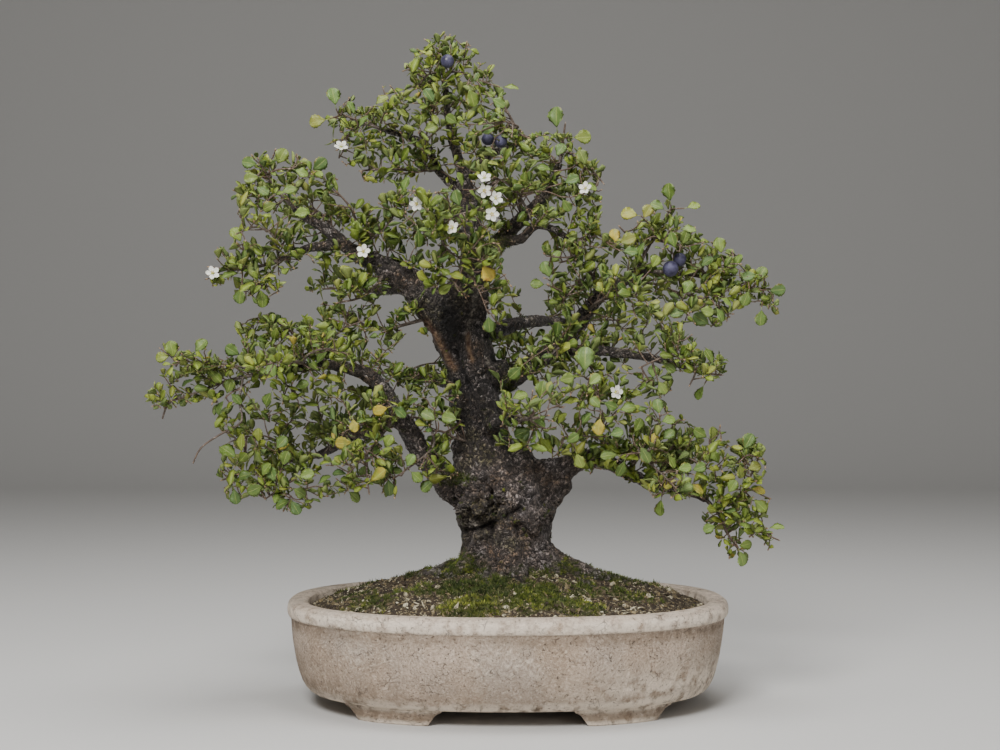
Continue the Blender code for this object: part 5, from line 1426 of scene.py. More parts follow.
def loft(rings: Sequence[Sequence[Point]], capped: bool = True) -> Solid:
    """Points and faces of a shape through rings of equally many points.

    Args:
        rings: the rings, from first to last.
        capped: whether its ends are closed.

    Returns:
        Its points and faces.
    """
    count = len(rings[0])
    points = [point for ring in rings for point in ring]
    faces: list[tuple[int, ...]] = []
    for k in range(len(rings) - 1):
        low = k * count
        high = low + count
        for i in range(count):
            j = (i + 1) % count
            faces.append((low + i, low + j, high + j, high + i))
    if capped:
        last = (len(rings) - 1) * count
        faces.append(tuple(reversed(range(count))))
        faces.append(tuple(range(last, last + count)))
    return points, faces


def tube(route: np.ndarray, sides: int, depth: float = 1.0) -> Solid:
    """Points and faces of a closed tube through (x, y, z, radius) points.

    Args:
        route: (x, y, z, radius) points.
        sides: how many sides it has.
        depth: its size from front to back, as a share of its width.

    Returns:
        Its points and faces.
    """
    centres = [Vector(point[:3]) for point in route]
    last = len(centres) - 1
    side = None
    rings = []
    for i, centre in enumerate(centres):
        tangent = (centres[min(i + 1, last)] - centres[max(i - 1, 0)]).normalized()
        side = tangent.orthogonal() if side is None else side
        side = (side - tangent * side.dot(tangent)).normalized()
        other = tangent.cross(side)
        ring = []
        for k in range(sides):
            turn = 2 * math.pi * k / sides
            offset = (side * math.cos(turn) + other * math.sin(turn)) * route[i][3]
            ring.append(centre + Vector((offset.x, offset.y * depth, offset.z)))
        rings.append(ring)
    return loft(rings)


@dataclass
class Heap:
    """Points and faces put together from several shapes, with a value for each point."""

    points: list[Point] = field(default_factory=list)
    faces: list[tuple[int, ...]] = field(default_factory=list)
    values: list[float] = field(default_factory=list)

    def add(self, points: Sequence[Point], faces: Iterable[Sequence[int]], value: float = 0.0) -> None:
        """Adds a shape.

        Args:
            points: its points.
            faces: its faces, by the numbers of its own points.
            value: the value that its points get.
        """
        start = len(self.points)
        self.points += points
        self.faces += [tuple(start + i for i in face) for face in faces]
        self.values += [value] * len(points)


def random_direction(rng: random.Random) -> Vector:
    """A direction, evenly spread.

    Args:
        rng: the draw.

    Returns:
        A vector one unit long.
    """
    while True:
        way = Vector([rng.uniform(-1, 1) for _ in range(3)])
        if 0.2 < way.length < 1:
            return way.normalized()


@dataclass(frozen=True)
class Oval:
    """The pot's outline from above."""

    length: float = 350.0
    width: float = 270.0
    power: float = 2.3

    def ring(self, inset: float, height: float, sides: int) -> list[Point]:
        """One ring of the oval, the inset in from the rim.

        Args:
            inset: how far inside the rim, in millimetres.
            height: its height.
            sides: how many sides it has.

        Returns:
            Its points.
        """
        ring = []
        for i in range(sides):
            turn = 2 * math.pi * i / sides
            c = math.cos(turn)
            s = math.sin(turn)
            x = (self.length / 2 - inset) * math.copysign(abs(c) ** (2 / self.power), c)
            y = (self.width / 2 - inset) * math.copysign(abs(s) ** (2 / self.power), s)
            ring.append((x, y, height))
        return ring

    def share(self, x: float, y: float, inset: float) -> float:
        """How far (x, y) is from the middle, as a share of the way to the edge.

        Args:
            x: the place to the right.
            y: the place to the back.
            inset: how far inside the rim, in millimetres.

        Returns:
            0 in the middle, 1 at the edge.
        """
        along = abs(x / (self.length / 2 - inset)) ** self.power
        across = abs(y / (self.width / 2 - inset)) ** self.power
        return (along + across) ** (1 / self.power)


@dataclass(frozen=True)
class Mound:
    """The soil's dome, highest round the trunk."""

    oval: Oval = Oval()
    inset: float = 17.3
    edge: float = 76.0
    top: float = 108.0
    dome_power: float = 1.6
    bump: float = 1.5

    def height(self, x: float, y: float) -> float:
        """The smooth mound's height at (x, y).

        Args:
            x: the place to the right.
            y: the place to the back.

        Returns:
            The height, in millimetres.
        """
        share = min(1.0, self.oval.share(x, y, self.inset))
        dome = self.edge + (self.top - self.edge) * (1 - share**self.dome_power)
        return dome + self.bump * math.sin(x / 15 + 1) * math.cos(y / 12 - 0.6) * (1 - share)


@dataclass(frozen=True)
class Patch:
    """A soft-edged patch on the wood: a middle, and how far it reaches each way."""

    middle: Point
    reach: Point

    def share(self, points: np.ndarray) -> np.ndarray:
        """How much of the patch is at each point, from 0 to 1."""
        away = (points - self.middle) / self.reach
        return np.exp(-np.sum(away**2, axis=1) ** 2)


@dataclass(frozen=True)
class Streak:
    """A soft-edged line on the front of the wood, through points (x, z)."""

    points: tuple[tuple[float, float], ...]
    reach: float

    def share(self, points: np.ndarray) -> np.ndarray:
        """How much of the streak is at each point, from 0 to 1.

        Args:
            points: points in the tree's own axes.

        Returns:
            The share at each point.
        """
        flat = points[:, (0, 2)]
        nearest = np.full(len(points), np.inf)
        for start, end in zip(self.points, self.points[1:]):
            along = np.subtract(end, start)
            walked = np.clip((flat - start) @ along / (along @ along), 0.0, 1.0)
            away = np.linalg.norm(flat - start - walked[:, None] * along, axis=1)
            nearest = np.minimum(nearest, away)
        return np.exp(-((nearest / self.reach) ** 2)) * (points[:, 1] < 4.0)


@dataclass
class Wood:
    """The trunk with its hollow, the surface roots and the limbs, under one skin of bark."""

    place: Place
    mound: Mound
    voxel: float = 1.45
    gnarl: float = 0.075
    gnarl_length: float = 13.0
    furrow_depth: float = 3.0
    furrow_size: float = 6.5
    full_girth: float = 26.0
    burl: Patch = Patch((-24, -34, 160), (22, 26, 24))
    burl_lumps: float = 12.0
    ridges: tuple[tuple[Streak, float], ...] = (
        (Streak(((-36, 136), (-29, 138), (-19, 141), (-7, 147), (3, 152), (14, 157)), 2.6), -6.0),
        (Streak(((-17, 276), (-16, 270.5), (-12.5, 267.5), (-8, 267), (-3, 269)), 2.2), 3.6),
        (Streak(((10, 203), (15, 184), (21, 166), (17, 150), (21, 136), (30, 122), (39, 106)), 4.6), 5.0),
        (Streak(((-21, 140), (-23, 129), (-31, 114), (-44, 101)), 3.8), 6.0),
        (Streak(((-2, 144), (0, 129), (4, 108)), 5.0), 3.0),
        (Streak(((-13, 138), (-15, 124), (-21, 110)), 3.4), -5.0),
        (Streak(((-31, 138), (-33, 126), (-40, 114)), 3.4), -4.0),
        (Streak(((8, 141), (16, 122), (25, 106)), 3.4), -5.0),
        (Streak(((2, 204), (7, 186), (10, 172)), 3.0), -3.0),
        (Streak(((-31, 250), (-29, 240), (-20, 217), (-11, 198)), 2.8), -3.0),
        (Streak(((-16, 246), (-9, 222), (-4, 204)), 3.6), 2.4),
        (Streak(((46, 178), (36, 168), (32, 152), (34, 138)), 4.0), 3.0),
        (Streak(((-25, 328), (-26, 304), (-24, 286), (-20, 268)), 6.0), 7.0),
        (Streak(((-60, 300), (-52, 282), (-44, 266)), 3.0), 3.0),
        (Streak(((-42, 278), (-35, 263), (-29, 248), (-26, 236)), 3.2), -6.0),
    )
    # Painted shade: where the wood is painted almost black, in the hollow, its crease, the knot hole and the
    # crease over the burl.
    hollows: tuple[Patch | Streak, ...] = (
        Patch((-45, -14, 300), (9.0, 30, 26)),
        Streak(((-42, 280), (-35, 263), (-30, 251)), 1.7),
        Patch((-10, -14, 273.6), (4.6, 30, 3.8)),
        Streak(((-34, 137), (-29, 138), (-19, 141), (-7, 147), (3, 152), (11, 156)), 1.5),
    )
    raw: tuple[Streak, ...] = (
        Streak(((-65, 302), (-57, 290), (-46, 271), (-43, 266)), 2.9),
        Streak(((-31.5, 293), (-31, 282), (-28, 271)), 1.8),
    )
    lichen: tuple[Patch | Streak, ...] = (
        Patch((-3, -10, 300), (12, 30, 9)),
        Streak(((-24, 328), (-29, 306), (-31, 290)), 2.6),
        Streak(((-17, 276), (-16, 270.5), (-12.5, 267.5), (-8, 267), (-3, 269)), 1.6),
        Patch((-34, -30, 143), (15, 30, 5)),
    )
    olive: tuple[Patch, ...] = (
        Patch((-20, -34, 152), (20, 26, 13)),
        Patch((-44, -10, 130), (12, 30, 14)),
        Patch((-8, -8, 225), (12, 30, 14)),
    )
    moss: tuple[Patch, ...] = (
        Patch((-14, 6, 362), (20, 30, 16)),
        Patch((2, -8, 250), (7, 30, 16)),
        Patch((-40, -12, 178), (18, 30, 6)),
        Patch((-36, -20, 108), (20, 40, 13)),
        Patch((44, -20, 104), (16, 40, 12)),
        Patch((70, -8, 98), (40, 30, 8)),
        Patch((-84, -6, 96), (40, 30, 7)),
    )
    samples: np.ndarray = field(init=False)
    near: kdtree.KDTree = field(init=False)

    def routes(self) -> list[tuple[np.ndarray, int, float]]:
        """Every tube of the wood, with its sides and its depth.

        Returns:
            (x, y, z, radius) points, the number of sides and the depth of each tube.
        """
        routes = [(smooth_route(TRUNK, 4.0), 36, TRUNK_DEPTH)]
        routes += [(smooth_route(route, 4.0), 18, 1.0) for route in LIMBS.values()]
        routes += [(smooth_route(self.root(*root), 4.0), 18, 1.0) for root in ROOTS]
        for x, y, z, radius in KNOBS:
            turns = [math.pi * (0.04 + 0.92 * i / 12) for i in range(13)]
            ball = [(x, y, z - radius * math.cos(t), radius * math.sin(t)) for t in turns]
            routes.append((np.array(ball), 24, 1.0))
        return routes

    def root(self, direction: float, reach: float, thick: float, thin: float) -> list[Point]:
        """A surface root's route: out of the trunk, then half sunk along the mound.

        Args:
            direction: the way it runs, in degrees.
            reach: how far it runs from the trunk's middle.
            thick: its radius at the trunk.
            thin: its radius at its end.

        Returns:
            Its (x, y, z, radius) points.
        """
        route = []
        for i in range(7):
            share = i / 6
            distance = 16 + (reach - 16) * share
            turn = math.radians(direction + 9 * math.sin(4.2 * share + direction))
            x = distance * math.cos(turn)
            y = distance * math.sin(turn)
            radius = thick + (thin - thick) * share
            lift = 14 * (1 - share) ** 3 + radius * (0.25 - 0.5 * share)
            route.append((x, y, self.mound.height(x, y) + lift, radius))
        return route

    def skin(self) -> Piece:
        """The tubes, grown together.

        Returns:
            The wood, before its lumps.
        """
        heap = Heap()
        routes = self.routes()
        for route, sides, depth in routes:
            heap.add(*tube(route, sides, depth))
        wood = new_object("wood", self.place.metres(heap.points), heap.faces)
        fuse = wood.modifiers.new("fuse", "REMESH")
        fuse.mode = "VOXEL"
        fuse.voxel_size = self.voxel * MM
        bake(wood)
        self.samples = np.vstack([route for route, _, _ in routes])
        self.near = kdtree.KDTree(len(self.samples))
        for i, sample in enumerate(self.samples):
            self.near.insert(Vector(sample[:3]), i)
        self.near.balance()
        return wood

    def hollow_depth(self, point: Vector, sample: np.ndarray) -> float:
        """How far the front of the trunk is pressed in at a point.

        Args:
            point: a point in the tree's own axes.
            sample: the nearest point of the wood's middle lines.

        Returns:
            The depth, in millimetres.
        """
        if point.y > sample[1] - 0.2 * sample[3]:
            return 0.0
        depth = 0.0
        for x, z, half_x, half_z, deepest in HOLLOWS:
            spread = ((point.x - x) / half_x) ** 2 + ((point.z - z) / half_z) ** 4
            depth += deepest * math.exp(-spread)
        return depth

    def shape(self, wood: Piece) -> None:
        """Lumps of old wood and the hollows, as in the solid.

        Args:
            wood: the wood.
        """
        old = self.place.millimetres([v.co for v in wood.data.vertices])
        burl = self.burl.share(old) * self.burl_lumps
        ridge = sum(streak.share(old) * height for streak, height in self.ridges)
        places = [Vector(p) for p in old]
        girths = []
        for i, vertex in enumerate(wood.data.vertices):
            point = places[i]
            _, nearest, _ = self.near.find(point)
            sample = self.samples[nearest]
            lump = noise.noise(point / self.gnarl_length)
            lump += 0.5 * noise.noise(point * 2.1 / self.gnarl_length)
            lump += 0.45 * noise.noise(point * 4.4 / self.gnarl_length)
            knob = 0.35 + noise.noise(point / 6.0) - abs(noise.noise(point / 3.4))
            knob += 0.4 * noise.noise(point / 2.2)
            point += vertex.normal * (self.gnarl * sample[3] * 2 * lump + burl[i] * knob + ridge[i])
            point.y += self.hollow_depth(point, sample)
            girths.append(sample[3])
        wood.data.vertices.foreach_set("co", self.place.metres(places).ravel())
        store(wood, "girth", girths)

    def mark(self, wood: Piece) -> None:
        """Marks where the hollow and its creases are painted dark as shade, where the crown's shade is
        painted, and where the bare wood, the lichen and the moss are.

        Args:
            wood: the wood.
        """
        points = self.place.millimetres([v.co for v in wood.data.vertices])
        rise = np.array([v.normal.z for v in wood.data.vertices])
        for name in ("hollows", "raw", "lichen", "olive"):
            store(wood, name, np.max([patch.share(points) for patch in getattr(self, name)], axis=0))
        # Painted shade: the middle of the trunk under the crown is darkened, and the wood above z 185 half as
        # much.
        middle = np.clip((points[:, 2] - 180) / 40, 0, 1) * np.clip((345 - points[:, 2]) / 40, 0, 1)
        trunk = middle * np.clip((52 - np.abs(points[:, 0] + 26)) / 16, 0, 1)
        store(wood, "shade", np.maximum(trunk, 0.5 * np.clip((points[:, 2] - 185) / 60, 0, 1)))
        moss = np.max([patch.share(points) for patch in self.moss], axis=0)
        low = np.clip((116 - points[:, 2]) / 16, 0, 1) * np.clip(rise + 0.3, 0, 1)
        moss = np.clip(np.maximum(moss, 0.6 * low), 0, 1)
        store(wood, "moss", moss)
        ragged = np.array([noise.noise(Vector(p) / 5.0) for p in points])
        store(wood, "tufts", np.clip(moss - 0.35 + 0.9 * ragged, 0, 1))
        store(wood, "yellow", 0.35 + 0.5 * ragged)

    def furrows(self) -> NodeTree:
        """Geometry Nodes that cut the bark's furrows: deep on the trunk, slight on a limb.

        Returns:
            The tree.
        """
        inputs = {"Geometry": "Geometry", "Depth": "Float", "Size": "Float", "Thick": "Float"}
        graph, start, end = group_tree("furrows", "GeometryNodeTree", inputs, {"Geometry": "Geometry"})
        out = start.outputs
        per_metre = graph.math("DIVIDE", 1.0, out["Size"])
        position = graph.add("GeometryNodeInputPosition")
        shift = graph.noise(position, graph.times(per_metre, 0.8), 2.0).outputs["Color"]
        shift = graph.scaled(graph.vector("SUBTRACT", shift, (0.5, 0.5, 0.5)), 0.010)
        at = graph.vector("MULTIPLY", graph.vector("ADD", position, shift), (1.0, 1.0, 0.62))
        plates = graph.cells(at, per_metre, "DISTANCE_TO_EDGE").outputs["Distance"]
        plates = graph.spread(plates, 0.0, 0.3, -0.7, 0.1)
        rough = graph.noise(at, graph.times(per_metre, 1.7), 4.0, 0.62)
        ridge = graph.math("ABSOLUTE", graph.minus(rough, 0.5))
        ridge = graph.minus(0.45, graph.times(ridge, 5.0))
        relief = graph.plus(plates, ridge)
        share = graph.math("DIVIDE", graph.named("girth"), out["Thick"], clamp=True)
        depth = graph.times(graph.times(relief, share), out["Depth"])
        offset = graph.scaled(graph.add("GeometryNodeInputNormal"), depth)
        # The relief is kept for the bark, which paints shade into the furrows from it.
        inputs = {"Geometry": out["Geometry"], "Name": "relief", "Value": relief}
        marked = graph.add("GeometryNodeStoreNamedAttribute", inputs, data_type="FLOAT", domain="POINT")
        moved = graph.add("GeometryNodeSetPosition", {"Geometry": marked, "Offset": offset})
        graph.feed(end.inputs["Geometry"], moved)
        return graph.tree

    def build(self, finishes: Finishes) -> Piece:
        """Makes the wood and its marks.

        Args:
            finishes: the object's materials.

        Returns:
            The wood.
        """
        wood = self.skin()
        self.shape(wood)
        inputs = {"Depth": self.furrow_depth * MM, "Size": self.furrow_size * MM, "Thick": self.full_girth}
        run_nodes(wood, self.furrows(), inputs)
        self.mark(wood)
        wood.data.materials.clear()
        wood.data.materials.append(finishes.bark)
        shade_smooth(wood, 70)
        return finish_piece(wood, Slot.BARK, "tree")

    def surface(self, wood: Piece) -> BVHTree:
        """The wood's surface, in the tree's own axes.

        Args:
            wood: the wood.

        Returns:
            Its faces, for finding the nearest.
        """
        points = self.place.millimetres([v.co for v in wood.data.vertices])
        faces = [tuple(polygon.vertices) for polygon in wood.data.polygons]
        return BVHTree.FromPolygons([Vector(p) for p in points], faces)


@dataclass(frozen=True)
class LeafShape:
    """One shape of leaf, a unit long from the foot of its stalk to its tip, along +Y.

    Its upper face, its under face and its stalk are closed, so it has a thickness.
    """

    name: str
    width: float = 0.46
    widest: float = 0.60
    fold: float = 0.20
    droop: float = 0.12
    wave: float = 0.02
    twist: float = 0.0
    teeth: float = 0.08
    point: float = 0.78
    base: float = 0.9
    rows: int = 5
    across: tuple[float, ...] = (-1.0, 0.0, 1.0)
    stalk: float = 0.17
    thickness: float = 0.022

    def half_width(self, share: float) -> float:
        """Half the blade's width at a share of the way to its tip.

        Args:
            share: how far along the blade, from 0 to 1.

        Returns:
            The half width.
        """
        bend = math.log(0.5) / math.log(self.widest)
        bulge = self.base if share < self.widest else self.point
        return self.width / 2 * math.sin(math.pi * share**bend) ** bulge

    def lift(self, across: float, share: float) -> float:
        """How high the blade is over its own plane.

        Args:
            across: how far from the midrib.
            share: how far along the blade, from 0 to 1.

        Returns:
            The height.
        """
        sag = -self.droop * share**2
        ripple = self.wave * math.sin(3.2 * math.pi * share) * across / (self.width / 2)
        return self.fold * abs(across) + sag + ripple + self.twist * across * share

    def build(self) -> Piece:
        """Makes the leaf, outside the scene.

        Returns:
            The leaf.
        """
        work = bmesh.new()
        layout = work.loops.layers.uv.new("leaf")
        under = work.faces.layers.int.new("under")

        def vertex(across: float, share: float, below: float = 0.0) -> bmesh.types.BMVert:
            """Adds a point of the blade.

            Args:
                across: how far from the midrib.
                share: how far along the blade, from 0 to 1.
                below: how far below its upper face.

            Returns:
                The point.
            """
            length = 1 - self.stalk
            height = self.lift(across, share) - below
            return work.verts.new((across, self.stalk + length * share, height))

        def face(corners: list, places: list, is_under: bool) -> None:
            """Adds a face with its place on the leaf's UV map.

            Args:
                corners: its corners.
                places: the UV place of each corner.
                is_under: whether it is on the under side.
            """
            made = work.faces.new(corners)
            made.smooth = True
            made[under] = int(is_under)
            for loop, (u, v) in zip(made.loops, places):
                loop[layout].uv = (u, v)

        base = vertex(0.0, 0.0)
        tip = vertex(0.0, 1.0)
        rows = []
        for i in range(1, self.rows):
            share = 1 - (1 - i / self.rows) ** 1.6
            half = self.half_width(share) * (1 + (self.teeth if i % 2 else -self.teeth))
            upper = [vertex(half * s, share) for s in self.across]
            rows.append((share, upper, vertex(0.0, share, self.thickness)))
        uv_across = [0.5 + s / 2 for s in self.across]
        first = rows[0]
        last = rows[-1]
        for k in range(len(self.across) - 1):
            u = uv_across[k : k + 2]
            face([base, first[1][k + 1], first[1][k]], [(0.5, 0), (u[1], first[0]), (u[0], first[0])], False)
            face([tip, last[1][k], last[1][k + 1]], [(0.5, 1), (u[0], last[0]), (u[1], last[0])], False)
            for (v, row, _), (w, following, _) in zip(rows, rows[1:]):
                face(
                    [row[k], row[k + 1], following[k + 1], following[k]],
                    [(u[0], v), (u[1], v), (u[1], w), (u[0], w)],
                    False,
                )
        for near, u in ((0, 0.0), (-1, 1.0)):
            ends = [
                ([base, first[1][near], first[2]], [(0.5, 0), (u, first[0]), (0.5, first[0])]),
                ([tip, last[2], last[1][near]], [(0.5, 1), (0.5, last[0]), (u, last[0])]),
            ]
            for (v, row, low), (w, following, next_low) in zip(rows, rows[1:]):
                corners = [row[near], following[near], next_low, low]
                ends.append((corners, [(u, v), (u, w), (0.5, w), (0.5, v)]))
            for corners, places in ends:
                if near:
                    corners, places = corners[::-1], places[::-1]
                face(corners, places, True)
        self._add_stalk(work, base, face)
        mesh = bpy.data.meshes.new(self.name)
        work.to_mesh(mesh)
        work.free()
        return bpy.data.objects.new(self.name, mesh)

    def _add_stalk(self, work: bmesh.types.BMesh, base: bmesh.types.BMVert, face: Any) -> None:
        """Adds the leaf's stalk, a thin three-sided spike that ends in the blade.

        Args:
            work: the mesh being made.
            base: the blade's lowest point.
            face: the function that adds a face.
        """
        ring = []
        for k in range(3):
            turn = 2 * math.pi * k / 3
            ring.append(work.verts.new((0.024 * math.cos(turn), 0.0, 0.024 * math.sin(turn))))
        end = work.verts.new(base.co + Vector((0.0, 0.25, -0.5 * self.thickness - 0.1 * self.droop)))
        for k in range(3):
            face([ring[k], ring[(k + 1) % 3], end], [(0.5, 0.0)] * 3, True)
        face(ring[::-1], [(0.5, 0.0)] * 3, True)


FIVE_ACROSS = (-1.0, -0.5, 0.0, 0.5, 1.0)
LEAF_SHAPES = (
    LeafShape("leaf_0_open", width=0.52, widest=0.62, fold=0.14, droop=0.10, point=0.6),
    LeafShape("leaf_1_folded", fold=0.48),
    LeafShape("leaf_2_curled", width=0.43, widest=0.56, droop=0.34, wave=0.05),
    LeafShape("leaf_3_twisted", width=0.44, droop=0.10, twist=0.6),
    LeafShape("leaf_4_cupped", width=0.53, widest=0.66, fold=0.28, droop=-0.12, point=0.6),
    LeafShape("leaf_5_young", width=0.32, widest=0.52, fold=0.60, droop=-0.05, stalk=0.1),
    LeafShape("leaf_6_large", 0.70, 0.60, 0.24, 0.14, 0.03, point=0.5, base=0.8, rows=12, across=FIVE_ACROSS),
)
LARGE_SHAPE = 6
BUD_SHAPE = 7
SMALL_SHAPES = (0, 0, 1, 1, 2, 2, 3, 3, 4, 4, 5)


def bud() -> Piece:
    """One bud, a unit long, outside the scene: a four-sided spindle of twig's stuff.

    Returns:
        The bud.
    """
    points = [(0.0, 0.0, 0.0), (0.0, 1.0, 0.0)]
    points += [(0.24 * x, 0.4, 0.24 * z) for x, z in ((1, 0), (0, 1), (-1, 0), (0, -1))]
    faces = [(0, 2 + k, 2 + (k + 1) % 4) for k in range(4)]
    faces += [(1, 2 + (k + 1) % 4, 2 + k) for k in range(4)]
    mesh = bpy.data.meshes.new("leaf_7_bud")
    mesh.from_pydata(points, [], [face[::-1] for face in faces])
    mesh.uv_layers.new(name="leaf")
    part = mesh.attributes.new("under", "INT", "FACE")
    part.data.foreach_set("value", [2] * len(faces))
    return bpy.data.objects.new("leaf_7_bud", mesh)


@dataclass
class Leaf:
    """One leaf: where its stalk starts, the way it points, its upper face and its look."""

    foot: Vector
    way: Vector
    normal: Vector
    length: float
    shape: int
    tint: float
    autumn: float = 0.0
    large: float = 0.0

    def turn(self) -> tuple[float, float, float]:
        """The leaf's rotation, as Euler angles.

        Returns:
            The three angles.
        """
        along = self.way.normalized()
        up = (self.normal - along * self.normal.dot(along)).normalized()
        side = along.cross(up)
        return tuple(Matrix((side, along, up)).transposed().to_euler("XYZ"))


@dataclass
class Growth:
    """The twigs and the leaves of one spray, before Geometry Nodes give them their form."""

    name: str
    twigs: list[np.ndarray] = field(default_factory=list)
    leaves: list[Leaf] = field(default_factory=list)

    def add_twig(self, points: Sequence[Point], thick: tuple[float, float], age: tuple[float, float]) -> None:
        """Adds a twig that tapers and grows younger along its points.

        Args:
            points: the points that it passes.
            thick: its radius at its foot and at its tip.
            age: its age at its foot and at its tip.
        """
        last = len(points) - 1
        rows = []
        for i, point in enumerate(points):
            share = i / last
            radius = thick[0] + (thick[1] - thick[0]) * share
            rows.append((*tuple(point)[:3], radius, age[0] + (age[1] - age[0]) * share))
        self.twigs.append(np.array(rows))

    def build(self, place: Place, tree: NodeTree, inputs: dict[str, Any]) -> Piece:
        """Makes the spray's mesh.

        Args:
            place: where the tree stands in the frame.
            tree: the Geometry Nodes that dress twigs and leaves.
            inputs: the tree's inputs.

        Returns:
            The object, with a plain mesh.
        """
        rows = np.vstack(self.twigs)
        edges = []
        start = 0
        for twig in self.twigs:
            edges += [(start + i, start + i + 1) for i in range(len(twig) - 1)]
            start += len(twig)
        points = np.vstack([place.metres(rows), place.metres([leaf.foot for leaf in self.leaves])])
        obj = new_object(f"leafy_{self.name}", points, [], (), edges)
        blank = [0.0] * len(rows)
        store(obj, "thick", list(rows[:, 3] * MM) + [0.0] * len(self.leaves))
        store(obj, "age", list(rows[:, 4]) + [2.0] * len(self.leaves))
        store(obj, "shape", [-1] * len(rows) + [leaf.shape for leaf in self.leaves], "INT")
        turns = [(0.0, 0.0, 0.0)] * len(rows) + [leaf.turn() for leaf in self.leaves]
        store(obj, "turn", turns, "FLOAT_VECTOR")
        store(obj, "size", blank + [leaf.length * MM for leaf in self.leaves])
        for look in ("tint", "autumn", "large"):
            store(obj, look, blank + [getattr(leaf, look) for leaf in self.leaves])
        run_nodes(obj, tree, inputs)
        return obj


def dressing_tree() -> NodeTree:
    """Geometry Nodes that give every twig its bark tube and put a leaf at every loose point.

    Returns:
        The tree.
    """
    inputs = {"Geometry": "Geometry", "Leaf Shapes": "Collection", "Twig Sides": "Int"}
    inputs |= {"Twig": "Material", "Leaf": "Material", "Leaf Under": "Material"}
    graph, start, end = group_tree("dressing", "GeometryNodeTree", inputs, {"Geometry": "Geometry"})
    out = start.outputs
    curve = graph.add("GeometryNodeMeshToCurve", {"Mesh": out["Geometry"]})
    profile = graph.add("GeometryNodeCurvePrimitiveCircle", {"Resolution": out["Twig Sides"], "Radius": 1.0})
    inputs = {"Curve": curve, "Profile Curve": profile, "Scale": graph.named("thick"), "Fill Caps": True}
    twigs = graph.add("GeometryNodeCurveToMesh", inputs)
    twigs = graph.add("GeometryNodeSetMaterial", {"Geometry": twigs, "Material": out["Twig"]})

    is_leaf = graph.add("FunctionNodeCompare", data_type="INT", operation="GREATER_EQUAL")
    graph.feed(is_leaf.inputs[2], graph.named("shape", "INT"))
    feet = graph.add("GeometryNodeMeshToPoints", {"Mesh": out["Geometry"], "Selection": is_leaf})
    shapes = graph.collection(out["Leaf Shapes"])
    rotation = graph.add("FunctionNodeEulerToRotation", {"Euler": graph.named("turn", "FLOAT_VECTOR")})
    leaves = graph.place(feet, shapes, graph.named("shape", "INT"), rotation, graph.named("size"))
    leaves = graph.realized(leaves, out["Leaf"])
    for part, material in ((1, "Leaf Under"), (2, "Twig")):
        chosen = graph.add("FunctionNodeCompare", data_type="INT", operation="EQUAL")
        graph.feed(chosen.inputs[2], graph.named("under", "INT"))
        chosen.inputs[3].default_value = part
        inputs = {"Geometry": leaves, "Selection": chosen, "Material": out[material]}
        leaves = graph.add("GeometryNodeSetMaterial", inputs)
    joined = graph.add("GeometryNodeJoinGeometry")
    graph.tree.links.new(twigs.outputs[0], joined.inputs[0])
    graph.tree.links.new(leaves.outputs[0], joined.inputs[0])
    graph.feed(end.inputs["Geometry"], joined)
    return graph.tree


@dataclass
class Stem:
    """A stem's curve, which twigs grow from."""

    curve: np.ndarray
    bare: bool = False

    def __post_init__(self) -> None:
        """Measures the curve."""
        steps = np.linalg.norm(np.diff(self.curve[:, :3], axis=0), axis=1)
        self.walked = np.concatenate([[0.0], np.cumsum(steps)])
        self.length = float(self.walked[-1])

    def at(self, distance: float) -> tuple[Vector, Vector, float]:
        """The point, the direction and the radius at a distance along the stem.

        Args:
            distance: the distance from the stem's start.

        Returns:
            The point, the direction and the radius.
        """
        row = [np.interp(distance, self.walked, self.curve[:, k]) for k in range(4)]
        i = min(int(np.searchsorted(self.walked, distance)), len(self.curve) - 1)
        i = max(i, 1)
        along = Vector(self.curve[i, :3] - self.curve[i - 1, :3]).normalized()
        return Vector(row[:3]), along, row[3]

    def nearest(self, target: Vector) -> tuple[float, float]:
        """The distance along the stem of its point nearest a target, and how far that is.

        Args:
            target: the point.

        Returns:
            The two distances.
        """
        away = np.linalg.norm(self.curve[:, :3] - tuple(target), axis=1)
        i = int(np.argmin(away))
        return float(self.walked[i]), float(away[i])


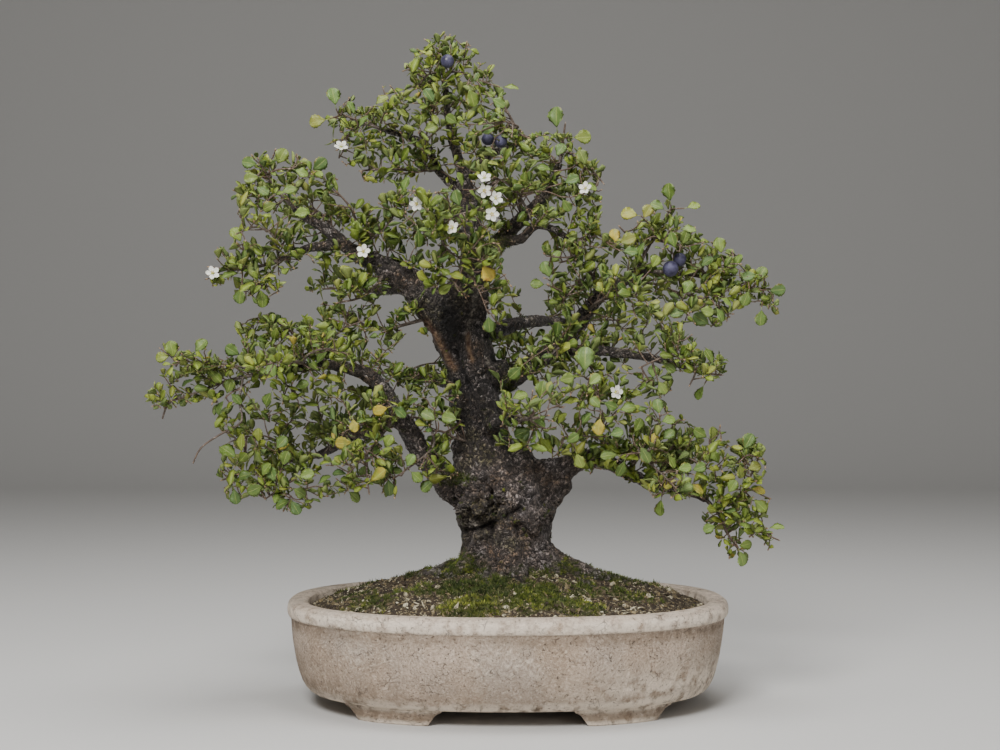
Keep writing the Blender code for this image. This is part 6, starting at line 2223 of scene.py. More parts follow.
class Crown:
    """Where the photograph shows leaves, and where the scene has them already."""

    cell = 5.0

    def __init__(self) -> None:
        """Starts with no leaf, and keeps the outline's edges."""
        ends = CROWN_OUTLINE[1:] + CROWN_OUTLINE[:1]
        self.edges = [(*start, *end) for start, end in zip(CROWN_OUTLINE, ends)]
        self.covered: dict[tuple[int, int], int] = {}
        self.shown: list[tuple[float, float, float, float]] = []

    def holds(self, pixel: tuple[float, float], in_front: bool = True) -> bool:
        """Whether the photograph leaves room for leaves at a pixel, in front of the wood or behind.

        Args:
            pixel: the pixel, across and down.
            in_front: whether the leaves are in front of the wood.

        Returns:
            Whether it does.
        """
        u, v = pixel
        for across, down, half_width, half_height in GAPS + (BARE_WOOD if in_front else ()):
            if ((u - across) / half_width) ** 2 + ((v - down) / half_height) ** 2 < 1:
                return False
        inside = False
        for u0, v0, u1, v1 in self.edges:
            if (v0 > v) != (v1 > v) and u < u0 + (v - v0) / (v1 - v0) * (u1 - u0):
                inside = not inside
        return inside

    def hides(self, pixel: tuple[float, float], depth: float) -> bool:
        """Whether a leaf at a pixel and a depth would hide a flower, a fruit or a large leaf.

        Args:
            pixel: the pixel, across and down.
            depth: the leaf's depth y.

        Returns:
            Whether it would.
        """
        return any(
            math.hypot(pixel[0] - u, pixel[1] - v) < reach and depth < y + 4.0
            for u, v, y, reach in self.shown
        )

    def cover(self, pixel: tuple[float, float]) -> None:
        """Notes that a leaf shows at a pixel."""
        key = (int(pixel[0] / self.cell), int(pixel[1] / self.cell))
        self.covered[key] = self.covered.get(key, 0) + 1

    def count(self, pixel: tuple[float, float]) -> int:
        """How many leaves show about a pixel."""
        return self.covered.get((int(pixel[0] / self.cell), int(pixel[1] / self.cell)), 0)


@dataclass
class Foliage:
    """Every leafy spray, grown from the routes of its stems."""

    place: Place
    view: Viewpoint
    bark: BVHTree
    stem_radii: tuple[float, float] = (1.7, 0.7)
    fork_radii: tuple[float, float] = (1.15, 0.6)
    twig_radii: tuple[float, float] = (0.62, 0.38)
    large_twig_radii: tuple[float, float] = (0.75, 0.5)
    carrier_radii: tuple[float, float] = (0.8, 0.45)
    twig_sides: int = 5
    large_leaf_reach: float = 6.5
    organ_reach: float = 9.5
    turned_share: float = 0.006
    first_spur: float = 38.0
    spur_reach: float = 60.0
    step: float = 4.5
    spacing: float = 4.4
    spur_spacing: float = 7.0
    twig_lengths: tuple[float, float] = (6.0, 24.0)
    leaf_lengths: tuple[float, float, float] = (5.5, 17.0, 9.5)
    fill_step: float = 6.0
    fill_reach: float = 30.0
    fill_rounds: int = 4
    clearance: float = 3.2
    rosette_gap: float = 5.0
    deepest: float = 139.0
    crown_middle: tuple[float, float] = (-25.0, 8.0)
    crown: Crown = field(default_factory=Crown)
    growths: dict[str, Growth] = field(default_factory=dict)
    stems: dict[str, list[Stem]] = field(default_factory=dict)
    taken: dict[tuple[int, int, int], list[Vector]] = field(default_factory=dict)

    def lay_stems(self) -> None:
        """Draws the stems of every spray, forks growing from its first stem."""
        for name, routes in SPRAYS.items():
            growth = Growth(name)
            own: list[Stem] = []
            for route in routes:
                bare = route[-1] == BARE
                points = [point for point in route if point != BARE]
                radii = self.stem_radii
                if own:
                    radii = self.fork_radii
                    distance, _ = own[0].nearest(Vector(points[0]))
                    root, _, _ = own[0].at(max(10.0, distance - 6.0))
                    points = [tuple(root)] + points
                curve = smooth_route(points, self.step)
                taper = np.linspace(radii[0], radii[1], len(curve))
                own.append(Stem(np.column_stack([curve, taper]), bare))
                growth.add_twig(curve, radii, (1.0, 0.35))
            self.stems[name] = own
            self.growths[name] = growth

    def outward(self, point: Vector) -> Vector:
        """The way out of the crown at a point, and a little up."""
        level = point - Vector((*self.crown_middle, point.z))
        return (level + 25.0 * UP).normalized()

    def is_open(self, point: Vector, gap: float) -> bool:
        """Whether leaves may be at a point: in the crown, clear of the bark and each other.

        Args:
            point: a point in the tree's own axes.
            gap: the least distance to the leaves that are there.

        Returns:
            Whether they may.
        """
        pixel = self.view.pixel(point)
        if not self.crown.holds(pixel, point.y < 8.0) or self.crown.hides(pixel, point.y):
            return False
        place, normal, _, away = self.bark.find_nearest(point)
        if away < self.clearance or (point - place).dot(normal) < 0:
            return False
        cell = tuple(int(math.floor(value / gap)) for value in point)
        for x in (-1, 0, 1):
            for y in (-1, 0, 1):
                for z in (-1, 0, 1):
                    for other in self.taken.get((cell[0] + x, cell[1] + y, cell[2] + z), ()):
                        if (other - point).length < gap:
                            return False
        return True

    def take(self, point: Vector) -> None:
        """Notes that leaves are at a point."""
        cell = tuple(int(math.floor(value / self.rosette_gap)) for value in point)
        self.taken.setdefault(cell, []).append(point)

    def tint(self, point: Vector, rng: random.Random) -> float:
        """A leaf's tint: fresher towards the outside and the top of the crown."""
        out = (point - Vector((*self.crown_middle, 300.0))).length / 230.0
        return max(0.0, min(1.0, 0.18 + 0.34 * out + rng.uniform(-0.4, 0.42)))

    def add_rosette(
        self, growth: Growth, centre: Vector, axis: Vector, count: int, rng: random.Random
    ) -> None:
        """Adds a rosette of leaves at a twig's end.

        Args:
            growth: the spray it belongs to.
            centre: where its leaves start.
            axis: the way its twig points.
            count: how many leaves it has.
            rng: the draw.
        """
        side = axis.orthogonal().normalized()
        other = axis.cross(side)
        spin = rng.uniform(0, 2 * math.pi)
        scale = rng.uniform(0.72, 1.22)
        for i in range(count):
            turn = spin + 2.4 * i + rng.uniform(-0.3, 0.3)
            lift = rng.uniform(0.1, 1.0)
            out = side * math.cos(turn) + other * math.sin(turn)
            way = out * math.cos(lift) + axis * math.sin(lift) + 0.55 * UP
            normal = axis * math.cos(lift) - out * math.sin(lift)
            normal = normal + rng.choice((0.3, 0.8, 1.4)) * UP + 0.3 * random_direction(rng)
            foot = centre - axis * rng.uniform(0, 2.4)
            length = scale * rng.triangular(*self.leaf_lengths)
            tint = self.tint(centre, rng)
            autumn = rng.uniform(0.3, 0.9) if rng.random() < self.turned_share else 0.0
            leaf = Leaf(foot, way, normal, length, rng.choice(SMALL_SHAPES), tint, autumn)
            self.add_leaf(growth, leaf)
        length = rng.uniform(2.4, 3.8)
        growth.leaves.append(Leaf(centre - axis * 0.8, axis, side, length, BUD_SHAPE, 0.5))
        self.take(centre)

    def add_leaf(self, growth: Growth, leaf: Leaf) -> None:
        """Adds a leaf where the crown has room for the whole of it.

        Args:
            growth: the spray it belongs to.
            leaf: the leaf.
        """
        steps = [leaf.foot + leaf.way.normalized() * leaf.length * share for share in (1.0, 0.7, 0.35)]
        blade = self.view.pixel(steps[1])
        if not self.crown.holds(blade, steps[0].y < 8.0) or self.crown.hides(blade, steps[0].y):
            return
        if abs(steps[0].y) > self.deepest:
            return
        growth.leaves.append(leaf)
        for point in steps:
            self.crown.cover(self.view.pixel(point))

    def grow_twig(
        self, growth: Growth, root: Vector, along: Vector, share: float, rng: random.Random
    ) -> bool:
        """Grows a twig with its rosettes, if there is room.

        Args:
            growth: the spray it belongs to.
            root: where it starts.
            along: the way its stem runs.
            share: how far along its stem it starts, from 0 to 1.
            rng: the draw.

        Returns:
            Whether it grew.
        """
        for _ in range(5):
            way = random_direction(rng)
            way = way - along * way.dot(along) * 0.6
            way = (way.normalized() + 0.45 * along + 0.35 * self.outward(root) + 0.25 * UP).normalized()
            reach = rng.uniform(*self.twig_lengths) * (1.0 - 0.35 * share)
            bend = random_direction(rng) * 0.16 + UP * 0.14
            points = [root + way * reach * t + bend * reach * t * t for t in (0.0, 0.35, 0.7, 1.0)]
            if not self.is_open(points[-1], self.rosette_gap):
                continue
            growth.add_twig(points, self.twig_radii, (0.5, 0.0))
            axis = (points[-1] - points[-2]).normalized()
            self.add_rosette(growth, points[-1], axis, rng.choice((3, 4, 4, 5)), rng)
            if reach > 11.0:
                for t in ((0.62,) if reach < 18.0 else (0.45, 0.75)):
                    middle = root + way * reach * t + bend * reach * t * t
                    if self.is_open(middle, self.rosette_gap * 0.8):
                        self.add_rosette(growth, middle, (axis + random_direction(rng)).normalized(), 3, rng)
            return True
        return False

    def grow_on_stems(self) -> None:
        """Grows twigs along every stem, and a rosette at its end."""
        for name, stems in self.stems.items():
            rng = random.Random(f"{SEED} {name}")
            growth = self.growths[name]
            for stem in stems:
                if stem.bare:
                    continue
                end, along, _ = stem.at(stem.length)
                self.add_rosette(growth, end, along, 5, rng)
                distance = 5.0
                while distance < stem.length:
                    root, along, _ = stem.at(distance)
                    self.grow_twig(growth, root, along, distance / stem.length, rng)
                    distance += self.spacing * rng.uniform(0.6, 1.4)

    def grow_on_limbs(self) -> None:
        """Grows spurs on the outer parts of the limbs, each in the nearest spray."""
        names = []
        points = []
        for name, stems in self.stems.items():
            for stem in stems:
                points += [Vector(row[:3]) for row in stem.curve]
                names += [name] * len(stem.curve)
        near = kdtree.KDTree(len(points))
        for i, point in enumerate(points):
            near.insert(point, i)
        near.balance()
        rng = random.Random(f"{SEED} limbs")
        for route in LIMBS.values():
            limb = Stem(smooth_route(route, self.step))
            distance = self.first_spur
            while distance < limb.length:
                root, along, radius = limb.at(distance)
                _, nearest, away = near.find(root)
                if away < self.spur_reach:
                    out = random_direction(rng) + 0.5 * UP
                    out = (out - along * out.dot(along)).normalized()
                    root = root + out * radius * 0.8
                    self.grow_twig(self.growths[names[nearest]], root, (along + out).normalized(), 0.9, rng)
                distance += self.spur_spacing * rng.uniform(0.6, 1.4)

    def fill_crown(self) -> None:
        """Grows twigs to wherever the crown's outline still shows no leaf."""
        rng = random.Random(f"{SEED} fill")
        lefts, tops = zip(*CROWN_OUTLINE)
        across = np.arange(min(lefts), max(lefts), self.fill_step)
        down = np.arange(min(tops), max(tops), self.fill_step)
        places = [(float(u), float(v)) for v in down for u in across]
        for _ in range(self.fill_rounds):
            hosts = []
            for name, growth in self.growths.items():
                bare = [stem.curve[0, 0] for stem in self.stems[name] if stem.bare]
                leafy = [twig for twig in growth.twigs if twig[0, 0] not in bare]
                hosts += [(Vector(row[:3]), name) for twig in leafy for row in twig]
            near = kdtree.KDTree(len(hosts))
            for i, (point, _) in enumerate(hosts):
                near.insert((*self.view.pixel(point), 0.0), i)
            near.balance()
            rng.shuffle(places)
            for place in places:
                pixel = (place[0] + rng.uniform(-3, 3), place[1] + rng.uniform(-3, 3))
                if self.crown.count(pixel) or not self.crown.holds(pixel):
                    continue
                found = near.find_n((*pixel, 0.0), 8)
                root, name = hosts[found[min(7, int(rng.expovariate(0.6)))][1]]
                target = self.view.point(pixel, root.y + rng.gauss(0.0, 6.0))
                self.fill_twig(self.growths[name], root, target, rng)

    def fill_twig(self, growth: Growth, root: Vector, target: Vector, rng: random.Random) -> None:
        """Grows a crooked twig with rosettes to a target, if that is near and the way is leafy.

        Args:
            growth: the spray it belongs to.
            root: where it starts.
            target: where it should end.
            rng: the draw.
        """
        away = target - root
        middle = self.view.pixel(root + away * 0.5)
        if away.length > self.fill_reach or not self.is_open(target, 3.6) or not self.crown.holds(middle):
            return
        kinks = [random_direction(rng) * away.length * 0.09 for _ in range(2)]
        points = [root, root + away * 0.33 + kinks[0], root + away * 0.68 + kinks[1], target]
        growth.add_twig(points, self.twig_radii, (0.5, 0.0))
        axis = (points[-1] - points[-2]).normalized()
        self.add_rosette(growth, target, axis, rng.choice((3, 4, 5)), rng)
        if away.length > 18.0 and self.is_open(points[2], 3.6):
            self.add_rosette(growth, points[2], (axis + random_direction(rng)).normalized(), 3, rng)

    def nearest_stem(self, target: Vector) -> tuple[str, Stem, float]:
        """Finds the stem that passes nearest a point.

        Args:
            target: the point.

        Returns:
            The stem's spray, the stem, and the distance along it.
        """
        best = None
        for name, stems in self.stems.items():
            for stem in stems:
                distance, away = stem.nearest(target)
                if best is None or away < best[0]:
                    best = (away, name, stem, distance)
        return best[1:]

    def add_large_leaves(self) -> None:
        """Adds the large single leaves, each on a twig of its own from the nearest stem."""
        for across, down, depth, tilt, length, *turned in LARGE_LEAVES:
            autumn = sum(turned)
            middle = self.view.point((across, down), depth - 8.0)
            rng = random.Random(f"{SEED} large {across} {down}")
            turn = math.radians(tilt)
            way = Vector((math.cos(turn), rng.uniform(-0.25, 0.1), math.sin(turn))).normalized()
            foot = middle - way * length * 0.55
            name, stem, distance = self.nearest_stem(foot - way * 8.0)
            root, _, _ = stem.at(distance)
            bend = root.lerp(foot, 0.6) - way * 3.0 + random_direction(rng)
            points = smooth_route([tuple(root), tuple(bend), tuple(foot)], 3.0)
            growth = self.growths[name]
            growth.add_twig(points, self.large_twig_radii, (0.5, 0.0))
            normal = (FRONT + 0.45 * UP + 0.75 * random_direction(rng)).normalized()
            tint = rng.uniform(0.1, 0.7)
            blue = rng.uniform(0.1, 0.7) * (1 - autumn)
            growth.leaves.append(Leaf(foot, way, normal, length, LARGE_SHAPE, tint, autumn, blue))
            for share in (0.3, 0.65, 1.0):
                self.crown.cover(self.view.pixel(foot + way * length * share))
            for share in (0.45, 0.75):
                pixel = self.view.pixel(foot + way * length * share)
                self.crown.shown.append((*pixel, middle.y + 6.0, self.large_leaf_reach))

    def carry(self, end: Vector, axis: Vector, rng: random.Random) -> None:
        """Grows a bare twig from the nearest stem to a flower's or a fruit's stalk.

        Args:
            end: the end of the stalk.
            axis: the way that the flower or the fruit points.
            rng: the draw.
        """
        name, stem, distance = self.nearest_stem(end)
        shown = end + axis * 6.0
        self.crown.shown.append((*self.view.pixel(shown), shown.y, self.organ_reach))
        root, _, _ = stem.at(max(2.0, distance - 5.0))
        approach = end - axis * 6.0
        middle = root.lerp(approach, 0.5) + random_direction(rng) * 2.0
        points = smooth_route([tuple(root), tuple(middle), tuple(approach), tuple(end)], 3.0)
        self.growths[name].add_twig(points, self.carrier_radii, (0.6, 0.1))

    def build(self, finishes: Finishes) -> list[Piece]:
        """Makes every spray's mesh.

        Args:
            finishes: the object's materials.

        Returns:
            The sprays.
        """
        shapes = bpy.data.collections.new("leaf_shapes")
        for shape in LEAF_SHAPES:
            shapes.objects.link(shape.build())
        shapes.objects.link(bud())
        inputs = {"Leaf Shapes": shapes, "Twig Sides": self.twig_sides}
        inputs |= {"Twig": finishes.twig, "Leaf": finishes.leaf, "Leaf Under": finishes.leaf_under}
        tree = dressing_tree()
        made = []
        for name, growth in self.growths.items():
            obj = growth.build(self.place, tree, inputs)
            obj.data.shade_smooth()
            made.append(finish_piece(obj, Slot.LEAF, f"spray_{name}"))
        for obj in list(shapes.objects):
            remove(obj)
        bpy.data.collections.remove(shapes)
        LOG.info("%d leaves", sum(len(growth.leaves) for growth in self.growths.values()))
        return made


@dataclass
class Bloom:
    """A blackthorn flower: five cupped petals, a ring of stamens, on a short stalk."""

    place: Place
    node: str
    petal_length: float = 4.7
    petal_width: float = 3.9
    petal_outline: tuple[float, ...] = (0.2, 0.52, 0.82, 0.98, 1.0, 0.88, 0.52)
    cup: float = 0.28
    stamens: int = 12
    stamen_length: float = 2.9
    stalk: float = 7.0

    def read(self) -> tuple[Vector, Vector]:
        """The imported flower's middle and the way that it faces.

        Returns:
            The middle and the way.
        """
        points = self.place.millimetres([v.co for v in frame["nodes"][self.node].data.vertices])
        middle = points.mean(axis=0)
        _, vectors = np.linalg.eigh(np.cov((points - middle).T))
        axis = vectors[:, 0]
        heights = (points - middle) @ axis
        if (heights**3).sum() > 0:
            axis = -axis
            heights = -heights
        centre = middle + axis * (heights.max() - 2.1)
        return Vector(centre), Vector(axis)

    def petal(self, turn: float, frame_of: Matrix, rng: random.Random) -> Solid:
        """One petal, closed and a little cupped, its edge waved.

        Args:
            turn: its turn about the flower's axis.
            frame_of: the flower's own axes.
            rng: the draw.

        Returns:
            Its points and faces.
        """
        points: list[Vector] = []
        rows = len(self.petal_outline) - 1
        cup = self.cup + rng.uniform(-0.12, 0.12)
        spin = Matrix.Rotation(turn, 3, "Z")
        for below in (0.0, 0.16):
            for i in range(rows + 1):
                share = i / rows
                half = self.petal_width / 2 * self.petal_outline[i]
                for s in (-1.0, -0.5, 0.0, 0.5, 1.0):
                    out = 0.9 + self.petal_length * share - 0.5 * (s * s) * share
                    rise = cup * self.petal_length * share**1.6 + 0.35 * s * s * share - below
                    rise += 0.15 * math.sin(5 * share + 3 * s + turn)
                    points.append(frame_of @ (spin @ Vector((out, half * s, rise))))
        columns = 5
        layer = (rows + 1) * columns
        faces: list[tuple[int, ...]] = []
        for i in range(rows):
            for k in range(columns - 1):
                a = i * columns + k
                faces.append((a, a + columns, a + columns + 1, a + 1))
                faces.append((layer + a, layer + a + 1, layer + a + columns + 1, layer + a + columns))
        rim = list(range(columns))
        rim += [i * columns + columns - 1 for i in range(1, rows + 1)]
        rim += [rows * columns + k for k in range(columns - 2, -1, -1)]
        rim += [i * columns for i in range(rows - 1, 0, -1)]
        for a, b in zip(rim, rim[1:] + rim[:1]):
            faces.append((a, b, layer + b, layer + a))
        return points, faces

    def build(self, finishes: Finishes) -> tuple[Piece, Vector, Vector]:
        """Makes the flower.

        Args:
            finishes: the object's materials.

        Returns:
            It, the end of its stalk and the way that it faces.
        """
        rng = random.Random(f"{SEED} {self.node}")
        centre, axis = self.read()
        side = axis.orthogonal().normalized()
        turned = Matrix((side, axis.cross(side), axis)).transposed()
        heap = Heap()

        def grow(rows: Sequence[tuple[Vector, float]], sides: int, part: float) -> None:
            """Adds a tube through points, each with its radius."""
            heap.add(*tube(np.array([(*point, radius) for point, radius in rows]), sides), part)

        spin = rng.uniform(0, 2 * math.pi)
        for i in range(5):
            turn = spin + 2 * math.pi * i / 5 + rng.uniform(-0.08, 0.08)
            heap.add(*self.petal(turn, turned, rng))
        for i in range(self.stamens):
            turn = 2 * math.pi * i / self.stamens + rng.uniform(-0.2, 0.2)
            lean = rng.uniform(0.25, 0.75)
            way = turned @ Vector((math.cos(turn) * lean, math.sin(turn) * lean, 1.0)).normalized()
            tip = way * self.stamen_length * rng.uniform(0.75, 1.1)
            grow([(way * 0.5, 0.09), (tip, 0.08)], 4, 0.0)
            grow([(tip - way * 0.15, 0.05), (tip + way * 0.1, 0.3), (tip + way * 0.45, 0.08)], 5, 2.0)
        grow([(-axis * 1.6, 0.5), (-axis * 0.9, 1.15), (-axis * 0.1, 1.5), (axis * 0.45, 0.8)], 10, 1.0)
        for i in range(5):
            turn = spin + 2 * math.pi * (i + 0.5) / 5
            out = turned @ Vector((math.cos(turn), math.sin(turn), 0.0))
            sepal = ((0.9, 0.4, 0.7), (2.2, 0.5, 0.55), (3.1, 0.2, 0.1))
            grow([(out * far - axis * back, radius) for far, back, radius in sepal], 5, 3.0)
        grow([(-axis * self.stalk, 0.42), (-axis * 4.0, 0.4), (-axis * 1.4, 0.55)], 6, 3.0)
        points = self.place.metres([centre + point for point in heap.points])
        obj = new_object(f"flower_{self.node[6:]}", points, heap.faces, (finishes.petal,))
        store(obj, "part", heap.values)
        turn_out(obj)
        shade_smooth(obj)
        finish_piece(obj, Slot.PETAL, self.node)
        return obj, centre - axis * self.stalk, axis


@dataclass
class Sloe:
    """A sloe: a round fruit with a dimple at its stalk, under a waxy bloom."""

    place: Place
    node: str
    radius: float = 6.0
    stalk: float = 4.0
    sides: int = 28
    rings: int = 18

    def read(self) -> tuple[Vector, Vector]:
        """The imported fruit's middle and the way from its stalk to its tip.

        Returns:
            The middle and the way.
        """
        points = self.place.millimetres([v.co for v in frame["nodes"][self.node].data.vertices])
        middle = points.mean(axis=0)
        for _ in range(12):
            near = points[np.linalg.norm(points - middle, axis=1) < self.radius * 1.25]
            middle = (near.min(axis=0) + near.max(axis=0)) / 2
        away = points - middle
        stalk = away[np.argmax(np.linalg.norm(away, axis=1))]
        return Vector(middle), -Vector(stalk).normalized()

    def build(self, finishes: Finishes) -> tuple[Piece, Vector, Vector]:
        """Makes the sloe.

        Args:
            finishes: the object's materials.

        Returns:
            It, the end of its stalk and the way that it points.
        """
        centre, axis = self.read()
        side = axis.orthogonal().normalized()
        other = axis.cross(side)
        rings = []
        for k in range(self.rings + 1):
            turn = math.pi * (0.012 + 0.976 * k / self.rings)
            radius = self.radius * math.sin(turn)
            dimple = 0.9 * math.exp(-((turn / 0.32) ** 2)) + 0.25 * math.exp(-(((math.pi - turn) / 0.2) ** 2))
            height = -(self.radius - dimple) * math.cos(turn)
            ring = []
            for i in range(self.sides):
                angle = 2 * math.pi * i / self.sides
                crease = 1.0 - 0.035 * math.exp(-((angle - math.pi) / 0.22) ** 2)
                offset = (side * math.cos(angle) + other * math.sin(angle)) * radius * crease
                ring.append(centre + axis * height + offset)
            rings.append(ring)
        heap = Heap()
        heap.add(*loft(rings))
        end = centre - axis * (self.radius + self.stalk)
        rows = ((self.radius + self.stalk, 0.5), (self.radius + 1.2, 0.45), (self.radius - 1.4, 0.75))
        stem = [(*(centre - axis * back), radius) for back, radius in rows]
        heap.add(*tube(np.array(stem), 8), 1.0)
        points = self.place.metres(heap.points)
        obj = new_object(f"fruit_{self.node[5:]}", points, heap.faces, (finishes.sloe,))
        store(obj, "part", heap.values)
        turn_out(obj)
        shade_smooth(obj)
        finish_piece(obj, Slot.FRUIT, self.node)
        return obj, end, axis


@dataclass
class Pot:
    """The oval pot: one fired piece with a rolled rim and four feet."""

    place: Place
    oval: Oval = Oval()
    sides: int = 192
    underside: float = 11.5
    profile: tuple[tuple[float, float], ...] = (
        (30.0, 11.5), (24.0, 11.5), (19.5, 12.4), (16.6, 14.2), (14.2, 17.0), (12.0, 21.0),
        (9.6, 28.0), (7.5, 36.0), (6.0, 44.0), (4.8, 52.0), (3.9, 60.0), (3.3, 66.5),
        (3.1, 69.4), (2.4, 70.9), (1.0, 71.8), (0.3, 73.4), (0.0, 76.0), (0.3, 78.8),
        (1.2, 81.2), (3.2, 82.7), (6.0, 83.1), (11.0, 83.1), (14.0, 82.7), (16.2, 81.4),
        (17.0, 79.0), (17.0, 60.0), (17.0, 40.0), (17.0, 26.0), (19.0, 22.0), (24.0, 20.5),
    )
    drain_x: float = 80.0
    drain_radius: float = 10.0
    foot_ground: tuple[float, float] = (59.0, 113.0)
    foot_root: tuple[float, float] = (51.0, 122.0)
    foot_inset: float = 22.5
    foot_depth: float = 21.0
    foot_steps: int = 14
    foot_levels: tuple[Point, ...] = (
        (0.0, 0.0, 1.2), (1.0, 0.02, 0.2), (4.5, 0.32, 0.0), (8.0, 0.62, -0.2),
        (9.6, 0.82, -0.9), (10.6, 1.0, -1.7), (12.6, 1.0, -1.7),
    )

    def wobble(self, point: Point, amount: float) -> Point:
        """A point of the wall, moved a little: the pot was made by hand.

        Args:
            point: a point of the wall.
            amount: how far it may move, in millimetres.

        Returns:
            The moved point.
        """
        x, y, z = point
        reach = math.hypot(x, y)
        swell = noise.noise(Vector((x / 60, y / 60, z / 45 + 7))) * 0.9
        swell += noise.noise(Vector((x / 17, y / 17, z / 14))) * 0.35
        share = 1 + amount * swell / reach
        return (x * share, y * share, z + amount * 0.25 * noise.noise(Vector((x / 70, y / 70, 3))))

    def bowl(self) -> Piece:
        """The bowl, from under its floor, round the rim and down to the floor inside.

        Returns:
            The bowl.
        """
        rings = []
        for inset, height in self.profile:
            ring = self.oval.ring(inset, height, self.sides)
            outside = 13.0 < height and inset < 16.9
            rings.append([self.wobble(p, 0.8) if outside else p for p in ring])
        points, faces = loft(rings)
        return new_object("pot_body", self.place.metres(points), faces)

    def foot(self, side_x: int, side_y: int) -> Piece:
        """One foot, which flares to a small ledge where it meets the pot.

        Args:
            side_x: -1 for the left, 1 for the right.
            side_y: -1 for the front, 1 for the back.

        Returns:
            The foot.
        """
        rings = []
        for height, share, shrink in self.foot_levels:
            start = self.foot_ground[0] + (self.foot_root[0] - self.foot_ground[0]) * share + shrink
            end = self.foot_ground[1] + (self.foot_root[1] - self.foot_ground[1]) * share - shrink
            outer = []
            for i in range(self.foot_steps + 1):
                x = start + (end - start) * i / self.foot_steps
                edge = 1 - (x / (self.oval.length / 2 - self.foot_inset)) ** self.oval.power
                y = (self.oval.width / 2 - self.foot_inset) * edge ** (1 / self.oval.power)
                corner = 1.6 * (abs(2 * i / self.foot_steps - 1)) ** 8
                outer.append((x, y - shrink - corner))
            inner = [(x, y - self.foot_depth) for x, y in reversed(outer)]
            rings.append([(x * side_x, y * side_y, height) for x, y in outer + inner])
        points, faces = loft(rings)
        return new_object("foot", self.place.metres(points), faces)

    def build(self, finishes: Finishes) -> Piece:
        """Makes the pot and marks its worn edges and its stains.

        Args:
            finishes: the object's materials.

        Returns:
            The pot.
        """
        pot = self.bowl()
        turn_out(pot)
        others = [self.foot(x, y) for x in (-1, 1) for y in (-1, 1)]
        for foot in others:
            turn_out(foot)
        for x in (-self.drain_x, self.drain_x):
            turns = [2 * math.pi * i / 40 for i in range(40)]
            circle = [(x + self.drain_radius * math.cos(t), self.drain_radius * math.sin(t)) for t in turns]
            rings = [[(*point, height) for point in circle] for height in (self.underside - 5, 26.0)]
            points, faces = loft(rings)
            drill = new_object("drill", self.place.metres(points), faces)
            turn_out(drill)
            self.combine(pot, drill, "DIFFERENCE")
        for foot in others:
            self.combine(pot, foot, "UNION")
        self.mark(pot)
        pot.data.materials.clear()
        pot.data.materials.append(finishes.ceramic)
        shade_smooth(pot, 38)
        return finish_piece(pot, Slot.CERAMIC, "pot")

    @staticmethod
    def combine(pot: Piece, other: Piece, operation: str) -> None:
        """Joins another solid to the pot, or cuts it out.

        Args:
            pot: the pot.
            other: the other solid, which is used up.
            operation: UNION or DIFFERENCE.
        """
        modifier = pot.modifiers.new("combine", "BOOLEAN")
        modifier.operation = operation
        modifier.object = other
        modifier.solver = "MANIFOLD"
        bake(pot)
        remove(other)

    def mark(self, pot: Piece) -> None:
        """Stores, for each point, the glaze's wear with a painted highlight on the rim, and its stains with
        painted shade.

        Args:
            pot: the pot.
        """
        points = self.place.millimetres([v.co for v in pot.data.vertices])
        z = points[:, 2]
        # Painted highlight: the rim's outer band and its top edge are lightened, as light from above falls on
        # them. The ledge at z 13.6, the bottom of the feet and a band low on the right are lightened too.
        worn = np.exp(-(((z - 82.5) / 2.2) ** 2)) * 0.5 + 1.6 * np.exp(-(((z - 13.6) / 3.2) ** 2))
        worn += np.exp(-((z / 2.6) ** 2)) + 1.0 * ((z > 71.0) & (z < 81.0))
        right = np.clip((points[:, 0] - 20) / 130, 0, 1) * np.exp(-(((z - 26) / 16) ** 2))
        # Painted shade, partly stain: the wall darkens towards its left and right ends and towards the
        # bottom, where less light falls.
        sides = 0.5 * np.clip((points[:, 0] - 50) / 100, 0, 1)
        sides += 0.35 * np.clip((-90 - points[:, 0]) / 70, 0, 1)
        grime_and_shade = 0.95 * np.clip((52 - z) / 36, 0, 1) + 0.8 * sides * (z < 71)
        # Darker in the creases under the rim's lip and above the feet.
        stained = np.exp(-(((z - 67.5) / 3.0) ** 2)) + 0.8 * np.exp(-(((z - 10.5) / 2.0) ** 2))
        inside = np.array([self.oval.share(x, y, 16.0) < 1.0 for x, y, _ in points])
        # Stains inside and on the rim's top, and painted shade on the feet below z 16.
        stained += 0.7 * inside + 0.45 * (z > 81.5) + np.clip((16 - z) / 6, 0, 1)
        store(pot, "worn", np.clip(worn + right, 0, 1))
        store(pot, "stained", np.clip(stained + grime_and_shade, 0, 1.6))


@dataclass(frozen=True)
class MossSpot:
    """A spot of moss on the mound: its middle, its reach and how thickly it grows."""

    x: float
    y: float
    reach_x: float
    reach_y: float
    strength: float = 1.0
    yellow: float = 0.5


MOSS_SPOTS = (
    MossSpot(-27, -90, 25, 18, 1.2, 0.95), MossSpot(-26, -60, 36, 18, 1.2, 0.12),
    MossSpot(18, -74, 30, 26, 1.1, 0.5), MossSpot(50, -86, 26, 16, 0.85, 0.6),
    MossSpot(60, -56, 26, 14, 0.7, 0.35), MossSpot(96, -50, 24, 16, 0.65, 0.5),
    MossSpot(62, -8, 40, 16, 0.9, 0.45), MossSpot(-104, -62, 24, 14, 0.75, 0.6),
    MossSpot(-72, -52, 26, 15, 0.65, 0.5), MossSpot(-118, -30, 20, 18, 0.6, 0.4),
    MossSpot(-70, 50, 40, 22, 0.8, 0.4), MossSpot(40, 66, 40, 20, 0.9, 0.5),
    MossSpot(110, 40, 24, 20, 0.7, 0.5), MossSpot(0, 58, 26, 12, 0.8, 0.3),
    MossSpot(0, 0, 54, 46, 0.85, 0.3), MossSpot(-120, 30, 22, 20, 0.6, 0.5),
)

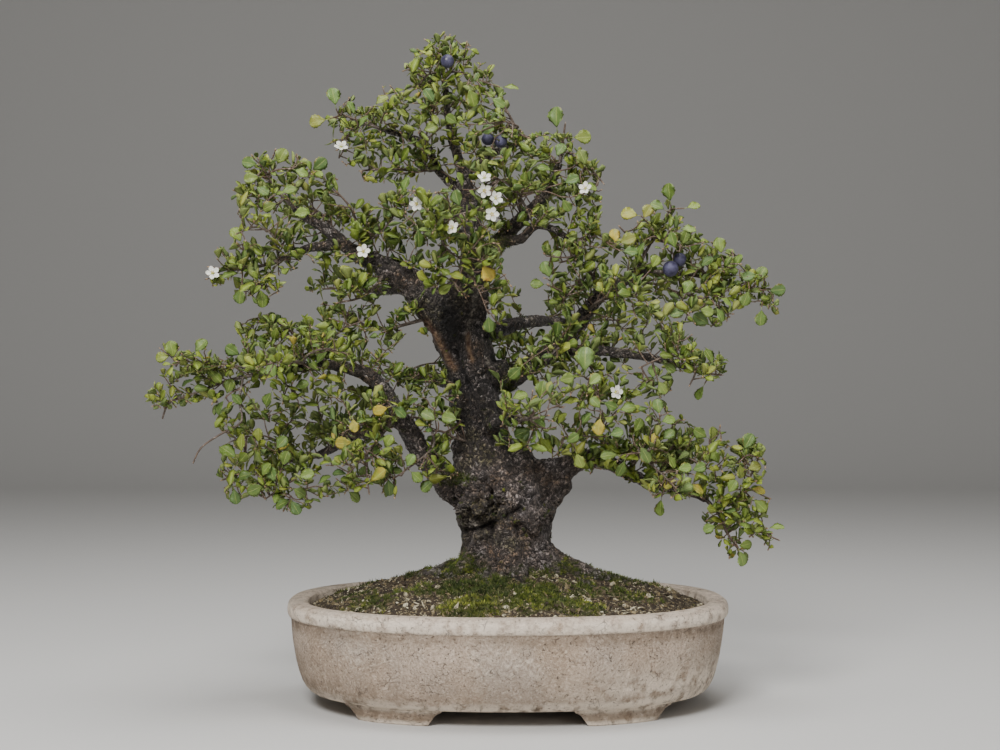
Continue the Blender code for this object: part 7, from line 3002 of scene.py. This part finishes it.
# Pale crumbs that lie on the soil, each with its place and its size
CRUMBS = (
    (6, -76, 4.4), (-1, -92, 5.0), (-3, -106, 4.2), (35, -108, 3.8), (30, -112, 3.0), (-110, -60, 4.0),
    (-103, -63, 3.4), (-62, -98, 3.6), (70, -96, 3.6), (88, -78, 4.0), (112, -44, 3.6),
    (-44, -108, 3.2), (14, -100, 3.0), (-84, -70, 3.4), (54, 84, 4.0), (-30, 92, 4.2), (124, 26, 3.6),
    (-128, 14, 3.8),
)


@dataclass
class Soil:
    """The mound of soil, the grit and litter on it, and its moss."""

    place: Place
    mound: Mound
    rings: int = 84
    sides: int = 220
    relief: float = 3.2
    floor: float = 20.8

    def moss_at(self, x: float, y: float) -> tuple[float, float]:
        """How thickly moss grows at a place on the mound, and how yellow it is.

        Args:
            x: the place to the right.
            y: the place to the back.

        Returns:
            The two shares, from 0 to 1.
        """
        best = (0.0, 0.3)
        for spot in MOSS_SPOTS:
            away = ((x - spot.x) / spot.reach_x) ** 2 + ((y - spot.y) / spot.reach_y) ** 2
            share = spot.strength * math.exp(-(away**1.5))
            best = max(best, (share, spot.yellow))
        ragged = noise.noise(Vector((x / 9, y / 9, 5))) + 0.6 * noise.noise(Vector((x / 3.5, y / 3.5, 9)))
        thick = max(0.0, min(1.0, 1.5 * (best[0] - 0.32) + 0.8 * ragged))
        return thick, best[1]

    def height(self, x: float, y: float) -> float:
        """The soil's height with its crumbs and its cushions of moss.

        Args:
            x: the place to the right.
            y: the place to the back.

        Returns:
            The height, in millimetres.
        """
        share = min(1.0, self.mound.oval.share(x, y, self.mound.inset))
        rough = noise.noise(Vector((x / 11, y / 11, 0))) + 0.7 * noise.noise(Vector((x / 4.2, y / 4.2, 2)))
        rough += 0.35 * noise.noise(Vector((x / 1.9, y / 1.9, 4)))
        pillow = 3.0 * noise.noise(Vector((x / 7, y / 7, 8)))
        pillow -= 2.6 * abs(noise.noise(Vector((x / 4, y / 4, 6))))
        cushion = self.moss_at(x, y)[0] * (2.2 + pillow)
        calm = 1 - 0.6 * share**6
        return self.mound.height(x, y) + self.relief * rough * calm + cushion

    def ground(self) -> Piece:
        """The closed body of soil.

        Returns:
            The soil.
        """
        inset = self.mound.inset
        rings = [
            self.mound.oval.ring(inset + 5.1, self.floor, self.sides),
            self.mound.oval.ring(inset, 24.5, self.sides),
            self.mound.oval.ring(inset, 50.0, self.sides),
        ]
        for k in range(self.rings):
            share = 1 - k / self.rings
            ring = []
            for x, y, _ in self.mound.oval.ring(inset, 0.0, self.sides):
                ring.append((x * share, y * share, self.height(x * share, y * share)))
            rings.append(ring)
        points, faces = loft(rings, capped=False)
        count = self.sides
        points += [(0.0, 0.0, self.floor), (0.0, 0.0, self.height(0.0, 0.0))]
        bottom = len(points) - 2
        last = (len(rings) - 1) * count
        faces += [(bottom, (i + 1) % count, i) for i in range(count)]
        faces += [(last + i, last + (i + 1) % count, bottom + 1) for i in range(count)]
        soil = new_object("soil_mound", self.place.metres(points), faces)
        moss = [self.moss_at(x, y) if z > 70 else (0.0, 0.0) for x, y, z in points]
        rims = [self.mound.oval.share(x, y, inset) for x, y, _ in points]
        store(soil, "moss", [share for share, _ in moss])
        store(soil, "yellow", [yellow for _, yellow in moss])
        open_soil = [point[2] > 70 and rim < 0.985 for point, rim in zip(points, rims)]
        store(soil, "bare", [float(bare) * (1 - 0.7 * thick) for bare, (thick, _) in zip(open_soil, moss)])
        return soil

    @staticmethod
    def pebble(name: str, stretch: Point, seed: int) -> Piece:
        """One grain, a unit across, outside the scene: a stone, or a flake with eight faces.

        Args:
            name: its name.
            stretch: its size along each axis.
            seed: the seed of its shape.

        Returns:
            The grain.
        """
        work = bmesh.new()
        if min(stretch) < 0.5:
            bmesh.ops.create_uvsphere(work, u_segments=4, v_segments=2, radius=0.5)
        else:
            bmesh.ops.create_icosphere(work, subdivisions=1, radius=0.5)
        for vertex in work.verts:
            swell = 1 + 0.45 * noise.noise(vertex.co * 3.1 + Vector((seed, 0, 0)))
            vertex.co = Vector([value * by for value, by in zip(vertex.co, stretch)]) * swell
        mesh = bpy.data.meshes.new(name)
        work.to_mesh(mesh)
        work.free()
        return bpy.data.objects.new(name, mesh)

    @staticmethod
    def tuft(name: str, seed: int) -> Piece:
        """One tuft of moss, a unit tall: a few thin three-sided spikes that lean out.

        Args:
            name: its name.
            seed: the seed of its shape.

        Returns:
            The tuft.
        """
        rng = random.Random(seed)
        heap = Heap()
        for i in range(6):
            turn = 2.4 * i
            way = Vector((math.cos(turn), math.sin(turn), 0))
            root = way * 0.07 * i - UP * 0.35
            tip = root + way * (0.08 + 0.11 * i) + UP * rng.uniform(1.0, 1.35)
            corners = [turn + 2 * math.pi * k / 3 for k in range(3)]
            points = [root + Vector((math.cos(corner), math.sin(corner), 0)) * 0.16 for corner in corners]
            heap.add(points + [tip], [(0, 1, 3), (1, 2, 3), (2, 0, 3), (2, 1, 0)])
        mesh = bpy.data.meshes.new(name)
        mesh.from_pydata([tuple(p) for p in heap.points], [], heap.faces)
        return bpy.data.objects.new(name, mesh)

    @staticmethod
    def scatter() -> NodeTree:
        """Geometry Nodes that strew shapes over a surface where an attribute says so.

        Returns:
            The tree.
        """
        inputs = {"Geometry": "Geometry", "Shapes": "Collection", "Where": "String", "Tint": "String"}
        inputs |= {name: "Float" for name in ("Density", "Smallest", "Largest", "Tumble")}
        inputs |= {"Seed": "Int", "Material": "Material"}
        graph, start, end = group_tree("scatter", "GeometryNodeTree", inputs, {"Geometry": "Geometry"})
        out = start.outputs
        density = graph.times(out["Density"], graph.named(out["Where"]))
        inputs = {"Mesh": out["Geometry"], "Density": density, "Seed": out["Seed"]}
        spread = graph.add("GeometryNodeDistributePointsOnFaces", inputs)
        small = graph.math("POWER", graph.draw(0.0, 1.0, 3), 2.2)
        size = graph.spread(small, 0.0, 1.0, out["Smallest"], out["Largest"])
        inputs = {0: (-1.0, -1.0, -3.14), 1: (1.0, 1.0, 3.14), "Seed": 5}
        angles = graph.add("FunctionNodeRandomValue", inputs, data_type="FLOAT_VECTOR")
        tumble = graph.add("ShaderNodeCombineXYZ", {0: out["Tumble"], 1: out["Tumble"], 2: 1.0})
        angles = graph.vector("MULTIPLY", angles, tumble)
        by = graph.add("FunctionNodeEulerToRotation", {"Euler": angles})
        inputs = {0: spread.outputs["Rotation"], 1: by}
        turned = graph.add("FunctionNodeRotateRotation", inputs, rotation_space="LOCAL")
        shapes = graph.collection(out["Shapes"])
        pick = graph.add("FunctionNodeRandomValue", {4: 0, 5: 7, "Seed": 9}, data_type="INT").outputs[2]
        placed = graph.place(spread.outputs["Points"], shapes, pick, turned, size)
        shade = graph.plus(graph.named(out["Tint"]), graph.draw(-0.35, 0.5, 11), clamp=True)
        inputs = {"Geometry": placed, "Name": "tint", "Value": shade}
        placed = graph.add("GeometryNodeStoreNamedAttribute", inputs, data_type="FLOAT", domain="INSTANCE")
        placed = graph.realized(placed, out["Material"])
        graph.feed(end.inputs["Geometry"], placed)
        return graph.tree

    def crumbs(self, material: Material) -> Piece:
        """The pale crumbs that lie on the soil, in one piece.

        Args:
            material: their material.

        Returns:
            The crumbs.
        """
        heap = Heap()
        for i, (x, y, size) in enumerate(CRUMBS):
            stone = self.pebble("crumb", (1.0, 0.85, 0.7), 7 * i)
            middle = Vector((x, y, self.height(x, y) + 0.22 * size))
            points = [middle + vertex.co * size for vertex in stone.data.vertices]
            heap.add(points, [face.vertices for face in stone.data.polygons], 1.0)
            remove(stone)
        piece = new_object("soil_crumbs", self.place.metres(heap.points), heap.faces, (material,))
        store(piece, "tint", heap.values)
        piece.data.shade_smooth()
        return finish_piece(piece, Slot.EARTH)

    def strew(
        self, soil: Piece, name: str, shapes: Sequence[Piece], tree: NodeTree, inputs: dict[str, Any]
    ) -> Piece:
        """A piece made of many small shapes on the soil.

        Args:
            soil: the surface that they are strewn on.
            name: its name.
            shapes: the small shapes, which are used up.
            tree: the node tree.
            inputs: the tree's inputs, by name.

        Returns:
            The piece.
        """
        group = bpy.data.collections.new(name)
        for shape in shapes:
            group.objects.link(shape)
        piece = bpy.data.objects.new(name, soil.data.copy())
        bpy.context.scene.collection.objects.link(piece)
        run_nodes(piece, tree, {**inputs, "Shapes": group})
        for shape in shapes:
            remove(shape)
        bpy.data.collections.remove(group)
        return finish_piece(piece, Slot.EARTH)

    def build(self, finishes: Finishes, wood: Piece) -> list[Piece]:
        """Makes the soil, its grit and its moss, which also climbs the wood.

        Args:
            finishes: the object's materials.
            wood: the wood.

        Returns:
            The soil and what lies on it.
        """
        soil = self.ground()
        tree = self.scatter()
        stretches = (
            (1.0, 1.0, 0.8), (1.2, 0.8, 0.6), (1.6, 0.5, 0.35), (2.4, 0.32, 0.25),
            (1.3, 0.9, 0.3), (1.8, 0.8, 0.2), (2.0, 0.45, 0.3), (1.0, 0.8, 0.4),
        )
        grains = [self.pebble(f"grain_{i}", stretch, 3 * i) for i, stretch in enumerate(stretches)]
        tufts = [self.tuft(f"tuft_{i}", i) for i in range(8)]
        store(soil, "plain", [0.35] * len(soil.data.vertices))
        grit = {
            "Where": "bare", "Tint": "plain", "Density": 110000.0, "Smallest": 1.0 * MM,
            "Largest": 5.6 * MM, "Tumble": 0.6, "Seed": 4, "Material": finishes.grit,
        }
        moss = {
            "Where": "moss", "Tint": "yellow", "Density": 250000.0, "Smallest": 1.8 * MM,
            "Largest": 4.6 * MM, "Tumble": 0.45, "Seed": 8, "Material": finishes.moss,
        }
        made = [self.strew(soil, "soil_grit", grains, tree, grit)]
        made.append(self.strew(soil, "soil_moss", tufts, tree, moss))
        tufts = [self.tuft(f"tuft_{i}", i) for i in range(8)]
        on_wood = {**moss, "Where": "tufts", "Density": 300000.0, "Largest": 3.2 * MM, "Seed": 5}
        made.append(self.strew(wood, "bark_moss", tufts, tree, on_wood))
        made.append(self.crumbs(finishes.grit))
        soil.data.materials.append(finishes.soil)
        soil.data.shade_smooth()
        return [finish_piece(soil, Slot.EARTH, "soil")] + made


@dataclass
class Studio:
    """A plain pale floor that sweeps up behind, soft lights and an even sky."""

    place: Place
    floor_depth: float = 2.6
    floor_width: float = 8.0
    sweep: float = 1.2
    wall: float = 3.5
    sky_colour: Colour = (1.0, 0.99, 0.97)
    sky_strength: float = 0.16

    def build(self, finishes: Finishes) -> None:
        """Makes the floor, the lights and the world.

        Args:
            finishes: the object's materials.
        """
        rows = [(-4.0, 0.0), (self.floor_depth, 0.0)]
        for i in range(1, 13):
            turn = math.pi / 2 * i / 12
            rows.append((self.floor_depth + self.sweep * math.sin(turn), self.sweep * (1 - math.cos(turn))))
        rows.append((self.floor_depth + self.sweep, self.wall))
        points = [(side * self.floor_width / 2, y, z) for y, z in rows for side in (-1, 1)]
        faces = [(2 * i, 2 * i + 1, 2 * i + 3, 2 * i + 2) for i in range(len(rows) - 1)]
        floor = new_object("floor", np.array(points), faces, (finishes.floor,))
        floor.data.shade_smooth()
        self.light("key", at=(-0.5, -1.7, 1.55), aim=(0.0, 0.0, 0.28), size=0.7, power=54.0)
        self.light("fill", at=(1.0, -1.6, 0.8), aim=(0.0, 0.0, 0.25), size=1.2, power=6.0)
        self.light("top", at=(0.1, -0.1, 1.7), aim=(0.0, 0.0, 0.3), size=0.9, power=21.0)
        world = bpy.data.worlds.new("studio")
        world.use_nodes = True
        sky = world.node_tree.nodes["Background"]
        sky.inputs["Color"].default_value = opaque(self.sky_colour)
        sky.inputs["Strength"].default_value = self.sky_strength
        bpy.context.scene.world = world

    def light(self, name: str, at: Point, aim: Point, size: float, power: float) -> None:
        """Adds a soft square light that looks at a point.

        Args:
            name: its name.
            at: where it is, in metres.
            aim: the point that it looks at.
            size: how wide it is, in metres.
            power: its power, in watts.
        """
        data = bpy.data.lights.new(name, "AREA")
        data.size = size
        data.energy = power
        lamp = bpy.data.objects.new(name, data)
        bpy.context.scene.collection.objects.link(lamp)
        lamp.location = Vector(at) + Vector((self.place.x, self.place.y, 0.0))
        way = Vector(aim) - Vector(at)
        lamp.rotation_euler = way.to_track_quat("-Z", "Y").to_euler()


def main() -> None:
    """Builds the bonsai's looks, piece by piece."""
    logging.basicConfig(level=logging.INFO, format="%(message)s")
    bpy.context.view_layer.update()
    place = Place.from_frame()
    view = Viewpoint()
    view.build(place)
    finishes = Finishes.build()
    mound = Mound()
    Pot(place).build(finishes)
    wood = Wood(place, mound)
    skin = wood.build(finishes)
    Soil(place, mound).build(finishes, skin)
    foliage = Foliage(place, view, wood.surface(skin))
    foliage.lay_stems()
    rng = random.Random(f"{SEED} carriers")
    for node in BLOOMS:
        _, end, axis = Bloom(place, f"bloom_{node}").build(finishes)
        foliage.carry(end, axis, rng)
    for node, radius in SLOES.items():
        _, end, axis = Sloe(place, node, radius).build(finishes)
        foliage.carry(end, axis, rng)
    foliage.add_large_leaves()
    foliage.grow_on_stems()
    foliage.grow_on_limbs()
    foliage.fill_crown()
    foliage.build(finishes)
    for side in ("left", "right"):
        screen = frame["nodes"][f"drain_screen_{side}"]
        screen.material_slots[0].material = finishes.screen
    Studio(place).build(finishes)
    bpy.context.view_layer.update()


if __name__ == "__main__":
    main()
